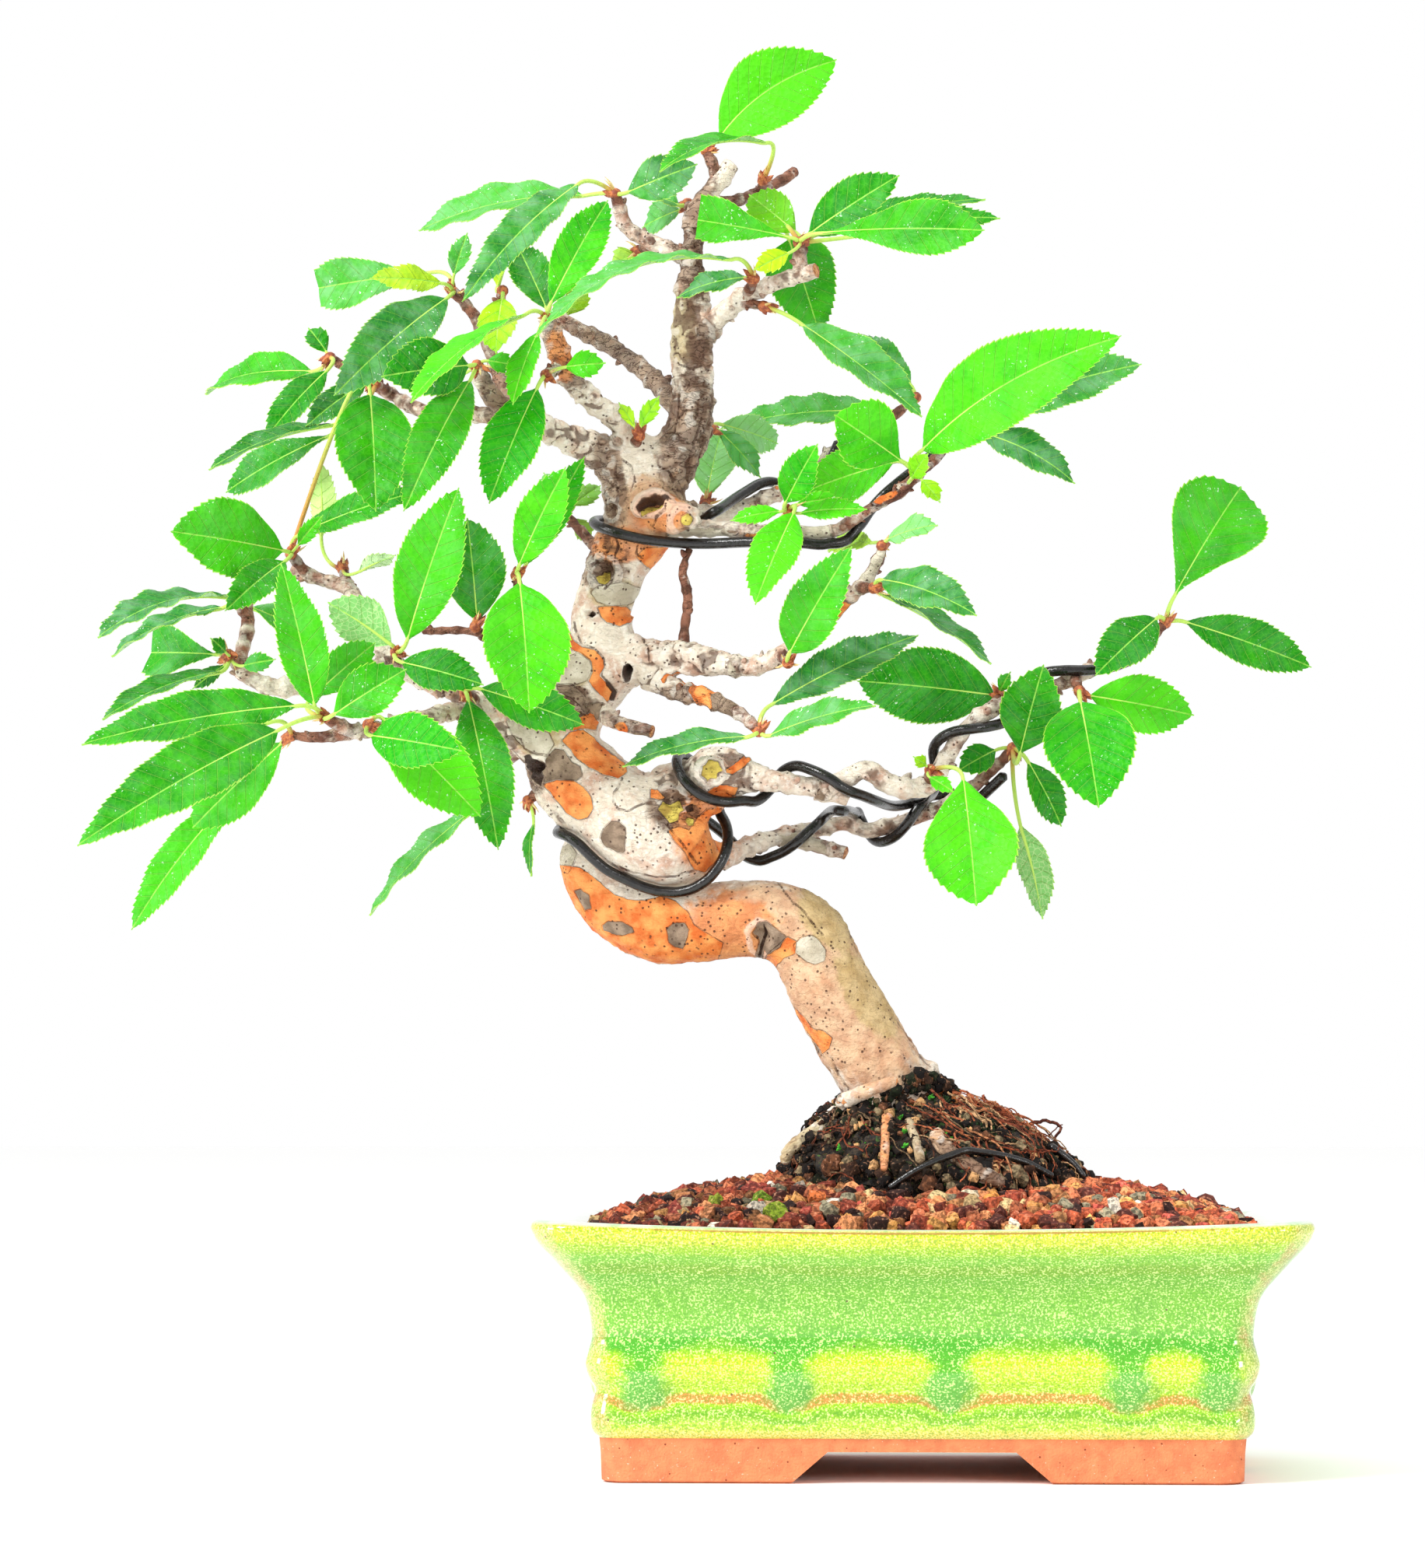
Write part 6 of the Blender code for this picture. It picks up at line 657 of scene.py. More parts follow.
# Ring scars: middle on the board, half widths in board units, turn in degrees, lip and hollow in mm
RINGS = (
    (839, 648, 19, 12, -10, 1.0, 1.9), (879, 671, 14, 15, 0, 0.9, 0.4), (788, 657, 8, 11, 0, 0.7, 0.9),
    (777, 736, 15, 17, 20, 1.0, 1.3), (758, 790, 8, 4, 10, 0.5, 0.9), (807, 863, 6, 10, 10, 0.7, 1.6),
    (873, 873, 19, 10, 8, 0.9, 0.5), (915, 990, 13, 12, 0, 0.9, 0.4), (865, 1028, 18, 13, 20, 1.0, 0.8),
    (978, 1206, 14, 18, -15, 0.5, 1.0), (904, 425, 9, 9, 0, 0.7, 0.4), (762, 510, 7, 7, 0, 0.6, 0.3),
    (736, 508, 8, 8, 0, 0.7, 0.3), (792, 530, 7, 8, 0, 0.6, 0.3), (814, 809, 12, 12, 0, 1.1, 0.3),
    (690, 985, 12, 10, 0, 0.7, 0.9), (794, 568, 8, 8, 0, 0.7, 0.3),
)


def hashed(cells: np.ndarray, seed: int) -> np.ndarray:
    """Scatter whole-number cells: their products with three primes, mixed by shifts, as -1 to 1."""
    mixed = (cells[..., 0] * 73856093) ^ (cells[..., 1] * 19349663) ^ (cells[..., 2] * 83492791)
    mixed = (mixed ^ (seed * 668265263)) * 1274126177
    mixed = (mixed ^ (mixed >> 15)) * 461845907
    return ((mixed ^ (mixed >> 13)) & 0xFFFF) / 32767.5 - 1.0


def chances(count: int, columns: int, seed: int) -> np.ndarray:
    """Return a table of fixed scattered values from -1 to 1, as (count, columns)."""
    row, column = np.meshgrid(np.arange(count), np.arange(columns), indexing="ij")
    return hashed(np.stack((row, column, row // 5 + column), axis=-1), seed)


def cloud(points: np.ndarray, size: float, seed: int, octaves: int = 2) -> np.ndarray:
    """Read a smooth noise at points: scattered lattice values, blended by 3w² - 2w³ in each cell.

    Args:
        points: Places in millimetres, as (..., 3).
        size: The first lattice's cell size; each further octave halves it and its strength.
        seed: Which noise it is.
        octaves: How many lattices are added up.

    Returns:
        The noise, about -1 to 1, one value a place.
    """
    total, strength = np.zeros(points.shape[:-1]), 1.0
    for octave in range(octaves):
        scaled = points / size * 2.0 ** octave
        cell = np.floor(scaled).astype(np.int64)
        inside = scaled - cell
        inside = inside * inside * (3.0 - 2.0 * inside)
        for corner in range(8):
            step = np.array([corner & 1, corner >> 1 & 1, corner >> 2 & 1])
            weight = np.prod(np.where(step == 1, inside, 1.0 - inside), axis=-1)
            total += strength * weight * hashed(cell + step, seed + 7 * octave)
        strength *= 0.5
    return total


def seen(places: np.ndarray) -> np.ndarray:
    """Turn board places (across, down, behind) into points: where the eye's rays meet their depths."""
    places = np.atleast_2d(np.asarray(places, float))
    across = (places[:, :1] - BOARD_MIDDLE[0]) / BOARD_SCALE
    down = (places[:, 1:2] - BOARD_MIDDLE[1]) / BOARD_SCALE
    rays = EYE_DISTANCE * FORWARD + across * RIGHT - down * UPWARD
    return EYE + rays * (places[:, 2:3] + EYE_DISTANCE) / rays[:, 1:2]


def on_board(points: np.ndarray) -> np.ndarray:
    """Return where points show on the board: their offsets from the eye's line over their distance."""
    reach = points - EYE
    ahead = reach @ FORWARD
    scale = EYE_DISTANCE * BOARD_SCALE
    return np.column_stack((BOARD_MIDDLE[0] + scale * (reach @ RIGHT) / ahead,
                            BOARD_MIDDLE[1] - scale * (reach @ UPWARD) / ahead))


def unit(vectors: np.ndarray) -> np.ndarray:
    """Return vectors at length one, along the last axis."""
    vectors = np.asarray(vectors, float)
    return vectors / np.maximum(np.linalg.norm(vectors, axis=-1, keepdims=True), 1e-9)


def smooth_path(points: np.ndarray, spacing: float) -> np.ndarray:
    """Read a smooth curve (Catmull-Rom) through points of any dimension.

    Args:
        points: The points, whose first three columns are a place.
        spacing: The even step along the curve, in millimetres.

    Returns:
        The curve's points, with all the columns.
    """
    points = np.asarray(points, float)
    ends = np.vstack((2 * points[0] - points[1], points, 2 * points[-1] - points[-2]))
    steps = np.linspace(0.0, 1.0, 24, endpoint=False)[:, None]
    dense = []
    for before, start, stop, after in zip(ends, ends[1:], ends[2:], ends[3:]):
        dense.append(0.5 * (2 * start + (stop - before) * steps
                            + (2 * before - 5 * start + 4 * stop - after) * steps ** 2
                            + (3 * start - before - 3 * stop + after) * steps ** 3))
    dense = np.vstack(dense + [points[-1:]])
    along = np.concatenate(([0.0], np.cumsum(np.linalg.norm(np.diff(dense[:, :3], axis=0), axis=1))))
    even = np.linspace(0.0, along[-1], max(2, int(round(along[-1] / spacing)) + 1))
    return np.column_stack([np.interp(even, along, column) for column in dense.T])


def frames_along(path: np.ndarray) -> tuple[np.ndarray, np.ndarray]:
    """Return two directions across a path at each of its points, turned as little as possible.

    Args:
        path: The path's points, as (count, 3).

    Returns:
        The two directions, square to each other and to the path.
    """
    tangents = unit(np.gradient(path, axis=0))
    side = unit(np.cross(tangents[0], (0.31, 0.87, 0.39)))
    sides = []
    for tangent in tangents:
        side = unit(side - tangent * float(side @ tangent))
        sides.append(side)
    return np.array(sides), np.cross(tangents, sides)


@dataclass
class Skin:
    """A mesh in the making.

    faces holds point numbers in rows, filled up with -1. fields are the values that finishes read, one
    a point, and slots says which finish each face wears.
    """

    points: np.ndarray
    faces: np.ndarray
    fields: dict = field(default_factory=dict)
    slots: np.ndarray | None = None

    def with_fields(self, **values) -> "Skin":
        """Set fields, each given as one number or one a point, and return the skin."""
        for name, value in values.items():
            value = np.asarray(value, float)
            shape = (len(self.points), 4) if value.ndim and value.shape[-1] == 4 else (len(self.points),)
            self.fields[name] = np.broadcast_to(value, shape)
        return self

    def wearing(self, slot: int) -> "Skin":
        """Give every face one finish, and return the skin."""
        self.slots = np.full(len(self.faces), slot)
        return self

    def outward(self) -> "Skin":
        """Turn a closed skin's faces out: its signed volume, a sum over them, is made positive."""
        a, b, c = (self.points[self.faces[:, k]] for k in range(3))
        volume = float(np.einsum("ij,ij->", a, np.cross(b, c)))
        if self.faces.shape[1] > 3:
            whole = self.faces[:, 3] >= 0
            d = self.points[self.faces[whole, 3]]
            volume += float(np.einsum("ij,ij->", a[whole], np.cross(c[whole], d)))
        if volume < 0.0:
            count = (self.faces >= 0).sum(axis=1, keepdims=True)
            order = np.arange(self.faces.shape[1])[None]
            back = np.where(order < count, count - 1 - order, order)
            self.faces = np.take_along_axis(self.faces, back, axis=1)
        return self


def joined(skins: list[Skin]) -> Skin:
    """Put skins in one, keeping each one's faces, fields and finishes.

    Args:
        skins: The skins. One without a field gets 0 in it, and one without slots gets slot 0.

    Returns:
        One skin with all the faces.
    """
    width = max(skin.faces.shape[1] for skin in skins)
    names = {name for skin in skins for name in skin.fields}
    points, faces, slots, start = [], [], [], 0
    for skin in skins:
        padded = np.full((len(skin.faces), width), -1)
        padded[:, :skin.faces.shape[1]] = np.where(skin.faces >= 0, skin.faces + start, -1)
        faces.append(padded)
        points.append(skin.points)
        slots.append(np.zeros(len(skin.faces), int) if skin.slots is None else skin.slots)
        start += len(skin.points)
    fields = {name: np.concatenate([skin.fields.get(name, np.zeros(len(skin.points))) for skin in skins])
              for name in sorted(names)}
    return Skin(np.vstack(points), np.vstack(faces), fields, np.concatenate(slots))


def skin_heights(skin: Skin) -> np.ndarray:
    """Return the height of each face's first corner."""
    return skin.points[skin.faces[:, 0], 2]


def part_of(skin: Skin, faces: np.ndarray) -> Skin:
    """Return a skin with only some of another's faces, and the points that they use."""
    kept = skin.faces[faces]
    used = np.unique(kept[kept >= 0])
    number = np.full(len(skin.points) + 1, -1)
    number[used] = np.arange(len(used))
    return Skin(skin.points[used], number[kept], {name: value[used] for name, value in skin.fields.items()})


def ring_faces(rows: int, ring: int) -> np.ndarray:
    """Join closed rings in order, with squares and one flat face at each end.

    Args:
        rows: How many rings there are.
        ring: How many points a ring has.

    Returns:
        The faces, in rows filled up with -1.
    """
    row, step = np.meshgrid(np.arange(rows - 1), np.arange(ring), indexing="ij")
    a = (row * ring + step).ravel()
    b = (row * ring + (step + 1) % ring).ravel()
    width = max(4, ring)
    faces = np.full(((rows - 1) * ring + 2, width), -1)
    faces[:-2, :4] = np.column_stack((a, b, b + ring, a + ring))
    faces[-2, :ring] = np.arange(ring)[::-1]
    faces[-1, :ring] = (rows - 1) * ring + np.arange(ring)
    return faces


def lofted(rings: np.ndarray) -> Skin:
    """Join rings, as (rows, ring, 3), into one closed skin."""
    return Skin(rings.reshape(-1, 3), ring_faces(*rings.shape[:2])).outward()


def tube(line: np.ndarray, radii: np.ndarray, sides: int, rounded: bool = False) -> Skin:
    """Carry a circle along a line: point = line + radius (cos a · across + sin a · up).

    Args:
        line: The centre line, as (rows, 3).
        radii: The radius at each of its points.
        sides: How many points a ring has.
        rounded: Whether both ends are drawn in to a small round nose.

    Returns:
        The closed tube, with the field along from 0 to 1.
    """
    if rounded:
        noses = np.array([0.35, 0.8])
        heads = [line[0] - unit(line[1] - line[0]) * radii[0] * (1 - n) for n in noses]
        tails = [line[-1] + unit(line[-1] - line[-2]) * radii[-1] * (1 - n) for n in noses[::-1]]
        line = np.vstack((heads, line, tails))
        radii = np.concatenate((radii[0] * noses, radii, radii[-1] * noses[::-1]))
    across, upward = frames_along(line)
    angles = np.arange(sides) * 2.0 * math.pi / sides
    rings = line[:, None] + radii[:, None, None] * (np.cos(angles)[None, :, None] * across[:, None]
                                                    + np.sin(angles)[None, :, None] * upward[:, None])
    share = np.repeat(np.linspace(0.0, 1.0, len(line)), sides)
    return lofted(rings).with_fields(along=share)


def bundle(lines: np.ndarray, radii: np.ndarray, sides: int = 4) -> Skin:
    """Make many thin tubes at once, each ring square to its line's own direction.

    Args:
        lines: Centre lines, as (count, rows, 3).
        radii: Their radii, as (count, rows).
        sides: How many points a ring has.

    Returns:
        All the tubes, with the fields along and pick, which is one value a tube.
    """
    count, rows = lines.shape[:2]
    tangents = unit(np.gradient(lines, axis=1))
    across = unit(np.cross(tangents, (0.36, 0.48, 0.8)))
    upward = np.cross(tangents, across)
    angles = np.arange(sides) * 2.0 * math.pi / sides
    rings = lines[:, :, None] + radii[:, :, None, None] * (
        np.cos(angles)[:, None] * across[:, :, None] + np.sin(angles)[:, None] * upward[:, :, None])
    base = ring_faces(rows, sides)
    starts = np.arange(count)[:, None, None] * rows * sides
    faces = np.where(base[None] >= 0, base[None] + starts, -1).reshape(-1, base.shape[1])
    skin = Skin(rings.reshape(-1, 3), faces).outward()
    return skin.with_fields(along=np.tile(np.repeat(np.linspace(0.0, 1.0, rows), sides), count),
                            pick=np.repeat(chances(count, 1, 4)[:, 0], rows * sides))


def turned(points: np.ndarray, angles: np.ndarray) -> np.ndarray:
    """Turn each set of points about X, then Y, then Z, by its own three angles.

    Args:
        points: The sets, as (count, points, 3), which are turned in place.
        angles: The three angles of each, in radians.

    Returns:
        The points.
    """
    for axis in range(3):
        first, second = (axis + 1) % 3, (axis + 2) % 3
        cos, sin = np.cos(angles[:, axis])[:, None], np.sin(angles[:, axis])[:, None]
        a, b = points[..., first].copy(), points[..., second].copy()
        points[..., first], points[..., second] = cos * a - sin * b, sin * a + cos * b
    return points


def lump_faces() -> np.ndarray:
    """Return the 24 squares of a cube's surface that is split in two along each edge."""
    number = np.full((3, 3, 3), -1)
    outer = np.ones((3, 3, 3), bool)
    outer[1, 1, 1] = False
    number[outer] = np.arange(26)
    squares = []
    for axis in range(3):
        for side in (0, 2):
            sheet = np.take(number, side, axis=axis)
            square = np.stack((sheet[:-1, :-1], sheet[1:, :-1], sheet[1:, 1:], sheet[:-1, 1:]), axis=-1)
            square = square.reshape(-1, 4)
            squares.append(square if (side == 2) == (axis != 1) else square[:, ::-1])
    return np.vstack(squares)


def lumps(places: np.ndarray, sizes: np.ndarray, stretch: np.ndarray, turns: np.ndarray,
          own: np.ndarray) -> Skin:
    """Make lumps: a cube's surface drawn half way to a ball, stretched on three axes and dented.

    Args:
        places: The lumps' middles.
        sizes: Their half sizes.
        stretch: From -1 to 1, how long each is on its three axes.
        turns: From -1 to 1, how far each is turned about them.
        own: Each lump's colour.

    Returns:
        The skin, with the field own.
    """
    count = len(places)
    grid = np.stack(np.meshgrid((-1, 0, 1), (-1, 0, 1), (-1, 0, 1), indexing="ij"), axis=-1).reshape(-1, 3)
    lump = grid[np.abs(grid).max(axis=1) > 0].astype(float)
    lump = 0.45 * lump + 0.55 * unit(lump)
    dents = 1.0 + 0.18 * chances(count, 26, 97)
    points = lump[None] * dents[..., None] * (sizes[:, None] * (1.0 + 0.28 * stretch))[:, None]
    points = turned(points, turns * math.pi) + places[:, None]
    faces = lump_faces()[None] + (np.arange(count) * 26)[:, None, None]
    skin = Skin(points.reshape(-1, 3), faces.reshape(-1, 4))
    return skin.outward().with_fields(own=np.repeat(own, 26, axis=0))


def put_in_scene(name: str, skin: Skin, finishes: list, sharp: float = 50.0) -> bpy.types.Object:
    """Make a piece of the scene from a skin.

    Args:
        name: The piece's name.
        skin: The skin, in millimetres from the pot's middle.
        finishes: The materials that the skin's slots name.
        sharp: The angle in degrees from which an edge is shaded sharp.

    Returns:
        The object, at the origin, with its place in its mesh.
    """
    mesh = bpy.data.meshes.new(name)
    corners = skin.faces[skin.faces >= 0]
    sizes = (skin.faces >= 0).sum(axis=1)
    mesh.vertices.add(len(skin.points))
    mesh.vertices.foreach_set("co", ((skin.points + ORIGIN) * MILLIMETRE).ravel())
    mesh.loops.add(len(corners))
    mesh.loops.foreach_set("vertex_index", corners)
    mesh.polygons.add(len(sizes))
    mesh.polygons.foreach_set("loop_start", np.concatenate(([0], np.cumsum(sizes)[:-1])))
    if skin.slots is not None:
        mesh.polygons.foreach_set("material_index", skin.slots)
    mesh.update(calc_edges=True)
    for finish in finishes:
        mesh.materials.append(finish)
    write_fields(mesh, skin.fields)
    mesh.shade_smooth()
    mesh.set_sharp_from_angle(angle=math.radians(sharp))
    piece = bpy.data.objects.new(name, mesh)
    bpy.context.scene.collection.objects.link(piece)
    return piece


def write_fields(mesh: bpy.types.Mesh, fields: dict) -> None:
    """Write fields into a mesh: a number a point, or a colour where a field has four columns."""
    for name, value in fields.items():
        colour = value.ndim == 2
        layer = mesh.attributes.new(name, "FLOAT_COLOR" if colour else "FLOAT", "POINT")
        layer.data.foreach_set("color" if colour else "value", np.ascontiguousarray(value).ravel())


def read_skin(piece: bpy.types.Object) -> Skin:
    """Read an object's evaluated mesh back as a skin, and remove the object.

    Args:
        piece: The object.

    Returns:
        The skin, in millimetres from the pot's middle, without fields.
    """
    graph = bpy.context.evaluated_depsgraph_get()
    mesh = bpy.data.meshes.new_from_object(piece.evaluated_get(graph))
    points = np.empty(len(mesh.vertices) * 3)
    mesh.vertices.foreach_get("co", points)
    sizes = np.empty(len(mesh.polygons), np.int64)
    mesh.polygons.foreach_get("loop_total", sizes)
    corners = np.empty(len(mesh.loops), np.int64)
    mesh.loops.foreach_get("vertex_index", corners)
    faces = np.full((len(sizes), max(4, int(sizes.max()))), -1)
    faces[np.arange(faces.shape[1])[None] < sizes[:, None]] = corners
    bpy.data.objects.remove(piece, do_unlink=True)
    bpy.data.meshes.remove(mesh)
    return Skin(points.reshape(-1, 3) * METRE - ORIGIN, faces)


def point_normals(skin: Skin) -> np.ndarray:
    """Return each point's outward direction: the sum of its faces' crossed diagonals, at length one.

    Args:
        skin: The closed skin.

    Returns:
        The directions, as (count, 3).
    """
    a, b, c = (skin.points[skin.faces[:, k]] for k in range(3))
    d = np.where((skin.faces[:, 3] >= 0)[:, None], skin.points[skin.faces[:, 3]], a)
    across = np.cross(c - a, d - b)
    normals = np.zeros_like(skin.points)
    for column in range(4):
        whole = skin.faces[:, column] >= 0
        np.add.at(normals, skin.faces[whole, column], across[whole])
    return unit(normals)


Socket = bpy.types.NodeSocket
Value = Socket | float | tuple | str
PAINT = 0.84


def colour(code: str) -> tuple:
    """Turn a colour as it looks when lit, six hexadecimal figures, into the shader's linear numbers.

    The lights give more than white's worth, so the paint is a little darker than the lit colour.
    """
    parts = [int(code[k:k + 2], 16) / 255.0 for k in (0, 2, 4)]
    parts = [p / 12.92 if p <= 0.04045 else ((p + 0.055) / 1.055) ** 2.4 for p in parts]
    return (*(PAINT * p for p in parts), 1.0)


class Recipe:
    """A finish's node tree, with a short call for each kind of node that the finishes use."""

    def __init__(self, name: str, roughness: float | None = None) -> None:
        """Start a material.

        Args:
            name: The material's name.
            roughness: One roughness for the whole surface, or None where nodes give it.
        """
        self.material = bpy.data.materials.new(name)
        self.material.use_nodes = True
        self.tree = self.material.node_tree
        self.shader = self.tree.nodes["Principled BSDF"]
        self.place = self.tree.nodes.new("ShaderNodeTexCoord").outputs["Object"]
        if roughness is not None:
            self.shader.inputs["Roughness"].default_value = roughness

    def feed(self, socket: Socket, value: Value) -> None:
        """Link a value's socket to an input, or set the input to a plain value."""
        if isinstance(value, bpy.types.NodeSocket):
            self.tree.links.new(value, socket)
        else:
            socket.default_value = value

    def read(self, name: str) -> Socket:
        """Return a field's value."""
        node = self.tree.nodes.new("ShaderNodeAttribute")
        node.attribute_name = name
        return node.outputs["Fac"]

    def read_colour(self, name: str) -> Socket:
        """Return a colour field's value."""
        node = self.tree.nodes.new("ShaderNodeAttribute")
        node.attribute_name = name
        return node.outputs["Color"]

    def noise(self, size: float, detail: float = 2.0, bend: float = 0.0,
              stretch: tuple | None = None) -> Socket:
        """Return a smooth noise from 0 to 1 whose grains are about size millimetres.

        Args:
            size: The size of its grains.
            detail: How many finer noises are added.
            bend: How far the noise bends itself.
            stretch: Three factors on the place, or None.

        Returns:
            The noise.
        """
        node = self.tree.nodes.new("ShaderNodeTexNoise")
        node.inputs["Scale"].default_value = METRE / size
        node.inputs["Detail"].default_value = detail
        node.inputs["Distortion"].default_value = bend
        self.feed(node.inputs["Vector"], self.squeezed(stretch))
        return node.outputs["Fac"]

    def squeezed(self, stretch: tuple | None) -> Socket:
        """Return the place that a pattern reads, squeezed by three factors where they are given.

        Args:
            stretch: The factors, or None.

        Returns:
            The place.
        """
        if stretch is None:
            return self.place
        mapping = self.tree.nodes.new("ShaderNodeMapping")
        mapping.inputs["Scale"].default_value = stretch
        self.feed(mapping.inputs["Vector"], self.place)
        return mapping.outputs["Vector"]

    def cells(self, size: float, edge: bool = False, stretch: tuple | None = None) -> Socket:
        """Return the distance to the nearest of scattered points, or to the border between them."""
        node = self.tree.nodes.new("ShaderNodeTexVoronoi")
        node.feature = "DISTANCE_TO_EDGE" if edge else "F1"
        node.inputs["Scale"].default_value = METRE / size
        self.feed(node.inputs["Vector"], self.squeezed(stretch))
        return node.outputs["Distance"]

    def sum(self, operation: str, *values: Value) -> Socket:
        """Return a sum of one or two values, such as ADD, MULTIPLY, MAXIMUM or ABSOLUTE."""
        node = self.tree.nodes.new("ShaderNodeMath")
        node.operation = operation
        for socket, value in zip(node.inputs, values):
            self.feed(socket, value)
        return node.outputs[0]

    def band(self, value: Value, low: float, high: float) -> Socket:
        """Return 0 below low and 1 above high, smoothly, or the other way round if low is over high.

        Args:
            value: What is compared.
            low: Where it is 0.
            high: Where it is 1.

        Returns:
            The share.
        """
        node = self.tree.nodes.new("ShaderNodeMapRange")
        node.interpolation_type = "SMOOTHSTEP"
        self.feed(node.inputs["Value"], value)
        for name, number in (("From Min", min(low, high)), ("From Max", max(low, high)),
                             ("To Min", float(low > high)), ("To Max", float(low < high))):
            node.inputs[name].default_value = number
        return node.outputs["Result"]

    def mix(self, share: Value, under: Value, over: Value) -> Socket:
        """Return a colour: under where share is 0, and over where it is 1.

        Args:
            share: The share of over, from 0 to 1.
            under: A colour or its code.
            over: A colour or its code.

        Returns:
            The mixed colour.
        """
        node = self.tree.nodes.new("ShaderNodeMix")
        node.data_type = "RGBA"
        self.feed(node.inputs[0], share)
        for socket, value in ((node.inputs[6], under), (node.inputs[7], over)):
            self.feed(socket, colour(value) if isinstance(value, str) else value)
        return node.outputs[2]

    def scaled(self, share: Value, factor: float) -> Socket:
        """Return a share made weaker by a factor."""
        return self.sum("MULTIPLY", share, factor)

    def rough(self, share: Value, smooth: float, coarse: float) -> None:
        """Set the roughness: smooth where share is 0, and coarse where it is 1."""
        node = self.tree.nodes.new("ShaderNodeMapRange")
        self.feed(node.inputs["Value"], share)
        node.inputs["To Min"].default_value = smooth
        node.inputs["To Max"].default_value = coarse
        self.feed(self.shader.inputs["Roughness"], node.outputs["Result"])

    def bump(self, relief: Value, depth: float) -> None:
        """Add relief of a depth in millimetres over the relief that is there.

        Args:
            relief: The height, from 0 to 1.
            depth: How high 1 stands, in millimetres.
        """
        node = self.tree.nodes.new("ShaderNodeBump")
        node.inputs["Distance"].default_value = depth / METRE
        self.feed(node.inputs["Height"], relief)
        socket = self.shader.inputs["Normal"]
        if socket.is_linked:
            self.feed(node.inputs["Normal"], socket.links[0].from_socket)
        self.feed(socket, node.outputs["Normal"])

    def done(self, base: Value) -> bpy.types.Material:
        """Set the base colour and return the material."""
        self.feed(self.shader.inputs["Base Color"], colour(base) if isinstance(base, str) else base)
        return self.material


@dataclass(frozen=True)
class LeafFinish:
    """A living leaf: two greens that cloud into each other, pale ribs and a paler under side, with a
    painted sheen, painted glints and a painted highlight between the veins.
    """

    name: str
    lit: str
    deep: str
    under: str
    # How strongly a painted sheen, pale bluish green, clouds the upper face; it also sets how strong the
    # painted glints are.
    painted_sheen: float

    def make(self) -> bpy.types.Material:
        """Return the material.

        Returns:
            The leaf's material, which reads the fields upper, off_rib, vein, edge, young, tint, stalk.
        """
        recipe = Recipe(self.name)
        clouds = recipe.sum("ADD", recipe.scaled(recipe.band(recipe.noise(7.0), 0.3, 0.7), 0.4),
                            recipe.read("tint"))
        upper = recipe.mix(recipe.band(clouds, 0.05, 0.95), self.lit, self.deep)
        net = recipe.band(recipe.cells(1.15, edge=True), 0.09, 0.0)
        upper = recipe.mix(recipe.scaled(net, 0.16), upper, "7fdc3a")
        # Painted sheen: pale bluish clouds over the upper face, stronger on the dull and pale leaves.
        painted_sheen = recipe.band(recipe.noise(4.0, 6.0), 0.36, 0.7)
        upper = recipe.mix(recipe.scaled(painted_sheen, self.painted_sheen), upper, "9cc8a4")
        under = recipe.mix(recipe.scaled(net, 0.5), self.under, "d8ecb0")
        base = recipe.mix(recipe.read("upper"), under, upper)
        base = recipe.mix(recipe.scaled(recipe.read("young"), 0.9), base, "cdf21c")
        crossing = recipe.sum("ABSOLUTE", recipe.sum("SUBTRACT", recipe.sum(
            "FRACT", recipe.read("vein")), 0.5))
        vein = recipe.band(crossing, 0.06, 0.01)
        # Painted highlight: the upper face lighter, toward the lit green, on the pillows between the side
        # veins.
        pillow_highlight = recipe.sum("MULTIPLY", recipe.band(crossing, 0.1, 0.42), recipe.read("upper"))
        base = recipe.mix(recipe.scaled(pillow_highlight, 0.2), base, self.lit)
        rib = recipe.band(recipe.sum("ADD", recipe.read("off_rib"),
                                     recipe.scaled(recipe.noise(1.2), 0.1)), 0.26, 0.12)
        base = recipe.mix(recipe.scaled(vein, 0.34), base, "93dc50")
        base = recipe.mix(recipe.scaled(rib, 0.7), base, "a9e860")
        edge = recipe.band(recipe.read("edge"), 0.968, 1.0)
        base = recipe.mix(recipe.scaled(edge, 0.7), base, "c4ee5a")
        # Painted glints: sparse near-white specks on the upper face, more of them where the painted sheen
        # is stronger.
        glint_grain = recipe.band(recipe.noise(0.55, 1.0), 0.68, 0.73)
        glint_specks = recipe.sum("MULTIPLY", glint_grain, recipe.band(recipe.noise(4.5, 2.0), 0.5, 0.6))
        glint_specks = recipe.sum("MULTIPLY", glint_specks, recipe.read("upper"))
        base = recipe.mix(recipe.scaled(glint_specks, 0.4 + self.painted_sheen), base, "f2fff0")
        stalk = recipe.mix(recipe.band(recipe.read("along"), 0.5, 0.0), "bfe36a", "c98a4a")
        base = recipe.mix(recipe.read("stalk"), base, stalk)
        recipe.rough(recipe.noise(0.9), 0.3, 0.6)
        relief = recipe.sum("SUBTRACT", recipe.cells(1.15), recipe.scaled(vein, 0.8))
        recipe.bump(relief, 0.16)
        recipe.shader.inputs["Specular IOR Level"].default_value = 0.13
        return recipe.done(base)


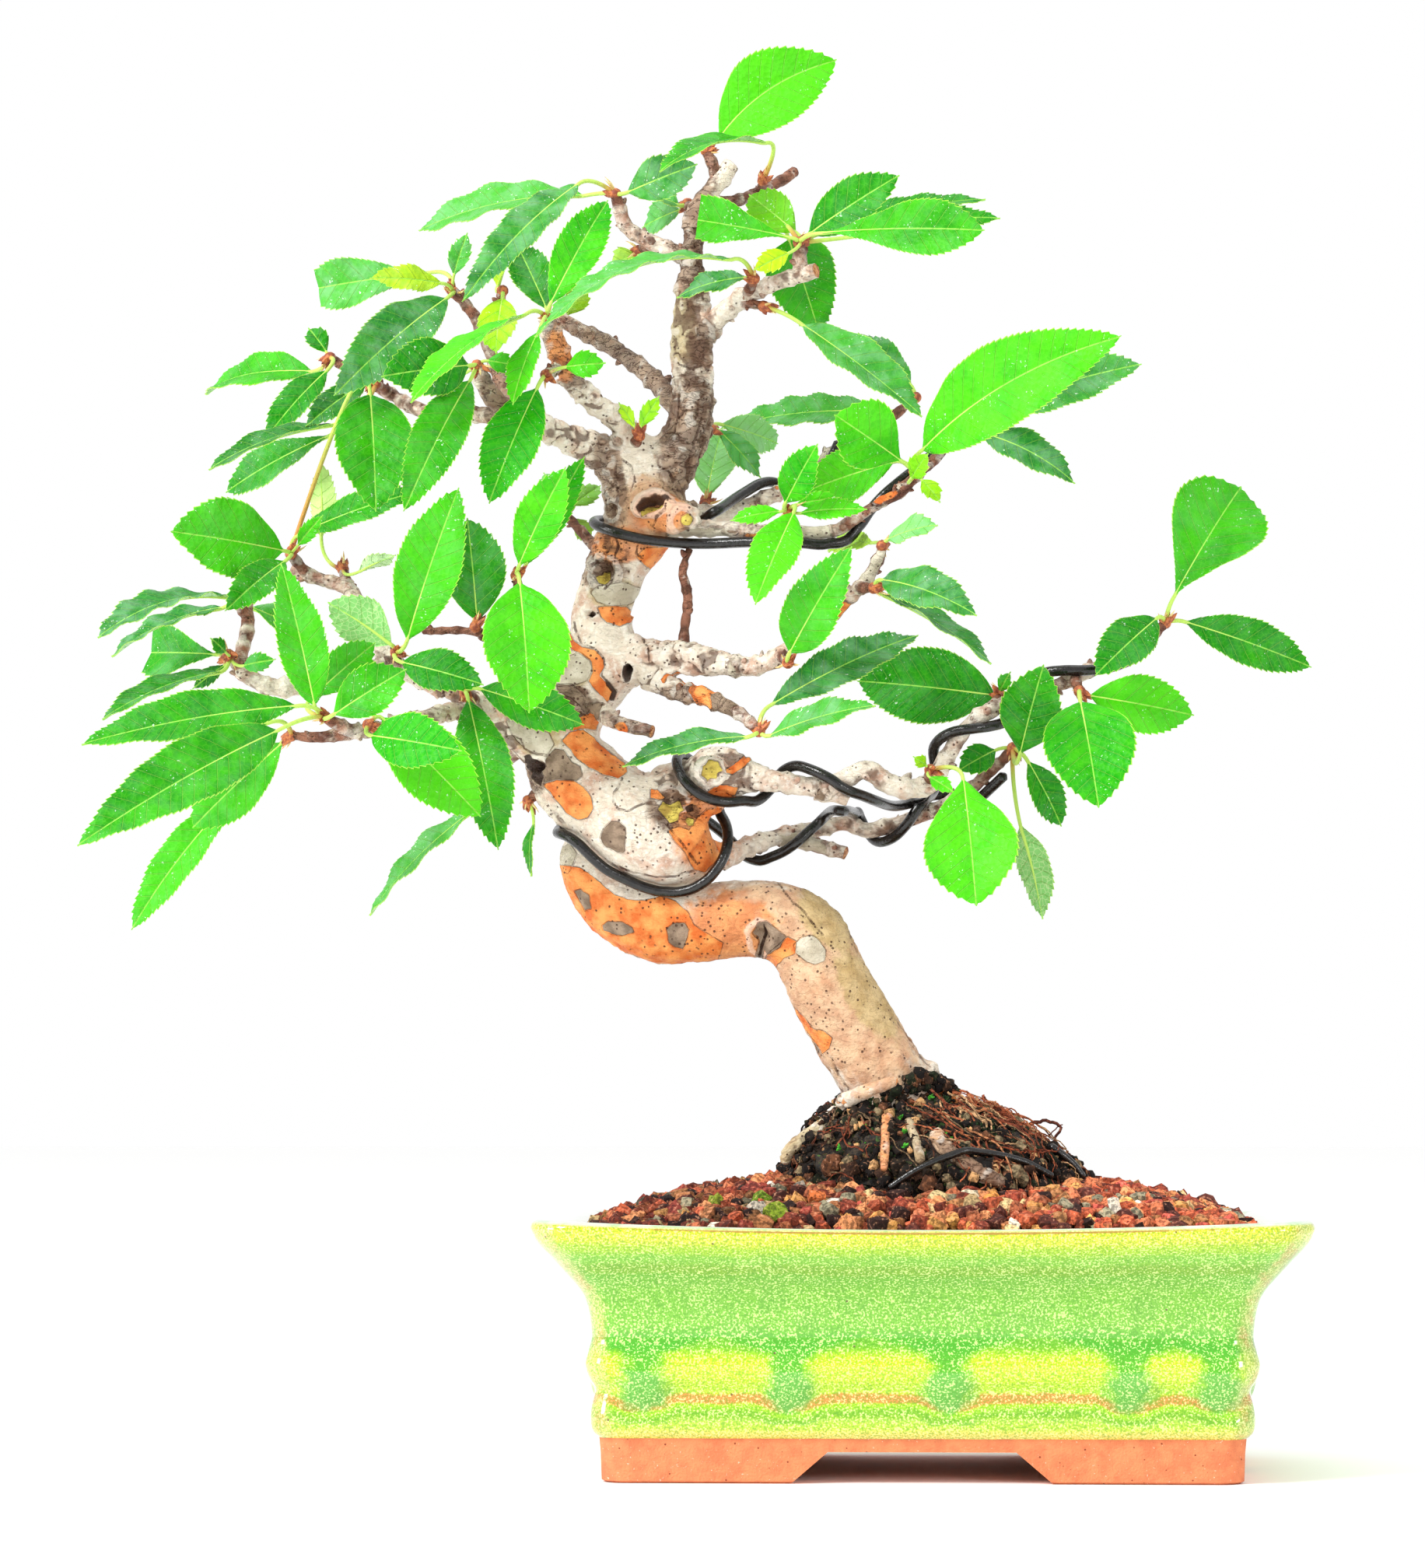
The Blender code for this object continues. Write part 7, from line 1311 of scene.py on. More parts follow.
@dataclass(frozen=True)
class BarkFinish:
    """Flaking bark: pale plates over orange and taupe skins, with wrinkles, cracks and dark pores, and
    painted shade where its relief sinks and a painted highlight where it stands out.
    """

    name: str = "flaking_bark"
    pale: str = "e8dac8"
    rosy: str = "cfa892"
    chalk: str = "f8f2e8"
    ink: str = "2a1710"
    crack: str = "4a2a1c"
    zones: tuple = (("tan", "e0b890", "c4906a", 0.9), ("olive", "c8b27a", "b09c60", 0.62),
                    ("brown", "9c7f68", "6a5040", 0.85), ("warm", "f09c58", "d98048", 0.8))
    patches: tuple = (("plate", "dcd2be", "bdb19a"), ("orange", "fba45a", "dc6c2a"),
                      ("taupe", "a8907a", "76614f"), ("scar", "e6cf62", "a4883a"))

    def make(self) -> bpy.types.Material:
        """Make the material: it reads the zones', the patches', seam, hollow, twig and cut fields.

        Returns:
            The material.
        """
        recipe = Recipe(self.name)
        wander = recipe.sum("SUBTRACT", recipe.noise(2.0, 3.0), 0.5)
        mottle = recipe.band(recipe.noise(3.6, 6.0), 0.34, 0.66)
        base = recipe.mix(recipe.band(recipe.noise(6.0, 3.0), 0.45, 0.7), self.pale, self.rosy)
        chalk = recipe.scaled(recipe.band(recipe.noise(1.1, 3.0), 0.5, 0.66), 0.5)
        base = recipe.mix(chalk, base, self.chalk)
        for kind, light, deep, strength in self.zones:
            reach = recipe.sum("ADD", recipe.read(kind), recipe.scaled(wander, 0.9))
            base = recipe.mix(recipe.scaled(recipe.band(reach, 0.1, 0.6), strength), base,
                              recipe.mix(mottle, light, deep))
        twig = recipe.sum("ADD", recipe.read("twig"), recipe.scaled(wander, 0.9))
        base = recipe.mix(recipe.band(twig, 0.2, 0.85), base, recipe.mix(mottle, "9a6650", "63392c"))
        contour = recipe.sum("ABSOLUTE", recipe.sum("SUBTRACT", recipe.noise(
            3.2, 5.0, 0.6, (1.0, 1.0, 2.4)), 0.5))
        rough = recipe.sum("ADD", recipe.read("brown"), recipe.scaled(recipe.read("twig"), 0.5))
        wrinkle = recipe.sum("MULTIPLY", recipe.band(contour, 0.03, 0.0),
                             recipe.sum("ADD", 0.14, recipe.scaled(rough, 0.5)))
        base = recipe.mix(wrinkle, base, "4a2c20")
        # Painted shade and highlight: brown where the carved relief sinks (low over 0), chalk where it
        # stands out (low under 0).
        low = recipe.sum("ADD", recipe.read("low"), recipe.scaled(wander, 0.6))
        base = recipe.mix(recipe.scaled(recipe.band(low, 0.15, 0.75), 0.75), base, "5e3f2e")
        base = recipe.mix(recipe.scaled(recipe.band(low, -0.3, -0.8), 0.35), base, self.chalk)
        outlines = None
        for kind, light, deep in self.patches:
            reach = recipe.sum("ADD", recipe.read(kind), recipe.scaled(wander, 0.5))
            base = recipe.mix(recipe.band(reach, -0.02, 0.07), base, recipe.mix(mottle, light, deep))
            line = recipe.band(recipe.sum("ABSOLUTE", recipe.sum("ADD", reach, 0.05)), 0.17, 0.03)
            outlines = line if outlines is None else recipe.sum("MAXIMUM", outlines, line)
        broken = recipe.sum("MULTIPLY", outlines, recipe.band(recipe.noise(2.6, 3.0), 0.42, 0.6))
        seam = recipe.sum("ADD", recipe.read("seam"), recipe.scaled(wander, 0.3))
        seam = recipe.band(seam, -0.02, 0.14)
        hollow = recipe.sum("ADD", recipe.read("hollow"), recipe.scaled(wander, 0.4))
        hollow = recipe.band(hollow, -0.1, 0.15)
        seam = recipe.sum("MULTIPLY", seam, recipe.band(recipe.noise(2.2, 3.0), 0.3, 0.62))
        cracks = recipe.sum("MAXIMUM", recipe.sum("MAXIMUM", recipe.scaled(broken, 0.7), seam), hollow)
        base = recipe.mix(recipe.scaled(cracks, 0.8), base, self.crack)
        base = recipe.mix(recipe.scaled(hollow, 0.7), base, self.ink)
        pores = recipe.band(recipe.cells(1.25), 0.25, 0.14)
        crowd = recipe.sum("ADD", recipe.noise(3.4), recipe.scaled(recipe.read("warm"), 0.12))
        pores = recipe.sum("MULTIPLY", pores, recipe.band(crowd, 0.44, 0.55))
        base = recipe.mix(recipe.scaled(pores, 0.85), base, self.crack)
        pith = recipe.mix(recipe.band(recipe.noise(0.8), 0.4, 0.6), "d99a66", "8e4f2c")
        base = recipe.mix(recipe.read("cut"), base, pith)
        recipe.rough(recipe.noise(2.0), 0.42, 0.8)
        recipe.shader.inputs["Specular IOR Level"].default_value = 0.25
        recipe.bump(recipe.sum("ADD", recipe.noise(0.7, 4.0), recipe.noise(3.0, 3.0)), 0.3)
        recipe.bump(recipe.sum("ADD", recipe.sum("MAXIMUM", outlines, cracks),
                               recipe.sum("MAXIMUM", pores, wrinkle)), -0.3)
        return recipe.done(base)


@dataclass(frozen=True)
class GlazeFinish:
    """Running green glaze: bands of green and yellow, speckled, with dark drops and tan edges."""

    name: str = "running_glaze"
    # Each band: the height in millimetres that it starts at, going up, how soft that is, its colour
    bands: tuple = ((11.0, 0.8, "b4d820"), (13.4, 1.2, "80b820"), (15.4, 1.0, "a8dc10"),
                    (16.4, 0.35, "d08c3c"), (18.5, 0.5, "b8e00c"), (20.2, 1.2, "c8ee04"),
                    (26.8, 1.8, "6cb80e"), (30.0, 2.2, "7cc428"), (40.5, 1.6, "6ab614"),
                    (43.2, 0.7, "7ab008"), (45.4, 0.8, "82c62c"), (47.6, 1.0, "aad210"),
                    (49.6, 0.9, "ced41a"))
    bottom: str = "e8d860"
    milk: str = "7abe34"
    fleck: str = "e8f8a0"
    drop: str = "3cae10"
    pool: str = "54ae3c"
    amber: str = "a8742c"
    worn: str = "c6cc6c"
    clay: str = "ee8e60"
    lip: str = "d6ecd0"

    def make(self) -> bpy.types.Material:
        """Make the material: it reads the fields rise, drop, lip, edge, foot and corner.

        Returns:
            The material.
        """
        recipe = Recipe(self.name)
        ragged = recipe.sum("SUBTRACT", recipe.noise(2.6, 4.0), 0.5)
        slow = recipe.sum("SUBTRACT", recipe.noise(14.0, 2.0), 0.5)
        rise = recipe.sum("ADD", recipe.read("rise"), recipe.scaled(ragged, 1.2))
        rise = recipe.sum("ADD", rise, recipe.scaled(slow, 1.6))
        base = self.bottom
        for start, soft, tone in self.bands:
            base = recipe.mix(recipe.band(rise, start - soft, start + soft), base, tone)
        clouded = recipe.sum("MULTIPLY", recipe.band(recipe.noise(7.0, 3.0), 0.42, 0.62),
                             recipe.band(recipe.read("rise"), 28.0, 32.0))
        clouded = recipe.sum("MULTIPLY", clouded, recipe.band(recipe.read("rise"), 43.6, 40.6))
        base = recipe.mix(recipe.scaled(clouded, 0.75), base, self.milk)
        drop = recipe.sum("ADD", recipe.read("drop"), recipe.scaled(ragged, 7.0))
        drop = recipe.sum("MULTIPLY", recipe.band(drop, -2.8, 2.2), recipe.band(rise, 33.0, 28.0))
        pool = recipe.mix(recipe.band(recipe.read("rise"), 23.4, 21.6), self.drop, self.pool)
        base = recipe.mix(recipe.scaled(drop, 0.92), base, pool)
        corner = recipe.sum("ADD", recipe.read("corner"), recipe.scaled(ragged, 1.1))
        worn = recipe.mix(recipe.band(recipe.noise(3.5, 3.0), 0.45, 0.62), self.worn, "d0a060")
        base = recipe.mix(recipe.scaled(recipe.band(corner, 0.45, 1.0), 0.75), base, worn)
        grain = recipe.sum("ADD", recipe.noise(0.42, 1.5), recipe.scaled(recipe.noise(5.0), 0.1))
        base = recipe.mix(recipe.scaled(recipe.band(grain, 0.54, 0.42), 0.6), base, "4e9a08")
        base = recipe.mix(recipe.scaled(recipe.band(grain, 0.6, 0.66), 0.66), base, self.fleck)
        lip = recipe.mix(recipe.band(recipe.noise(4.0, 3.0), 0.4, 0.65), self.lip, "b4dca8")
        base = recipe.mix(recipe.read("lip"), base, lip)
        edge = recipe.sum("ADD", recipe.read("edge"), recipe.scaled(ragged, 0.8))
        base = recipe.mix(recipe.scaled(recipe.band(edge, 0.35, 0.8), 0.85), base, self.amber)
        pits = recipe.band(recipe.cells(6.0), 0.05, 0.035)
        base = recipe.mix(recipe.scaled(pits, 0.8), base, "5c3a1c")
        clay = recipe.mix(recipe.band(recipe.noise(3.0, 4.0), 0.35, 0.7), self.clay, "dc7c54")
        clay = recipe.mix(recipe.band(recipe.cells(2.2), 0.12, 0.07), clay, "8a4228")
        clay = recipe.mix(recipe.band(recipe.noise(0.6), 0.68, 0.76), clay, "f8c8ae")
        foot = recipe.band(recipe.sum("ADD", recipe.read("foot"), recipe.scaled(ragged, 0.3)), 0.45, 0.55)
        base = recipe.mix(foot, base, clay)
        recipe.rough(foot, 0.09, 0.85)
        recipe.shader.inputs["Specular IOR Level"].default_value = 0.3
        recipe.feed(recipe.shader.inputs["Coat Weight"], recipe.sum("SUBTRACT", 1.0, foot))
        recipe.shader.inputs["Coat Roughness"].default_value = 0.05
        recipe.bump(recipe.noise(4.0), 0.2)
        recipe.bump(recipe.sum("MULTIPLY", recipe.noise(0.5, 3.0), foot), 0.3)
        return recipe.done(base)


class PlainFinish(Enum):
    """Finishes of one noise each: name, two colours, grain in millimetres, roughness, relief, specks."""

    WIRE = ("black_wire", "0c0a0a", "1e1a18", 1.2, 0.2, 0.1, None)
    # The bed's near-black browns are painted shade, which shows in the gaps between the soil's granules.
    BED = ("damp_bed", "2a1711", "4a2a1e", 1.5, 0.95, 0.3, None)
    SCALE = ("bud_scale", "8a3d22", "c9733f", 1.0, 0.6, 0.12, None)
    STIPULE = ("papery_stipule", "d9b06a", "f0dc9a", 1.0, 0.6, 0.12, None)
    PEAT = ("rooty_peat", "0a0807", "3c2e1e", 0.9, 0.8, 0.6, ("c08a58", "46702a"))
    SCREEN = ("drain_screen", "0c1410", "16241c", 2.0, 0.55, 0.12, None)

    def make(self) -> bpy.types.Material:
        """Return the material."""
        name, first, second, grain, roughness, relief, specks = self.value
        recipe = Recipe(name, roughness)
        recipe.bump(recipe.noise(grain / 2.0, 3.0), relief)
        base = recipe.mix(recipe.band(recipe.noise(grain, 3.0), 0.4, 0.62), first, second)
        if specks:
            crowd = recipe.band(recipe.noise(3.0, 2.0), 0.46, 0.6)
            spots = recipe.sum("MULTIPLY", recipe.band(recipe.cells(1.3), 0.42, 0.3), crowd)
            tone = recipe.mix(recipe.band(recipe.noise(6.0, 2.0), 0.45, 0.55), *specks)
            base = recipe.mix(recipe.scaled(spots, 0.8), base, tone)
        return recipe.done(base)


def granule_finish(name: str, light: float) -> bpy.types.Material:
    """Return a finish that wears the field own, darker in its pores and lighter on its grains.

    Args:
        name: The material's name.
        light: How much the lighter grains show, from 0 to 1.

    Returns:
        The material.
    """
    recipe = Recipe(name, 0.85)
    recipe.shader.inputs["Specular IOR Level"].default_value = 0.25
    pores = recipe.band(recipe.sum("ADD", recipe.noise(0.8, 4.0), recipe.scaled(recipe.cells(0.9), 0.2)),
                        0.66, 0.5)
    own = recipe.read_colour("own")
    recipe.bump(recipe.noise(0.5, 4.0), 0.4)
    shaded = recipe.mix(recipe.scaled(pores, 0.62), own, "160806")
    return recipe.done(recipe.mix(recipe.scaled(recipe.band(recipe.noise(0.8), 0.58, 0.72), light),
                                  shaded, "f0b08c"))


LEAF_FINISHES = {
    "bright": LeafFinish("leaf_bright", "50cc08", "129c00", "8ed25a", 0.03),
    "mature": LeafFinish("leaf_mature", "40b808", "087c02", "86c870", 0.08),
    "dull": LeafFinish("leaf_dull", "4aae34", "1a7228", "9ccf94", 0.34),
    "dark": LeafFinish("leaf_dark", "2a9812", "08620a", "78b86c", 0.18),
    "pale": LeafFinish("leaf_pale", "86d070", "4aa846", "bfe6a8", 0.4),
    "young": LeafFinish("leaf_young", "b4e614", "74c810", "d4f080", 0.04),
}


BLADE_ABOVE = np.array([-1.0, -0.92, -0.6, -0.3, -0.07, 0.0, 0.07, 0.3, 0.6, 0.92, 1.0])
BLADE_BELOW = np.array([1.0, 0.75, 0.35, 0.0, -0.35, -0.75, -1.0])
# How far along its pitch, outward and forward each point of a tooth stands
TOOTH_STATIONS = np.array([(0.0, 0.0, 0.0), (0.4, 0.45, 0.1), (0.78, 1.0, 0.3), (0.92, 0.25, 0.1)])
# Leaves that are still yellow with youth: the spray, the leaf's number and how young it is
YOUNG = {
    "spray_left_high": {1: 0.8}, "spray_right_fork": {7: 0.9, 5: 0.2}, "spray_upper": {3: 0.3, 4: 0.5},
    "spray_mid_right": {1: 0.7}, "spray_fork_small": {0: 0.6}, "spray_brown": {1: 0.4},
    "spray_low_bud": {0: 0.4}, "spray_right_low": {2: 0.5}, "spray_pale": {0: 0.3, 1: 0.5},
}


@dataclass
class Foliage:
    """One bud's leaves: toothed and veined blades on their stalks, and the bud's own scales."""

    name: str
    spray: Spray
    seed: int
    tooth_pitch: float = 1.4
    tooth_reach: float = 0.42
    ripple: float = 0.3
    twist: float = 0.5
    vein_pitch: float = 2.9
    rib_half: float = 0.2
    edge_half: float = 0.07
    stalk_radius: float = 0.52

    def axes(self, leaf: Leaf) -> tuple:
        """Return a blade's base, length and three directions, as the solids lay them.

        Args:
            leaf: The leaf.

        Returns:
            The base, the length, and the directions along, out of and across the blade.
        """
        base, tip = seen((leaf.base, leaf.tip))
        along = unit(tip - base)
        to_eye = unit(EYE - (base + tip) / 2)
        facing = unit(to_eye - along * float(to_eye @ along))
        upward = np.cross(facing, along)
        upward *= 1.0 if upward[2] >= 0.0 else -1.0
        roll = math.radians(leaf.roll)
        normal = facing * math.cos(roll) + upward * math.sin(roll)
        return base, float(np.linalg.norm(tip - base)), along, normal, np.cross(normal, along)

    def spine(self, leaf: Leaf, shares: np.ndarray) -> tuple:
        """Read a blade's centre line: arched by 4s(1 - s), curled down by s to the fourth.

        Args:
            leaf: The leaf.
            shares: How far along the blade, from 0 to 1.

        Returns:
            The line's points and the blade's own normals there.
        """
        base, length, along, normal, side = self.axes(leaf)
        s = shares[:, None]
        arch = 4.0 * s * (1.0 - s)
        points = base + length * (along * s + normal * (leaf.bend * arch - leaf.curl * s ** 4)
                                  + side * leaf.sweep * arch)
        slope = leaf.bend * 4.0 * (1.0 - 2.0 * s) - 4.0 * leaf.curl * s ** 3
        return points, unit(normal - along * slope)

    def blade(self, leaf: Leaf, number: int) -> Skin:
        """Make a blade: rows across it, whose ends step out and forward for each tooth.

        The half width is a skewed sine, the halves lift by their share of the width to the power
        1.2, each stretch between side veins bulges as a sine, the margin waves as one, and the rows
        turn a little about the blade's own line.

        Args:
            leaf: The leaf.
            number: Its number in the spray, which seeds its own waves and tint.

        Returns:
            The blade as a closed skin with the fields that the leaf's finish reads.
        """
        _, length, along, _, side = self.axes(leaf)
        last = min(leaf.cut, 1.0)
        teeth = max(4, int(round(length * last / self.tooth_pitch)))
        tooth, station = np.divmod(np.arange(teeth * 4 + 1), 4)
        shares = last * (tooth + TOOTH_STATIONS[station, 0]) / teeth
        out, ahead = TOOTH_STATIONS[station, 1], TOOTH_STATIONS[station, 2]
        luck = chances(number + 1, 6, self.seed)[number]
        skew = math.log(0.5) / math.log(leaf.belly)
        half = leaf.wide / 2 * np.sin(math.pi * np.clip(shares, 0.0, 1.0) ** skew) ** 0.8
        grown = np.clip(half / 1.6, 0.0, 1.0)[:, None]
        half = np.maximum(half, np.where(shares < 0.5, 0.32, 0.12))[:, None]
        middle, up = self.spine(leaf, shares)
        if leaf.cut >= 1.0:
            middle[-1] += along * 0.5
        turn = (self.twist * luck[4] * (shares - 0.3))[:, None]
        side, up = side * np.cos(turn) + up * np.sin(turn), up * np.cos(turn) - side * np.sin(turn)
        fold = math.radians(leaf.fold)
        ripple = self.ripple * (1.6 if self.spray.colour in ("dull", "pale") else 1.0)
        faces = []
        for t, hand in ((BLADE_ABOVE[None], 1.0), (BLADE_BELOW[None], -1.0)):
            margin = np.abs(t) ** 16
            wide = half * t + np.sign(t) * margin * self.tooth_reach * grown * out[:, None]
            millimetres = (shares * length)[:, None]
            phase = (millimetres - 0.75 * np.abs(wide)) / self.vein_pitch + np.where(t < 0, 0.37, 0.0)
            bulge = np.abs(np.sin(math.pi * phase)) * np.minimum(1.0, np.abs(t) * 3.0) * (1.0 - margin)
            wave = np.sin(2.0 * math.pi * millimetres / (9.0 + 2.0 * luck[0]) + 3.0 * luck[1]
                          + np.where(t < 0, 2.0 * luck[2], 0.0))
            lift = half * np.abs(t) ** 1.2 * math.sin(fold) - 0.1 * (t == 0.0)
            lift = lift + grown * (0.17 * bulge + ripple * wave * np.abs(t) ** 2.5)
            lift = lift + hand * (self.edge_half + (self.rib_half - self.edge_half) * (1.0 - np.abs(t)))
            place = (middle[:, None] + side[:, None] * (wide * math.cos(fold))[..., None]
                     + along * (margin * self.tooth_pitch * grown * ahead[:, None])[..., None]
                     + up[:, None] * lift[..., None])
            faces.append((place, np.abs(wide), phase, np.abs(t) + 0.0 * wide, hand + 0.0 * wide))
        rings, off_rib, vein, edge, hands = (np.concatenate(parts, axis=1) for parts in zip(*faces))
        return lofted(rings).with_fields(
            upper=np.maximum(hands, 0.0).ravel(), off_rib=off_rib.ravel(), vein=vein.ravel(),
            edge=edge.ravel(), tint=0.3 + 0.5 * luck[3], stalk=0.0,
            young=YOUNG.get(self.name, {}).get(number, 0.0)).wearing(0)

    def stalk(self, leaf: Leaf, number: int) -> Skin:
        """Make a stalk: one bend from the bud to the blade, then on under it as its midrib.

        Args:
            leaf: The leaf.
            number: Its number in the spray, which says how deep in the bud it starts.

        Returns:
            The stalk and midrib as one tapering tube.
        """
        hub = seen(self.spray.hub)[0]
        base, length, along, _, _ = self.axes(leaf)
        hub = hub - unit(base - hub) * (0.1 + 0.13 * number)
        reach = float(np.linalg.norm(base - hub))
        bend = base - along * 0.45 * reach
        t = np.linspace(0.0, 1.0, max(4, min(14, int(reach / 1.2) + 2)))[:, None]
        free = hub * (1 - t) ** 2 + bend * 2 * t * (1 - t) + base * t * t
        shares = np.linspace(0.03, 0.84 * min(leaf.cut, 1.0), max(5, int(length / 2.4)))
        points, up = self.spine(leaf, shares)
        rib = points - up * 0.14
        small = min(1.0, 0.45 + leaf.wide / 14.0)
        radii = np.concatenate((np.linspace(1.0, 0.82, len(free)),
                                np.linspace(0.8, 0.24, len(rib)))) * self.stalk_radius * small
        skin = tube(np.vstack((free, rib)), radii, 8)
        share = skin.fields.pop("along") * (len(radii) - 1) / max(1, len(free) - 1)
        return skin.with_fields(along=np.minimum(1.0, share), stalk=1.0, upper=1.0, off_rib=9.0,
                                vein=0.0, edge=0.0, tint=0.0, young=0.0).wearing(0)

    def bud(self) -> list[Skin]:
        """Make the bud: a small round heart, pointed scales round it and a few papery stipules.

        Returns:
            The bud's skins, each wearing its finish.
        """
        hub = seen(self.spray.hub)[0]
        starts = np.array([self.axes(leaf)[0] for leaf in self.spray.leaves])
        ahead = unit((starts - hub).sum(axis=0))
        heart = np.linspace(-1.0, 1.0, 9)[:, None] * ahead * 1.35 + hub
        radii = 1.3 * np.sqrt(np.clip(1.0 - np.linspace(-0.98, 0.98, 9) ** 2, 0.02, 1.0))
        skins = [tube(heart, radii, 10).wearing(1)]
        for slot, count, reach, wide, spread in ((1, 7, 2.3, 0.75, 0.75), (2, 3, 3.1, 0.32, 1.1)):
            luck = chances(count, 3, 100 * slot + self.seed)
            heading = unit(ahead + spread * luck)
            steps = np.linspace(0.0, 1.0, 5)[None, :, None]
            curve = unit(heading + 0.35 * ahead) - heading
            size = reach * (1.0 + 0.35 * luck[:, :1, None])
            lines = hub + heading[:, None] * (0.5 + size * steps) + curve[:, None] * size * steps ** 2
            taper = np.array([0.8, 1.0, 0.85, 0.5, 0.08])[None] * wide
            skins.append(bundle(lines, np.repeat(taper, count, axis=0), 5).wearing(slot))
        return skins

    def build(self, leaf_finish: bpy.types.Material, bud_finishes: list) -> bpy.types.Object:
        """Make the spray's piece and dress it.

        Args:
            leaf_finish: The leaves' material.
            bud_finishes: The materials of bud scales and stipules.

        Returns:
            The piece.
        """
        skins = self.bud()
        for number, leaf in enumerate(self.spray.leaves):
            skins += [self.blade(leaf, number), self.stalk(leaf, number)]
        piece = put_in_scene(self.name.replace("spray", "leaves"), joined(skins),
                             [leaf_finish, *bud_finishes], 65.0)
        return declared(piece, self.name)


def declared(piece: bpy.types.Object, node: str) -> bpy.types.Object:
    """Make a piece ride on the tree's one body and stand for a node; and report it."""
    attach(piece, "root")
    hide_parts(node)
    LOG.info("%s: %d faces, stands for %s", piece.name, len(piece.data.polygons), node)
    return piece


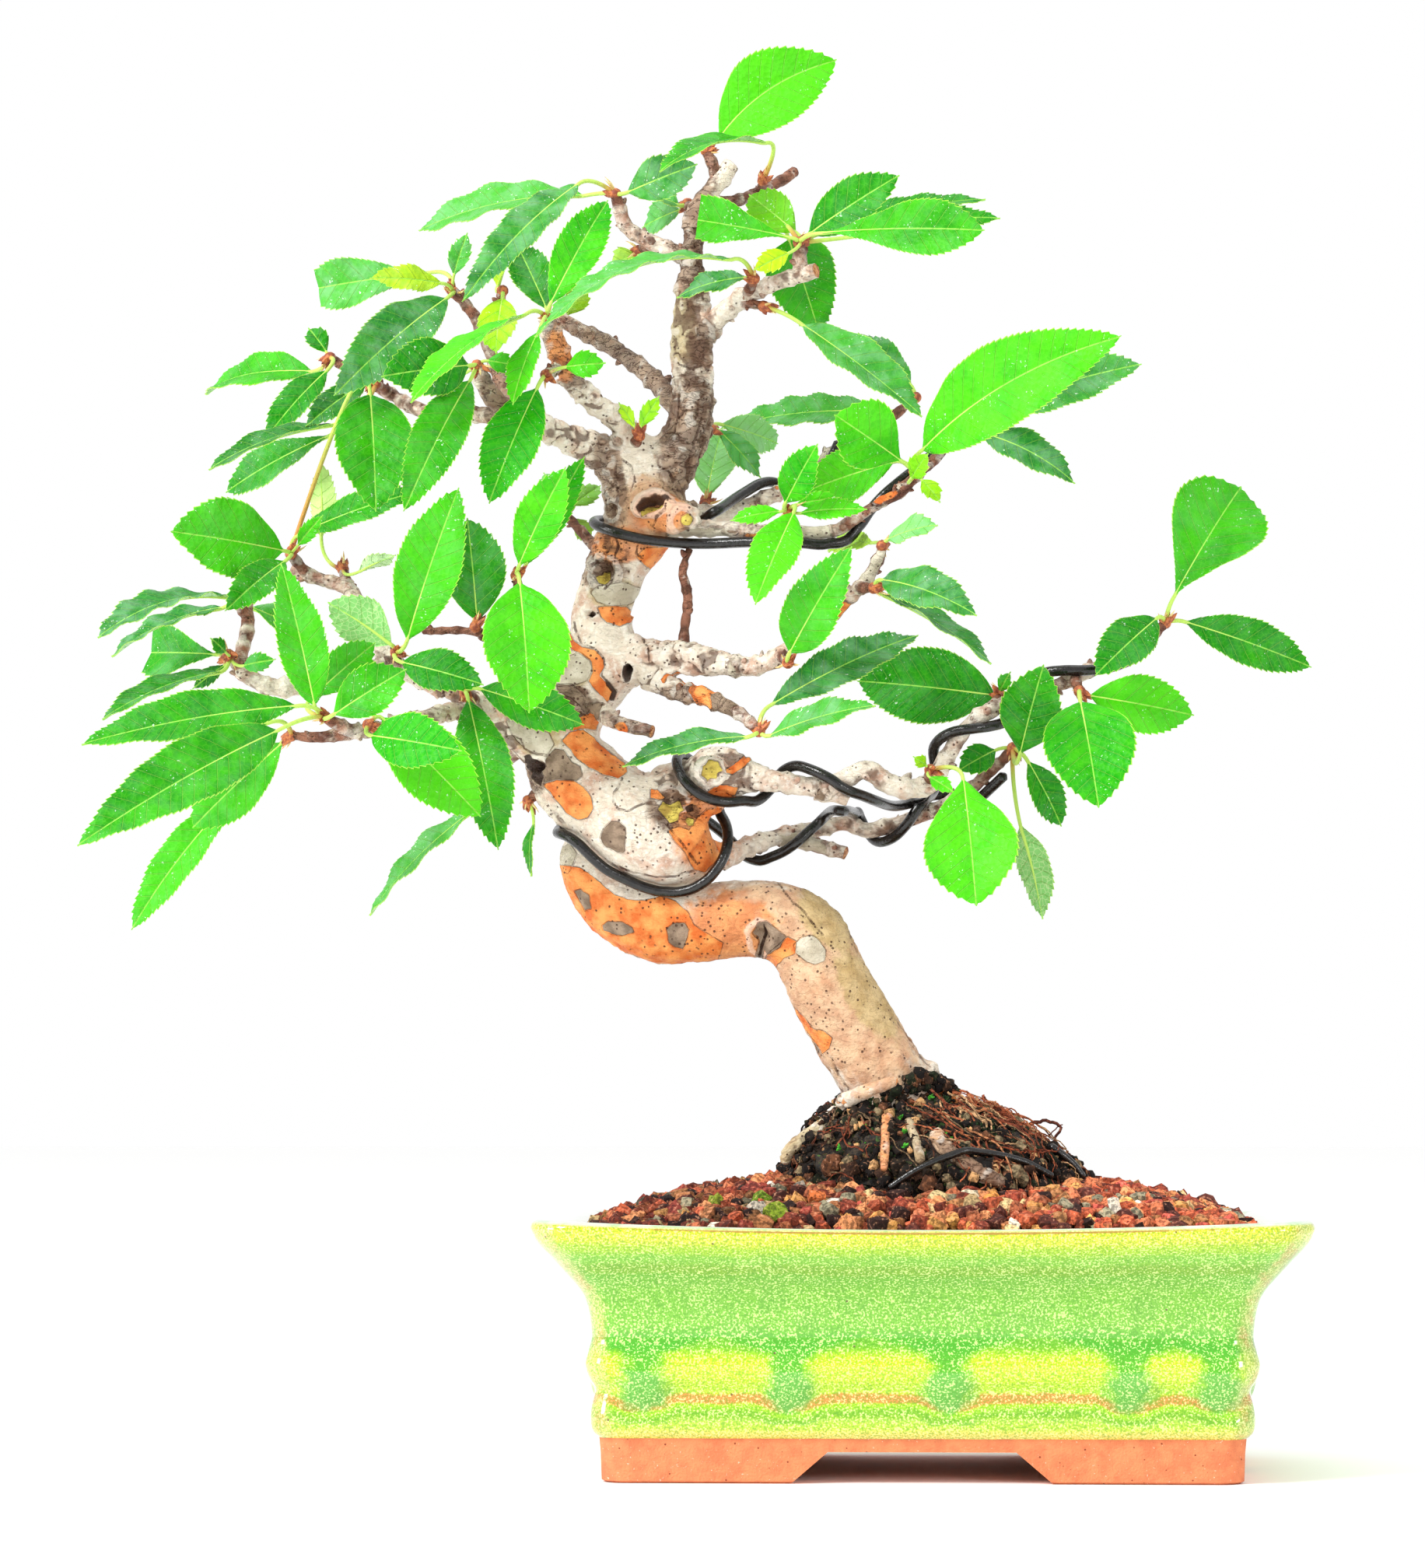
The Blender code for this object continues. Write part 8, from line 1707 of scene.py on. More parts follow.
@dataclass
class Wood:
    """The trunk, branches and twigs: thick wood grown into one skin, twigs as ringed tubes."""

    voxel: float = 0.45
    split_height: float = 150.0
    thick_from: float = 2.25
    root_from: float = 1.15
    collar: float = 0.3
    collar_reach: float = 3.2
    knuckle: float = 4.6
    knuckle_swell: float = 0.2
    spur_pitch: float = 4.2
    twig_sides: int = 12

    def line(self, limb: Limb, spacing: float) -> np.ndarray:
        """Return a limb's centre line with its radius: a smooth curve, in millimetres."""
        places = np.array(limb.path, float)
        points = np.column_stack((seen(places[:, :3]), places[:, 3] / BOARD_SCALE))
        return smooth_path(points, spacing)

    def solid_line(self, limb: Limb) -> np.ndarray:
        """Return a limb's centre line as the solids draw it, which stops short of its bud."""
        places = np.array(limb.path, float)
        points = np.column_stack((seen(places[:, :3]), places[:, 3] / BOARD_SCALE))
        if limb.bud:
            points[-1, :3] -= unit(points[-1, :3] - points[-2, :3]) * (HUB_RADIUS + GAP)
        return smooth_path(points, limb.spacing)

    def samples(self, limbs: dict, fine: bool) -> np.ndarray:
        """Return points close together on limbs' axes, with their radii.

        Args:
            limbs: The limbs by name.
            fine: Whether the lines are the scene's own, and not the solids' straight stretches.

        Returns:
            Rows of a point and a radius.
        """
        rows = []
        for limb in limbs.values():
            if fine:
                rows.append(self.line(limb, 0.9))
                continue
            line = self.solid_line(limb)
            ring = np.linspace(0, len(line) - 1, 12 * len(line))
            rows.append(np.column_stack([np.interp(ring, np.arange(len(line)), column)
                                         for column in line.T]))
        return np.vstack(rows)

    def thick_skins(self, limbs: dict, least: float) -> list[Skin]:
        """Make closed tubes of the limbs' thick stretches, each with a collar where it starts.

        The collar's radius is the limb's times 1 + collar · e^(-way / reach).

        Args:
            limbs: The limbs by name.
            least: The radius from which a stretch is thick.

        Returns:
            The tubes.
        """
        skins = []
        for name, limb in limbs.items():
            line = self.line(limb, 1.0)
            thin = np.flatnonzero(line[:, 3] < least)
            stop = int(thin[0]) if len(thin) else len(line)
            if stop < 4:
                continue
            line = line[:stop]
            way = np.concatenate(([0.0], np.cumsum(np.linalg.norm(np.diff(line[:, :3], axis=0), axis=1))))
            radii = line[:, 3] * (1.0 + self.collar * np.exp(-way / self.collar_reach)
                                  * (not name.startswith("trunk")))
            if len(thin):
                radii *= 1.0 - 0.12 * np.clip(1.0 - (way[-1] - way) / 3.0, 0.0, 1.0)
            skins.append(tube(line[:, :3], radii, 28, rounded=True))
        return skins

    def fused(self, skins: list[Skin]) -> Skin:
        """Grow skins into one: a voxel remesh, smoothed.

        Args:
            skins: The closed skins, which overlap.

        Returns:
            The one skin.
        """
        piece = put_in_scene("wood_in_the_making", joined(skins), [])
        remesh = piece.modifiers.new("remesh", "REMESH")
        remesh.mode = "VOXEL"
        remesh.voxel_size = self.voxel / METRE
        smooth = piece.modifiers.new("smooth", "SMOOTH")
        smooth.factor = 0.5
        smooth.iterations = 5
        return read_skin(piece)

    def weathered(self, skin: Skin) -> Skin:
        """Push a skin's points along their normals: bark clouds, knots, and the patches' own steps.

        Args:
            skin: The fused skin.

        Returns:
            The skin, with the fields that the bark's finish reads.
        """
        normals = point_normals(skin)
        relief = 0.22 * cloud(skin.points, 7.0, 5) + 0.1 * cloud(skin.points, 1.9, 9)
        board = on_board(skin.points)
        facing = (normals * unit(EYE - skin.points)).sum(axis=1)
        front = np.clip(facing * 2.5 + 0.4, 0.0, 1.0)
        for across, down, half, height in KNOTS:
            away = ((board - (across, down)) ** 2).sum(axis=1) / half ** 2
            relief += 0.75 * height * np.exp(-away) * front
        lips = np.zeros(len(board))
        for across, down, half_across, half_down, turn, lip, hollow in RINGS:
            angle = math.radians(turn)
            offset = board - (across, down)
            u = offset @ (math.cos(angle), math.sin(angle)) / half_across
            v = offset @ (-math.sin(angle), math.cos(angle)) / half_down
            away = np.hypot(u, v) + 0.12 * cloud(skin.points, 2.0, 17)
            lips += front * (lip * np.exp(-((away - 1.15) / 0.32) ** 2)
                             - hollow * np.exp(-(away / 0.75) ** 4))
        skin = self.dressed(skin, normals)
        fields = skin.fields
        off_trunk = np.minimum(*(outline_distance(board, [place[:2] for place in LIMBS[name].path], False)
                                 for name in ("trunk_lower", "trunk_upper")))
        knobby = np.clip((off_trunk - 8.0) / 3.0, 0.0, 1.0)
        rough = np.maximum(knobby, fields["brown"])
        folds = np.abs(cloud(skin.points * (1.0, 1.0, 1.5), 3.8, 16))
        carved = rough * (0.5 * cloud(skin.points, 2.9, 13) + 0.3 * cloud(skin.points, 1.5, 14)
                          - 0.55 * np.exp(-(folds / 0.16) ** 2)) + lips
        carved += 0.12 * cloud(skin.points, 1.6, 18)
        relief += carved
        # low is over 0 where the carving sinks and under 0 where it stands out; the bark's finish paints
        # shade and a highlight by it.
        skin = skin.with_fields(low=np.clip(-2.2 * (carved - 0.75 * np.minimum(lips, 0.0)), -1.0, 1.0))
        relief -= 0.16 * np.clip(np.maximum(fields["orange"], fields["taupe"]) / 0.35, 0.0, 1.0)
        relief += 0.14 * np.clip(fields["plate"] / 0.35, 0.0, 1.0)
        relief -= 0.9 * np.clip(fields["hollow"] / 0.7, 0.0, 1.0)
        relief -= 0.35 * np.clip(fields["seam"] / 0.3, 0.0, 1.0)
        relief += 0.25 * np.clip(fields["scar"] / 0.5, 0.0, 1.0) * cloud(skin.points, 1.1, 15)
        skin.points = skin.points + normals * relief[:, None]
        return skin

    def dressed(self, skin: Skin, normals: np.ndarray) -> Skin:
        """Work out the bark's fields.

        A patch's field is how far inside its outline a point is, in millimetres. A zone's is 1 in its
        middle and falls to 0 at its ellipse. A seam's is its half width less the distance to its
        line. On the far side, which no photograph shows, the patches are clouds cut at a level.

        Args:
            skin: The skin.
            normals: Its points' outward directions.

        Returns:
            The skin with its fields.
        """
        board = on_board(skin.points)
        facing = (normals * unit(EYE - skin.points)).sum(axis=1)
        front = np.clip(facing * 4.0 + 0.8, 0.0, 1.0)
        crisp = ("orange", "taupe", "plate", "scar", "hollow", "seam")
        fields = {name: np.full(len(board), -2.0) for name in crisp}
        for name, line in [(patch.kind.value, patch.outline) for patch in PATCHES] + [
                ("seam", line) for line in SEAMS]:
            corners = np.array(line, float)
            near = ((board > corners.min(axis=0) - 12.0) & (board < corners.max(axis=0) + 12.0)).all(axis=1)
            if near.any():
                reach = outline_distance(board[near], line, name != "seam")
                reach = 0.28 - reach if name == "seam" else reach
                fields[name][near] = np.maximum(fields[name][near], reach)
        levels = {"orange": (9.0, 0.55, 21), "taupe": (7.0, 0.62, 23), "plate": (11.0, 0.4, 25),
                  "scar": (6.0, 1.25, 27), "hollow": (5.0, 1.3, 29), "seam": (6.0, 1.3, 31)}
        for name, (size, level, seed) in levels.items():
            far = 2.0 * (cloud(skin.points, size, seed) - level)
            fields[name] = fields[name] * front + far * (1.0 - front)
        for zone in ZONES:
            turn = math.radians(zone.turn)
            offset = board - (zone.across, zone.down)
            u = (offset @ (math.cos(turn), math.sin(turn))) / zone.half_across
            v = (offset @ (-math.sin(turn), math.cos(turn))) / zone.half_down
            inner = np.clip(1.7 * (1.0 - np.hypot(u, v)), 0.0, 1.0)
            name = zone.kind.value
            fields[name] = np.maximum(fields.get(name, 0.0), inner)
        return skin.with_fields(**fields)

    def twig(self, limb: Limb) -> Skin | None:
        """Make a limb's thin stretch: a tube ringed at its nodes, each ring a bell curve e^(-t²).

        Args:
            limb: The limb, which ends in a flat cut where it has no bud.

        Returns:
            The stretch, or None where the whole limb is thick.
        """
        line = self.line(limb, TWIG_STEP)
        thick = np.flatnonzero(line[:, 3] >= self.thick_from)
        start = max(0, int(thick[-1]) - 4) if len(thick) else 0
        line = line[start:]
        if len(line) < 4 or line[-1, 3] >= self.thick_from:
            return None
        way = np.arange(len(line)) * TWIG_STEP
        luck = chances(64, 2, len(LIMBS) + int(abs(line[0, 0]) * 7.0))
        swell, place = np.zeros(len(line)), 0.0
        for rise, gap in luck:
            place += self.knuckle * (1.0 + 0.45 * gap)
            swell += (1.0 + 0.6 * rise) * np.exp(-((way[-1] - place - way) / 0.7) ** 2)
        radii = line[:, 3] * (1.0 + self.knuckle_swell * swell)
        if not start:
            radii *= 1.0 + 0.35 * np.exp(-way / 2.2)
        points, cut = line[:, :3], np.zeros(len(line))
        if not limb.bud:
            ahead = unit(points[-1] - points[-2])
            points = np.vstack((points, points[-1] + ahead * 0.12, points[-1] + ahead * 0.1))
            radii = np.concatenate((radii, radii[-1:] * 0.9, radii[-1:] * 0.5))
            cut = np.concatenate((cut, (1.0, 1.0)))
        skin = tube(points, radii, self.twig_sides)
        normals = point_normals(skin)
        relief = 0.22 * cloud(skin.points, 2.2, 31) + 0.12 * cloud(skin.points, 0.9, 33)
        skin.points = skin.points + normals * relief[:, None]
        thin = np.clip((2.1 - np.repeat(radii, self.twig_sides)) / 1.1, 0.0, 1.0)
        # low carries the twig's relief, which the bark's finish turns into painted shade and highlight.
        skin = self.dressed(skin, normals).with_fields(
            twig=thin, cut=np.repeat(cut, self.twig_sides), low=np.clip(-4.0 * relief, -1.0, 1.0))
        return joined([skin, self.spurs(line)])

    def spurs(self, line: np.ndarray) -> Skin:
        """Make a twig's spurs and sleeping buds: short cones that lean out along its line.

        Args:
            line: The twig's places with their radii.

        Returns:
            The spurs in one skin.
        """
        count = max(2, int(len(line) * TWIG_STEP / self.spur_pitch))
        luck = chances(count, 4, 3 + int(abs(line[0, 2]) * 5.0))
        row = np.clip(((np.arange(count) + 0.5 + 0.3 * luck[:, 0]) / count * (len(line) - 1)).astype(int),
                      1, len(line) - 2)
        ahead = unit(line[row + 1, :3] - line[row - 1, :3])
        across = unit(np.cross(ahead, (0.3, 0.8, 0.52)))
        angle = (math.pi * luck[:, 1])[:, None]
        out = across * np.cos(angle) + np.cross(ahead, across) * np.sin(angle)
        lean = unit(out + 0.5 * ahead)
        radius = line[row, 3][:, None]
        steps = np.array([0.0, 0.45, 0.8, 1.0])[None, :, None]
        size = (0.55 + 0.35 * luck[:, 2])[:, None] * (0.6 + 0.4 * radius)
        lines = (line[row, :3] + out * radius * 0.6)[:, None] + lean[:, None] * steps * (
            0.4 * radius + size * 1.5)[:, None]
        radii = np.array([0.95, 0.8, 0.5, 0.12])[None] * size
        skin = bundle(lines, radii, 6)
        return self.dressed(skin, point_normals(skin)).with_fields(
            twig=np.repeat(np.clip(1.2 - 0.35 * radius[:, 0], 0.0, 1.0), 24), cut=0.0, low=0.0)

    def build(self, finish: bpy.types.Material) -> list[bpy.types.Object]:
        """Make the trunk with the roots' thick stretches, in an upper and a lower piece, and the twigs.

        Args:
            finish: The bark's material.

        Returns:
            The pieces.
        """
        thick = self.thick_skins(LIMBS, self.thick_from) + self.thick_skins(ROOTS, self.root_from)
        trunk = self.weathered(self.fused(thick)).with_fields(twig=0.0, cut=0.0)
        high = skin_heights(trunk) > self.split_height
        made = [twig for limb in LIMBS.values() if (twig := self.twig(limb))]
        return [declared(put_in_scene(name, skin, [finish], 60.0), "trunk_and_branches")
                for name, skin in (("trunk_bark", part_of(trunk, ~high)),
                                   ("bough_bark", part_of(trunk, high)), ("twig_bark", joined(made)))]


@dataclass
class RootBall:
    """The matted root ball over the soil: peat, fine roots, loops and moss."""

    sides: int = 160
    rows: int = 44
    rootlets: int = 380
    sprigs: int = 420
    crumb_count: int = 620
    crumb_tones: tuple = ("0d0a08", "1c1610", "2c2216", "18240e", "442a1a", "6a4026", "8e7c5c", "dca870")
    root_tones: tuple = ("d08a5c", "c06a44", "a8512f", "e0b080", "8a4228", "5c3320", "3a2318", "22160f",
                         "7d6448", "c8a67c")

    def place(self, angles: np.ndarray, way: np.ndarray) -> np.ndarray:
        """Return places on the ball: upright below its shoulder, then drawn in to the trunk's foot.

        Args:
            angles: Angles round the ball.
            way: How far up: under 0 below the shoulder, and 1 at the trunk's foot.

        Returns:
            The places, as (..., 3).
        """
        share = np.clip(way, 0.0, 1.0)
        middle = BALL_MIDDLE - 7.4 * share
        half_length = BALL_HALF_LENGTH + (12.5 - BALL_HALF_LENGTH) * share
        half_depth = BALL_HALF_DEPTH + (11.5 - BALL_HALF_DEPTH) * share
        height = BALL_SHOULDER + (BALL_TOP - BALL_SHOULDER) * share ** 0.6
        height = height + np.minimum(way, 0.0) * (BALL_SHOULDER - BALL_BOTTOM)
        ridge = 0.97 + 0.03 * np.sin(angles * 6.0 + height * 0.35) * (way > 0.0)
        return np.stack((middle + half_length * ridge * np.cos(angles),
                         half_depth * ridge * np.sin(angles), height), axis=-1)

    def peat(self) -> Skin:
        """Make the ball's own skin: its shape on a fine grid, roughened by clouds."""
        ways = np.concatenate((np.linspace(-1.0, -0.05, 8), np.linspace(0.0, 1.0, self.rows) ** 1.5))
        angles = np.arange(self.sides) * 2.0 * math.pi / self.sides
        rings = self.place(angles[None] + 0.0 * ways[:, None], ways[:, None] + 0.0 * angles[None])
        skin = lofted(rings)
        normals = point_normals(skin)
        relief = 1.5 * cloud(skin.points, 5.0, 41) + 1.3 * cloud(skin.points, 1.7, 43) - 1.1
        skin.points = skin.points + normals * relief[:, None]
        return skin

    def crumbs(self) -> Skin:
        """Make crumbs of dark peat and stone chips, which stand half out of the ball's skin.

        Returns:
            The crumbs in one skin.
        """
        count = self.crumb_count
        luck = chances(count, 11, 55)
        ways = 0.92 * (0.5 + 0.5 * luck[:, 1]) ** 1.6 - 0.02
        angles = math.pi * np.where(np.arange(count) % 5, 0.5 * luck[:, 0] - 0.5, luck[:, 0])
        places = self.place(angles, ways)
        size = 0.4 + 0.75 * (0.5 + 0.5 * luck[:, 2]) ** 2 + 0.5 * (ways < 0.12)
        tones = np.array([colour(tone) for tone in self.crumb_tones])
        own = tones[((0.5 + 0.499 * luck[:, 3]) ** 1.7 * len(tones)).astype(int)]
        places = places + unit(places - (BALL_MIDDLE, 0.0, 48.0)) * 0.3
        climb = np.arange(count) % 4 == 0
        across, down = 1182.0 + 50.0 * luck[climb, 0], 1414.0 + 24.0 * luck[climb, 1]
        down -= 16.0 * np.clip(1.0 - np.abs(across - 1186.0) / 30.0, 0.0, 1.0)
        round_trunk = np.sqrt(np.clip(58.0 ** 2 - (across - 1146.0) ** 2, 0.0, None)) / BOARD_SCALE
        places[climb] = seen(np.column_stack((across, down, -np.maximum(round_trunk, 3.2) - 0.4)))
        size[climb] *= 0.8
        own[climb] = tones[(np.abs(luck[climb, 3]) * 5.999).astype(int)]
        return lumps(places, size, luck[:, 4:7], luck[:, 7:10], own)

    def fine_roots(self) -> Skin:
        """Make the fine roots: walks over the ball, whose heading is a running sum of luck.

        More of them lie on the right, where they are redder and stand further off the peat.
        """
        count, rows = self.rootlets, 18
        luck = chances(count, rows, 47)
        first, second, third, fourth = chances(count, 4, 51).T
        right = np.arange(count) % 5 < 2
        heading = math.pi * second[:, None] + 0.55 * np.cumsum(luck, axis=1)
        stride = (0.55 + 0.3 * third[:, None]) * np.where(right, 1.25, 1.0)[:, None]
        angles = np.where(right, 1.0, math.pi)[:, None] * first[:, None] - 0.3 * right[:, None]
        angles = angles + np.cumsum(np.cos(heading) * stride, axis=1) / 29.0
        ways = np.where(right, 0.42, 0.3)[:, None] + np.where(right, 0.4, 0.45)[:, None] * fourth[:, None]
        ways = np.clip(ways + np.cumsum(np.sin(heading) * stride, axis=1) / 24.0, -0.15, 1.02)
        lines = self.place(angles, ways)
        outward = unit(lines - (BALL_MIDDLE, 0.0, 48.0))
        steps = np.linspace(0.0, 1.0, rows)[None]
        bow = np.sin(math.pi * steps) * (0.3 + np.where(right, 1.5, 0.6)[:, None] * np.abs(third[:, None]))
        lines = lines + outward * (0.3 + bow + 0.4 * luck ** 2)[..., None]
        thick = (0.11 + 0.13 * np.abs(first) + right * 0.28 * np.maximum(fourth, 0.0) ** 3)[:, None]
        tones = np.array([colour(tone) for tone in self.root_tones])
        pick = np.clip((0.5 + 0.499 * luck[:, 0]) * 5 + 4 * ~right, 0, len(tones) - 1).astype(int)
        return bundle(lines, thick * (1.15 - 0.7 * steps), 4).with_fields(
            own=np.repeat(tones[pick], rows * 4, axis=0))

    def loops(self) -> Skin:
        """Make the few fine roots that loop up clear of the ball, against the light."""
        skins = []
        for path, radius in ROOT_LOOPS:
            line = smooth_path(seen(path), 0.7)
            wander = 0.25 * chances(len(line), 3, int(path[0][0]))
            line = line + wander * np.sin(math.pi * np.linspace(0.0, 1.0, len(line)))[:, None]
            skins.append(tube(line, radius * np.linspace(1.15, 0.7, len(line)), 6, rounded=True))
        skin = joined(skins)
        return skin.with_fields(own=np.tile(colour("6b3526"), (len(skin.points), 1)))

    def roots(self, wood: Wood) -> Skin:
        """Make the roots' thin stretches, over the ball's skin.

        Args:
            wood: The wood, which gives the roots' lines and bark.

        Returns:
            The stretches in one skin.
        """
        skins = []
        for name, limb in ROOTS.items():
            line = wood.line(limb, 0.9)
            line[:, 3] *= 0.96
            skin = tube(line[:, :3], line[:, 3], 12, rounded=True)
            normals = point_normals(skin)
            relief = 0.16 * cloud(skin.points, 3.0, 61) + 0.07 * cloud(skin.points, 1.0, 63)
            skin.points = skin.points + normals * relief[:, None]
            dressed = wood.dressed(skin, normals)
            tinge = ROOT_TINGES.get(name, {})
            # low carries the root's relief, which the bark's finish turns into painted shade and highlight.
            dressed = dressed.with_fields(low=np.clip(-4.0 * relief, -1.0, 1.0),
                                          **{kind: np.full(len(skin.points), share)
                                             for kind, share in tinge.items()})
            skins.append(dressed)
        return joined(skins).with_fields(twig=0.0, cut=0.0)

    def moss(self) -> Skin:
        """Make moss: short dark sprigs in tufts high on the ball, and the few bright seedlings.

        Returns:
            The sprigs in one skin.
        """
        count = self.sprigs
        tuft = np.repeat(chances(count // 9 + 1, 2, 73), 9, axis=0)[:count]
        one = chances(count, 5, 71)
        roots = self.place(math.pi * tuft[:, 0] + 0.09 * one[:, 0],
                           0.66 + 0.3 * tuft[:, 1] + 0.05 * one[:, 1])
        up = unit(unit(roots - (BALL_MIDDLE, 0.0, 50.0)) + 0.7 * one[:, 2:5])
        size, tone = 0.75 + 0.3 * one[:, :1], np.tile(colour("24421f"), (count, 1))
        seeds = np.array(SEEDLINGS, float)
        angles, ways = np.meshgrid(np.linspace(-math.pi, 0.0, 240), np.linspace(0.0, 1.0, 120))
        skin = self.place(angles, ways).reshape(-1, 3)
        board = on_board(skin)
        behind = (skin[:, 1] > 0) * 99.0
        sat = np.array([skin[np.argmin(np.hypot(*(board - seed).T) + behind)] for seed in seeds])
        leaves = 6
        fan = chances(len(seeds) * leaves, 3, 75)
        sat = np.repeat(sat, leaves, axis=0)
        roots = np.vstack((roots, sat))
        up = np.vstack((up, unit(unit(sat - (BALL_MIDDLE, 0.0, 50.0)) + 1.1 * fan)))
        size = np.vstack((size, 1.0 + 0.4 * fan[:, :1]))
        tone = np.vstack((tone, np.tile(colour("57c23a"), (len(sat), 1))))
        steps = np.array([-0.3, 0.35, 0.7, 1.0])[None, :, None]
        lines = roots[:, None] + up[:, None] * steps * size[:, None]
        radii = np.array([0.14, 0.3, 0.26, 0.05])[None] * (0.6 + 0.3 * size)
        return bundle(lines, radii, 4).with_fields(own=np.repeat(tone, 16, axis=0))

    def build(self, wood: Wood, bark: bpy.types.Material) -> list[bpy.types.Object]:
        """Make the ball's pieces and dress them.

        Args:
            wood: The wood, which gives the roots' lines and bark.
            bark: The bark's material.

        Returns:
            The pieces.
        """
        rows = (
            ("root_ball_peat", self.peat(), PlainFinish.PEAT.make()),
            ("surface_roots", self.roots(wood), bark),
            ("peat_crumbs", self.crumbs(), granule_finish("peat_crumb", 0.3)),
            ("fine_roots", joined([self.fine_roots(), self.loops()]), granule_finish("rootlet", 0.2)),
            ("root_moss", self.moss(), granule_finish("moss", 0.1)),
        )
        return [declared(put_in_scene(name, skin, [finish], 70.0), "trunk_and_branches")
                for name, skin, finish in rows]


@dataclass
class Soil:
    """The heaped soil: a bed, dark as painted shade for the gaps, and the granules that lie on it."""

    bottom: float = 14.8
    sunk: float = 1.2
    pitch: float = 2.12
    grain_small: float = 0.95
    grain_large: float = 1.95
    tones: tuple = ("c8603e", "da7c54", "9a4430", "ee9c66", "f4ae62", "f0cc90", "6a342a", "38201c",
                    "9c9478", "fff2dc", "d66050", "b47a4c")
    shares: tuple = (0.17, 0.16, 0.12, 0.11, 0.06, 0.03, 0.09, 0.09, 0.06, 0.012, 0.06, 0.045)

    def height(self, x: np.ndarray, y: np.ndarray) -> np.ndarray:
        """Return the heap's height: full in the middle and level with the rim's inside at its edge."""
        long_side = np.clip(np.abs(x) / (POT_LENGTH / 2 - 10.8), 0.0, 1.0)
        short_side = np.clip(np.abs(y) / (POT_DEPTH / 2 - 10.8), 0.0, 1.0)
        return SOIL_EDGE + SOIL_HEAP * (1.0 - long_side ** 3.5) * (1.0 - short_side ** 2.5)

    def bed(self) -> Skin:
        """Make the bed: rings up the pot's inside, then in over the heap to the root ball's well.

        Returns:
            The bed as one closed skin.
        """
        heights = np.array([height for inset, height in POT_INSIDE])[::-1]
        insets = np.array([inset for inset, height in POT_INSIDE])[::-1]
        outlines = []
        for height in (self.bottom, 20.0, 25.0, 30.0, 36.0, 42.0, 47.0, SOIL_EDGE - 1.4):
            inset = float(np.interp(height, heights, insets)) + 0.5
            flat = rounded_ring(POT_LENGTH / 2 - inset, POT_DEPTH / 2 - inset,
                                max(3.0, POT_CORNER - 0.35 * inset), 6, 40, 28)
            outlines.append(np.column_stack((flat, np.full(len(flat), height))))
        edge = outlines[-1][:, :2]
        angles = np.arctan2(edge[:, 1] * POT_LENGTH / POT_DEPTH, edge[:, 0])
        well = np.column_stack((BALL_MIDDLE + (BALL_HALF_LENGTH - 1.0) * np.cos(angles),
                                (BALL_HALF_DEPTH - 1.0) * np.sin(angles)))
        for share in np.linspace(0.98, 0.0, 22):
            flat = well + (edge - well) * share
            top = self.height(flat[:, 0], flat[:, 1]) - self.sunk
            relief = 0.35 * cloud(np.column_stack((flat, top)), 2.2, 81)
            outlines.append(np.column_stack((flat, top + relief)))
        outlines.append(np.column_stack((well, np.full(len(well), BALL_BOTTOM - 1.0))))
        return lofted(np.array(outlines))

    def granules(self) -> Skin:
        """Make the granules: lumps on a jittered grid, each with its own size, turn and colour.

        Returns:
            The granules in one skin.
        """
        columns = np.arange(-34, 35) * self.pitch
        rows = np.arange(-23, 24) * self.pitch
        x, y = (grid.ravel() for grid in np.meshgrid(columns, rows, indexing="ij"))
        luck = chances(len(x), 9, 90)
        x, y = x + 0.75 * luck[:, 0], y + 0.75 * luck[:, 1]
        half_x, half_y = POT_LENGTH / 2 - 11.6, POT_DEPTH / 2 - 11.6
        inside = (np.abs(x) < half_x) & (np.abs(y) < half_y)
        corner = np.hypot(np.maximum(np.abs(x) - half_x + 6.0, 0.0),
                          np.maximum(np.abs(y) - half_y + 6.0, 0.0))
        ball = ((x - BALL_MIDDLE) / (BALL_HALF_LENGTH - 0.3)) ** 2 + (y / (BALL_HALF_DEPTH - 0.3)) ** 2
        keep = inside & (corner < 6.0) & (ball > 1.0)
        x, y, luck = x[keep], y[keep], luck[keep]
        count = len(x)
        size = self.grain_small + (self.grain_large - self.grain_small) * (0.5 + 0.5 * luck[:, 2]) ** 1.6
        z = self.height(x, y) - 0.75 + 0.5 * size + 0.5 * luck[:, 3]
        own = self.tints(count, luck[:, 8])
        own[:, :3] *= (1.0 - 0.5 * np.clip((-4.0 - x) / 34.0, 0.0, 1.0) * (luck[:, 6] < 0.6))[:, None]
        own[:, :3] *= (1.0 + 0.22 * np.clip((x - 10.0) / 30.0, 0.0, 1.0))[:, None]
        board = on_board(np.column_stack((x, y, z)))
        for across, down, tone in PALE_STONES:
            away = np.hypot(board[:, 0] - across, board[:, 1] - down) + 6.0 * np.maximum(y + 30.0, 0.0)
            own[np.argmin(away)] = colour(tone)
            size[np.argmin(away)] = self.grain_large
        skin = lumps(np.column_stack((x, y, z)), size, luck[:, 4:7], luck[:, 5:8], own)
        LOG.info("soil: %d granules", count)
        return skin

    def tints(self, count: int, luck: np.ndarray) -> np.ndarray:
        """Return each granule's colour: a tone picked by the tones' shares, a little lighter or darker."""
        pick = np.searchsorted(np.cumsum(self.shares) / sum(self.shares), 0.5 + 0.499 * luck)
        tones = np.array([colour(tone) for tone in self.tones])[np.clip(pick, 0, len(self.tones) - 1)]
        return np.column_stack((tones[:, :3] * (1.0 + 0.3 * chances(count, 1, 99)), tones[:, 3]))

    def build(self) -> list[bpy.types.Object]:
        """Make the bed and the granules."""
        bed = put_in_scene("soil_bed", self.bed(), [PlainFinish.BED.make()])
        grains = put_in_scene("soil_granules", self.granules(),
                              [granule_finish("lava_granule", 0.45)], 35.0)
        return [declared(piece, "soil") for piece in (bed, grains)]


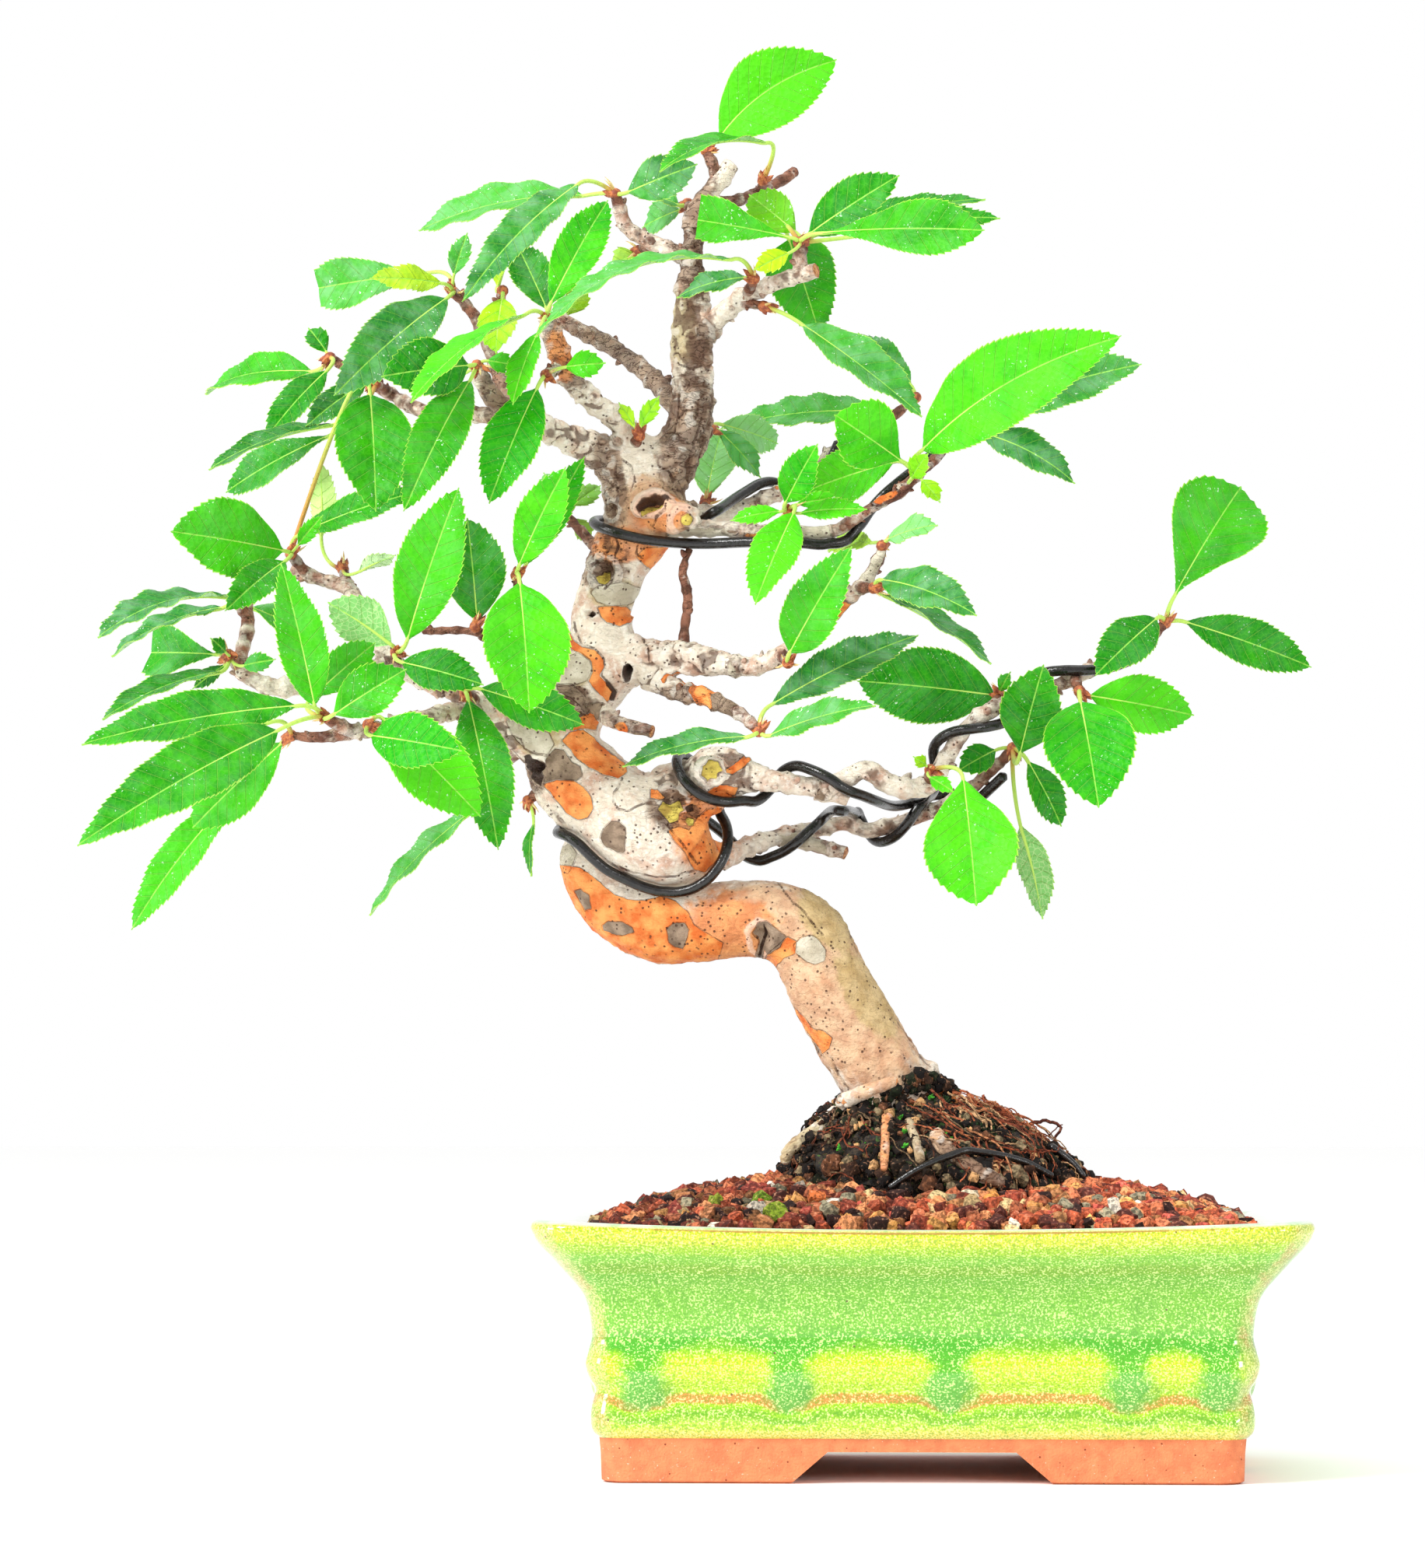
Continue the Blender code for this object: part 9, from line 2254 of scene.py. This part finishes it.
def rounded_ring(half_length: float, half_depth: float, corner: float, corner_steps: int,
                 long_steps: int, short_steps: int) -> np.ndarray:
    """Return a rectangle with round corners, anticlockwise from its right side's upper end.

    Args:
        half_length: Half its length.
        half_depth: Half its depth.
        corner: Its corners' radius.
        corner_steps: How many steps a corner has.
        long_steps: How many steps a long side has.
        short_steps: How many steps a short side has.

    Returns:
        Its points, as (count, 2).
    """
    points = []
    middles = ((1, 1), (-1, 1), (-1, -1), (1, -1))
    for turn, (sign_x, sign_y) in enumerate(middles):
        centre = np.array([sign_x * (half_length - corner), sign_y * (half_depth - corner)])
        angles = (turn + np.linspace(0.0, 1.0, corner_steps + 1)) * math.pi / 2.0
        points.append(centre + corner * np.column_stack((np.cos(angles), np.sin(angles))))
        steps = long_steps if turn % 2 == 0 else short_steps
        sign_x, sign_y = middles[(turn + 1) % 4]
        centre = np.array([sign_x * (half_length - corner), sign_y * (half_depth - corner)])
        start, stop = points[-1][-1], centre + corner * np.array(
            [math.cos((turn + 1) * math.pi / 2.0), math.sin((turn + 1) * math.pi / 2.0)])
        points.append(start + (stop - start) * (np.arange(1, steps) / steps)[:, None])
    return np.vstack(points)


@dataclass
class Pot:
    """The glazed pot: its rounded rolls and grooves, cut feet and drain holes."""

    corner_steps: int = 10
    long_steps: int = 112
    short_steps: int = 72
    dip_half: float = 4.6
    drop_shape: tuple = ((13.6, -2.0), (15.0, 2.2), (17.4, 4.4), (20.0, 4.8), (22.0, 3.8), (24.0, 3.2),
                         (26.5, 4.4), (28.5, 9.0), (30.0, 15.0))

    def profile(self) -> np.ndarray:
        """Return the pot's profile as insets and heights: a smooth curve through its own points."""
        foot = np.array(POT_OUTSIDE[:3], float)
        side = smooth_path(np.column_stack((POT_OUTSIDE[2:], np.zeros(len(POT_OUTSIDE) - 2))), 0.85)[:, :2]
        lip = np.array([(0.0, 51.8), (0.1, 52.9), (0.7, 53.7), (1.6, 54.0), (4.5, 54.0), (7.6, 53.8),
                        (9.4, 52.9)])
        inside = smooth_path(np.column_stack((POT_INSIDE[2:], np.zeros(len(POT_INSIDE) - 2))), 2.0)[:, :2]
        lip = smooth_path(np.column_stack((lip, np.zeros(len(lip)))), 0.7)[:, :2]
        under = np.array([(POT_OUTSIDE[0][0] + 0.5, 0.0), (14.1, 0.5), (14.0, 3.0)])
        return np.vstack((under, foot[1:2], side[:-1], lip, inside[1:]))

    def rings(self) -> np.ndarray:
        """Return the pot's rings: the rim sags along its long sides, and the groove dips at the drops."""
        rings = []
        for inset, height in self.profile():
            corner = max(3.0, POT_CORNER - 0.35 * inset)
            flat = rounded_ring(POT_LENGTH / 2 - inset, POT_DEPTH / 2 - inset, corner, self.corner_steps,
                                self.long_steps, self.short_steps)
            ramp = np.clip((height - 30.0) / (POT_HEIGHT - 30.0), 0.0, 1.0) ** 2
            drop = RIM_SAG * ramp * (1.0 - (flat[:, 0] / (POT_LENGTH / 2)) ** 2)
            outside = inset < 14.0 and height < 45.0
            band = np.clip(1.0 - abs(height - GROOVE_HEIGHT) / 8.0, 0.0, 1.0) * outside
            drop = drop + GROOVE_DIP * band * np.exp(-(self.from_drop(flat) / self.dip_half) ** 4)
            rings.append(np.column_stack((flat, height - drop)))
        return np.array(rings)

    def from_drop(self, flat: np.ndarray) -> np.ndarray:
        """Return how far places are, along the side, from the middle of the nearest drop of glaze.

        Args:
            flat: The places, as (count, 2).

        Returns:
            The distances.
        """
        long_side = np.abs(flat[:, 0]) < POT_LENGTH / 2 - POT_CORNER - 11.0
        long_side |= np.abs(flat[:, 1]) > POT_DEPTH / 2 - 16.0
        away = np.full(len(flat), 40.0)
        for drops, way, here in ((LONG_DROPS, flat[:, 0], long_side),
                                 (SHORT_DROPS, flat[:, 1], ~long_side)):
            for drop in drops:
                away = np.where(here, np.minimum(away, np.abs(way - drop)), away)
        return away

    def cutters(self) -> list[bpy.types.Object]:
        """Return the foot's cutters and the drain holes', as the solids have them.

        Returns:
            The cutters, as objects in the scene.
        """
        top = FOOT_CUT_HEIGHT
        outlines = [
            ([(-FOOT_CUT_BOTTOM / 2, -1.0), (FOOT_CUT_BOTTOM / 2, -1.0), (FOOT_CUT_TOP / 2, top),
              (-FOOT_CUT_TOP / 2, top)], -POT_DEPTH, POT_DEPTH, 1),
            ([(-SIDE_CUT_BOTTOM / 2, -1.0), (SIDE_CUT_BOTTOM / 2, -1.0), (SIDE_CUT_TOP / 2, top - 0.4),
              (-SIDE_CUT_TOP / 2, top - 0.4)], -POT_LENGTH, POT_LENGTH, 0),
        ]
        under = POT_OUTSIDE[0][0] + FOOT_WALL
        hollow = rounded_ring(POT_LENGTH / 2 - under, POT_DEPTH / 2 - under, 5.0, 6, 2, 2)
        outlines.append((hollow, -1.0, top + 0.5, 2))
        angles = np.arange(48) * math.pi / 24
        for side in (-1, 1):
            hole = np.column_stack((side * DRAIN_PLACE + DRAIN_HOLE / 2 * np.cos(angles),
                                    DRAIN_HOLE / 2 * np.sin(angles)))
            outlines.append((hole, -1.0, FLOOR_TOP + 5.0, 2))
        return [self.prism(*row) for row in outlines]

    def prism(self, outline: np.ndarray, start: float, stop: float, axis: int) -> bpy.types.Object:
        """Draw an outline out along an axis, from start to stop."""
        outline = np.asarray(outline, float)
        rings = [np.insert(outline, axis, place, axis=1) for place in (start, stop)]
        return put_in_scene("cutter", lofted(np.array(rings)), [])

    def glazed(self, skin: Skin) -> Skin:
        """Work out the glaze's fields from each point's place on the pot.

        rise is the height that the glaze's bands follow: up by the rim's sag, and up round a drop.

        Args:
            skin: The cut pot.

        Returns:
            The skin with the fields rise, drop, lip, edge, foot and corner.
        """
        x, y, z = skin.points.T
        from_end, from_front = POT_LENGTH / 2 - np.abs(x), POT_DEPTH / 2 - np.abs(y)
        inset = np.minimum(from_end, from_front)
        outside = inset < 15.0
        away = self.from_drop(skin.points[:, :2])
        heights, halves = np.array(self.drop_shape).T
        drop = np.where(outside, np.interp(z, heights, halves) - away, -9.0)
        sag = RIM_SAG * (1.0 - (x / (POT_LENGTH / 2)) ** 2)
        rise = z + sag * np.clip((z - 30.0) / 24.0, 0.0, 1.0) ** 2
        rise += 1.8 * np.exp(-(away / 5.2) ** 4) * np.clip((20.5 - z) / 2.0, 0.0, 1.0) * (z > 12.0)
        lip = np.clip((rise - 53.3) / 0.4, 0.0, 1.0)
        edge = np.exp(-((rise - 52.9) / 0.3) ** 2) * (inset < 1.5)
        foot = np.clip((9.6 - z) / 0.8, 0.0, 1.0)
        inner = (inset > 14.5) & (z > 12.0) & (z < 50.0)
        turn = inset + np.maximum(from_end, from_front)
        corner = np.clip((2.0 * np.clip(inset, 0.0, 13.0) + 7.5 - turn) / 6.0, 0.0, 1.0) * outside
        return skin.with_fields(rise=np.where(outside, rise, 38.0), drop=drop, lip=lip, edge=edge,
                                foot=np.maximum(foot, inner), corner=corner)

    def build(self) -> bpy.types.Object:
        """Make the pot, cut its feet and holes, and glaze it."""
        blank = put_in_scene("pot_in_the_making", lofted(self.rings()), [])
        cutters = self.cutters()
        for cutter in cutters:
            cut = blank.modifiers.new("cut", "BOOLEAN")
            cut.operation = "DIFFERENCE"
            cut.solver = "EXACT"
            cut.object = cutter
        blank.modifiers.new("split", "TRIANGULATE")
        skin = self.glazed(read_skin(blank))
        for cutter in cutters:
            bpy.data.objects.remove(cutter, do_unlink=True)
        return declared(put_in_scene("glazed_pot", skin, [GlazeFinish().make()], 35.0), "pot")


@dataclass
class Wires:
    """The two training wires wound on the wood, and the anchor wire's two visible stretches."""

    wood: Wood
    sides: int = 14
    smoothed: int = 12
    cleared: int = 6

    def laid(self, place: tuple, samples: np.ndarray, clearance: float) -> np.ndarray:
        """Return where the eye's ray through a place first comes within a clearance of the wood.

        Args:
            place: Across and down on the board, and front, back or a depth.
            samples: Points on the wood's axes with their radii.
            clearance: How far the wire's middle stays from the bark.

        Returns:
            The point.
        """
        if not isinstance(place[2], str):
            return seen(place)[0]
        depths = np.arange(-60.0, 60.0, 0.25)
        depths = depths[::-1] if place[2] == "back" else depths
        rays = seen(np.column_stack((np.tile(place[:2], (len(depths), 1)), depths)))
        near = np.abs(on_board(samples[:, :3]) - place[:2]).max(axis=1) < 160.0
        near = samples[near]
        away = np.linalg.norm(rays[:, None] - near[None, :, :3], axis=2) - near[None, :, 3]
        free = away.min(axis=1)
        close = np.flatnonzero(free < clearance)
        return rays[close[0] - 1] if len(close) else rays[int(np.argmin(free))]

    def pushed(self, line: np.ndarray, samples: np.ndarray, clearance: float) -> np.ndarray:
        """Move each point of a line that is too near the wood straight out of it."""
        away = np.linalg.norm(line[:, None] - samples[None, :, :3], axis=2) - samples[None, :, 3]
        outward = unit(line - samples[np.argmin(away, axis=1), :3])
        return line + outward * np.clip(clearance - away.min(axis=1), 0.0, None)[:, None]

    def route(self, places: tuple, samples: np.ndarray, clearance: float, spacing: float) -> np.ndarray:
        """Return a wire's line: laid on the wood, smoothed and kept clear of it, as the solids' is.

        Args:
            places: The wire's places on the board.
            samples: Points on the wood's axes with their radii.
            clearance: How far the wire's middle stays from the bark.
            spacing: The step along the wire, in millimetres.

        Returns:
            The line's points.
        """
        line = smooth_path([self.laid(place, samples, clearance) for place in places], spacing)
        for _ in range(self.smoothed):
            line = self.pushed(line, samples, clearance)
            line[1:-1] = 0.8 * line[1:-1] + 0.1 * (line[:-2] + line[2:])
        for _ in range(self.cleared):
            line = self.pushed(line, samples, clearance)
        return line

    def build(self, ball: RootBall) -> list[bpy.types.Object]:
        """Make the four wires: the solids' lines, smoothed, and lowered onto the finer bark.

        Args:
            ball: The root ball, which carries the anchor wire.

        Returns:
            The wires.
        """
        coarse, fine = self.wood.samples(LIMBS, False), self.wood.samples(LIMBS, True)
        angles, ways = np.meshgrid(np.linspace(0.0, 2.0 * math.pi, 120), np.linspace(0.0, 1.0, 60))
        skin = ball.place(angles, ways).reshape(-1, 3)
        roots = np.vstack((np.column_stack((skin, np.zeros(len(skin)))), self.wood.samples(ROOTS, True)))
        finish = PlainFinish.WIRE.make()
        pieces = []
        for name, places, samples, near, radius, spacing in (
                ("wire_lower", LOWER_WIRE, coarse, fine, WIRE_RADIUS, 4.8),
                ("wire_upper", UPPER_WIRE, coarse, fine, WIRE_RADIUS, 4.8),
                ("wire_anchor_long", ANCHOR_LONG, roots, roots, ANCHOR_RADIUS, 3.0),
                ("wire_anchor_short", ANCHOR_SHORT, roots, roots, ANCHOR_RADIUS, 3.0)):
            line = self.route(places, samples, radius + WIRE_CLEARANCE, spacing)
            line = self.pushed(smooth_path(line, 0.8), near, radius + 0.15)
            skin = tube(line, np.full(len(line), radius), self.sides, rounded=True)
            piece = put_in_scene(name.replace("wire", "bent_wire"), skin, [finish])
            pieces.append(declared(piece, name))
        return pieces


@dataclass
class Studio:
    """The pale floor, the soft lights and the camera that sees what the photograph shows."""

    lens: float = 113.57
    film: float = 36.0
    floor_half: float = 6.0

    def camera(self) -> None:
        """Set the camera at the eye, looking along the board's own directions."""
        data = bpy.data.cameras.new("camera")
        data.sensor_fit = "VERTICAL"
        data.sensor_height = self.film
        data.lens = self.lens
        data.clip_start, data.clip_end = 0.05, 50.0
        camera = bpy.data.objects.new("camera", data)
        axes = Matrix((RIGHT, UPWARD, -FORWARD)).transposed().to_4x4()
        camera.matrix_world = Matrix.Translation((EYE + ORIGIN) * MILLIMETRE) @ axes
        bpy.context.scene.collection.objects.link(camera)
        bpy.context.scene.camera = camera

    def floor(self) -> None:
        """Lay the plain pale floor that the pot stands on."""
        half = self.floor_half * METRE
        points = np.array([(-half, -half, 0.0), (half, -half, 0.0), (half, half, 0.0), (-half, half, 0.0)])
        recipe = Recipe("pale_floor", 0.9)
        square = Skin(points, np.array([[0, 1, 2, 3]]))
        plane = put_in_scene("floor", square, [recipe.done(FLOOR_COLOUR)])

    def light(self, name: str, place: tuple, size: float, power: float) -> None:
        """Hang a soft square light, aimed at the tree.

        Args:
            name: The light's name.
            place: Where it hangs, in metres from the pot's middle.
            size: Its side in metres.
            power: Its power in watts.
        """
        data = bpy.data.lights.new(name, "AREA")
        data.size = size
        data.energy = power
        lamp = bpy.data.objects.new(name, data)
        place = np.array(place) + ORIGIN * MILLIMETRE
        back = unit(place - (np.array([0.0, 0.0, AIM_HEIGHT]) + ORIGIN * MILLIMETRE))
        across = unit(np.cross((0.0, 0.0, 1.0), back))
        axes = Matrix((across, np.cross(back, across), back)).transposed().to_4x4()
        lamp.matrix_world = Matrix.Translation(place) @ axes
        bpy.context.scene.collection.objects.link(lamp)

    def build(self) -> None:
        """Set up the camera, floor, lights and white surroundings."""
        self.camera()
        self.floor()
        for light in LIGHTS:
            self.light(*light)
        world = bpy.data.worlds.new("white")
        world.use_nodes = True
        world.node_tree.nodes["Background"].inputs["Color"].default_value = (1.0, 1.0, 1.0, 1.0)
        world.node_tree.nodes["Background"].inputs["Strength"].default_value = 1.0
        bpy.context.scene.world = world
        bpy.context.scene.view_settings.view_transform = "Standard"


def dress_screens() -> None:
    """Give the drain screens, which stay as the solids have them, their plastic finish."""
    finish = PlainFinish.SCREEN.make()
    for node in ("screen_left", "screen_right"):
        item = bpy.data.objects[node]
        for slot in item.material_slots:
            slot.material = finish
        LOG.info("%s: stays, with its plastic finish", node)


def main() -> None:
    """Build the studio, then the pot, the soil, the wood, the wires and the leaves."""
    logging.basicConfig(level=logging.INFO, format="%(message)s")
    Studio().build()
    Pot().build()
    dress_screens()
    Soil().build()
    wood, ball = Wood(), RootBall()
    bark = BarkFinish().make()
    wood.build(bark)
    ball.build(wood, bark)
    Wires(wood).build(ball)
    finishes = {name: finish.make() for name, finish in LEAF_FINISHES.items()}
    buds = [PlainFinish.SCALE.make(), PlainFinish.STIPULE.make()]
    for seed, (name, spray) in enumerate(SPRAYS.items()):
        Foliage(name, spray, seed + 1).build(finishes[spray.colour], buds)


if __name__ == "__main__":
    main()
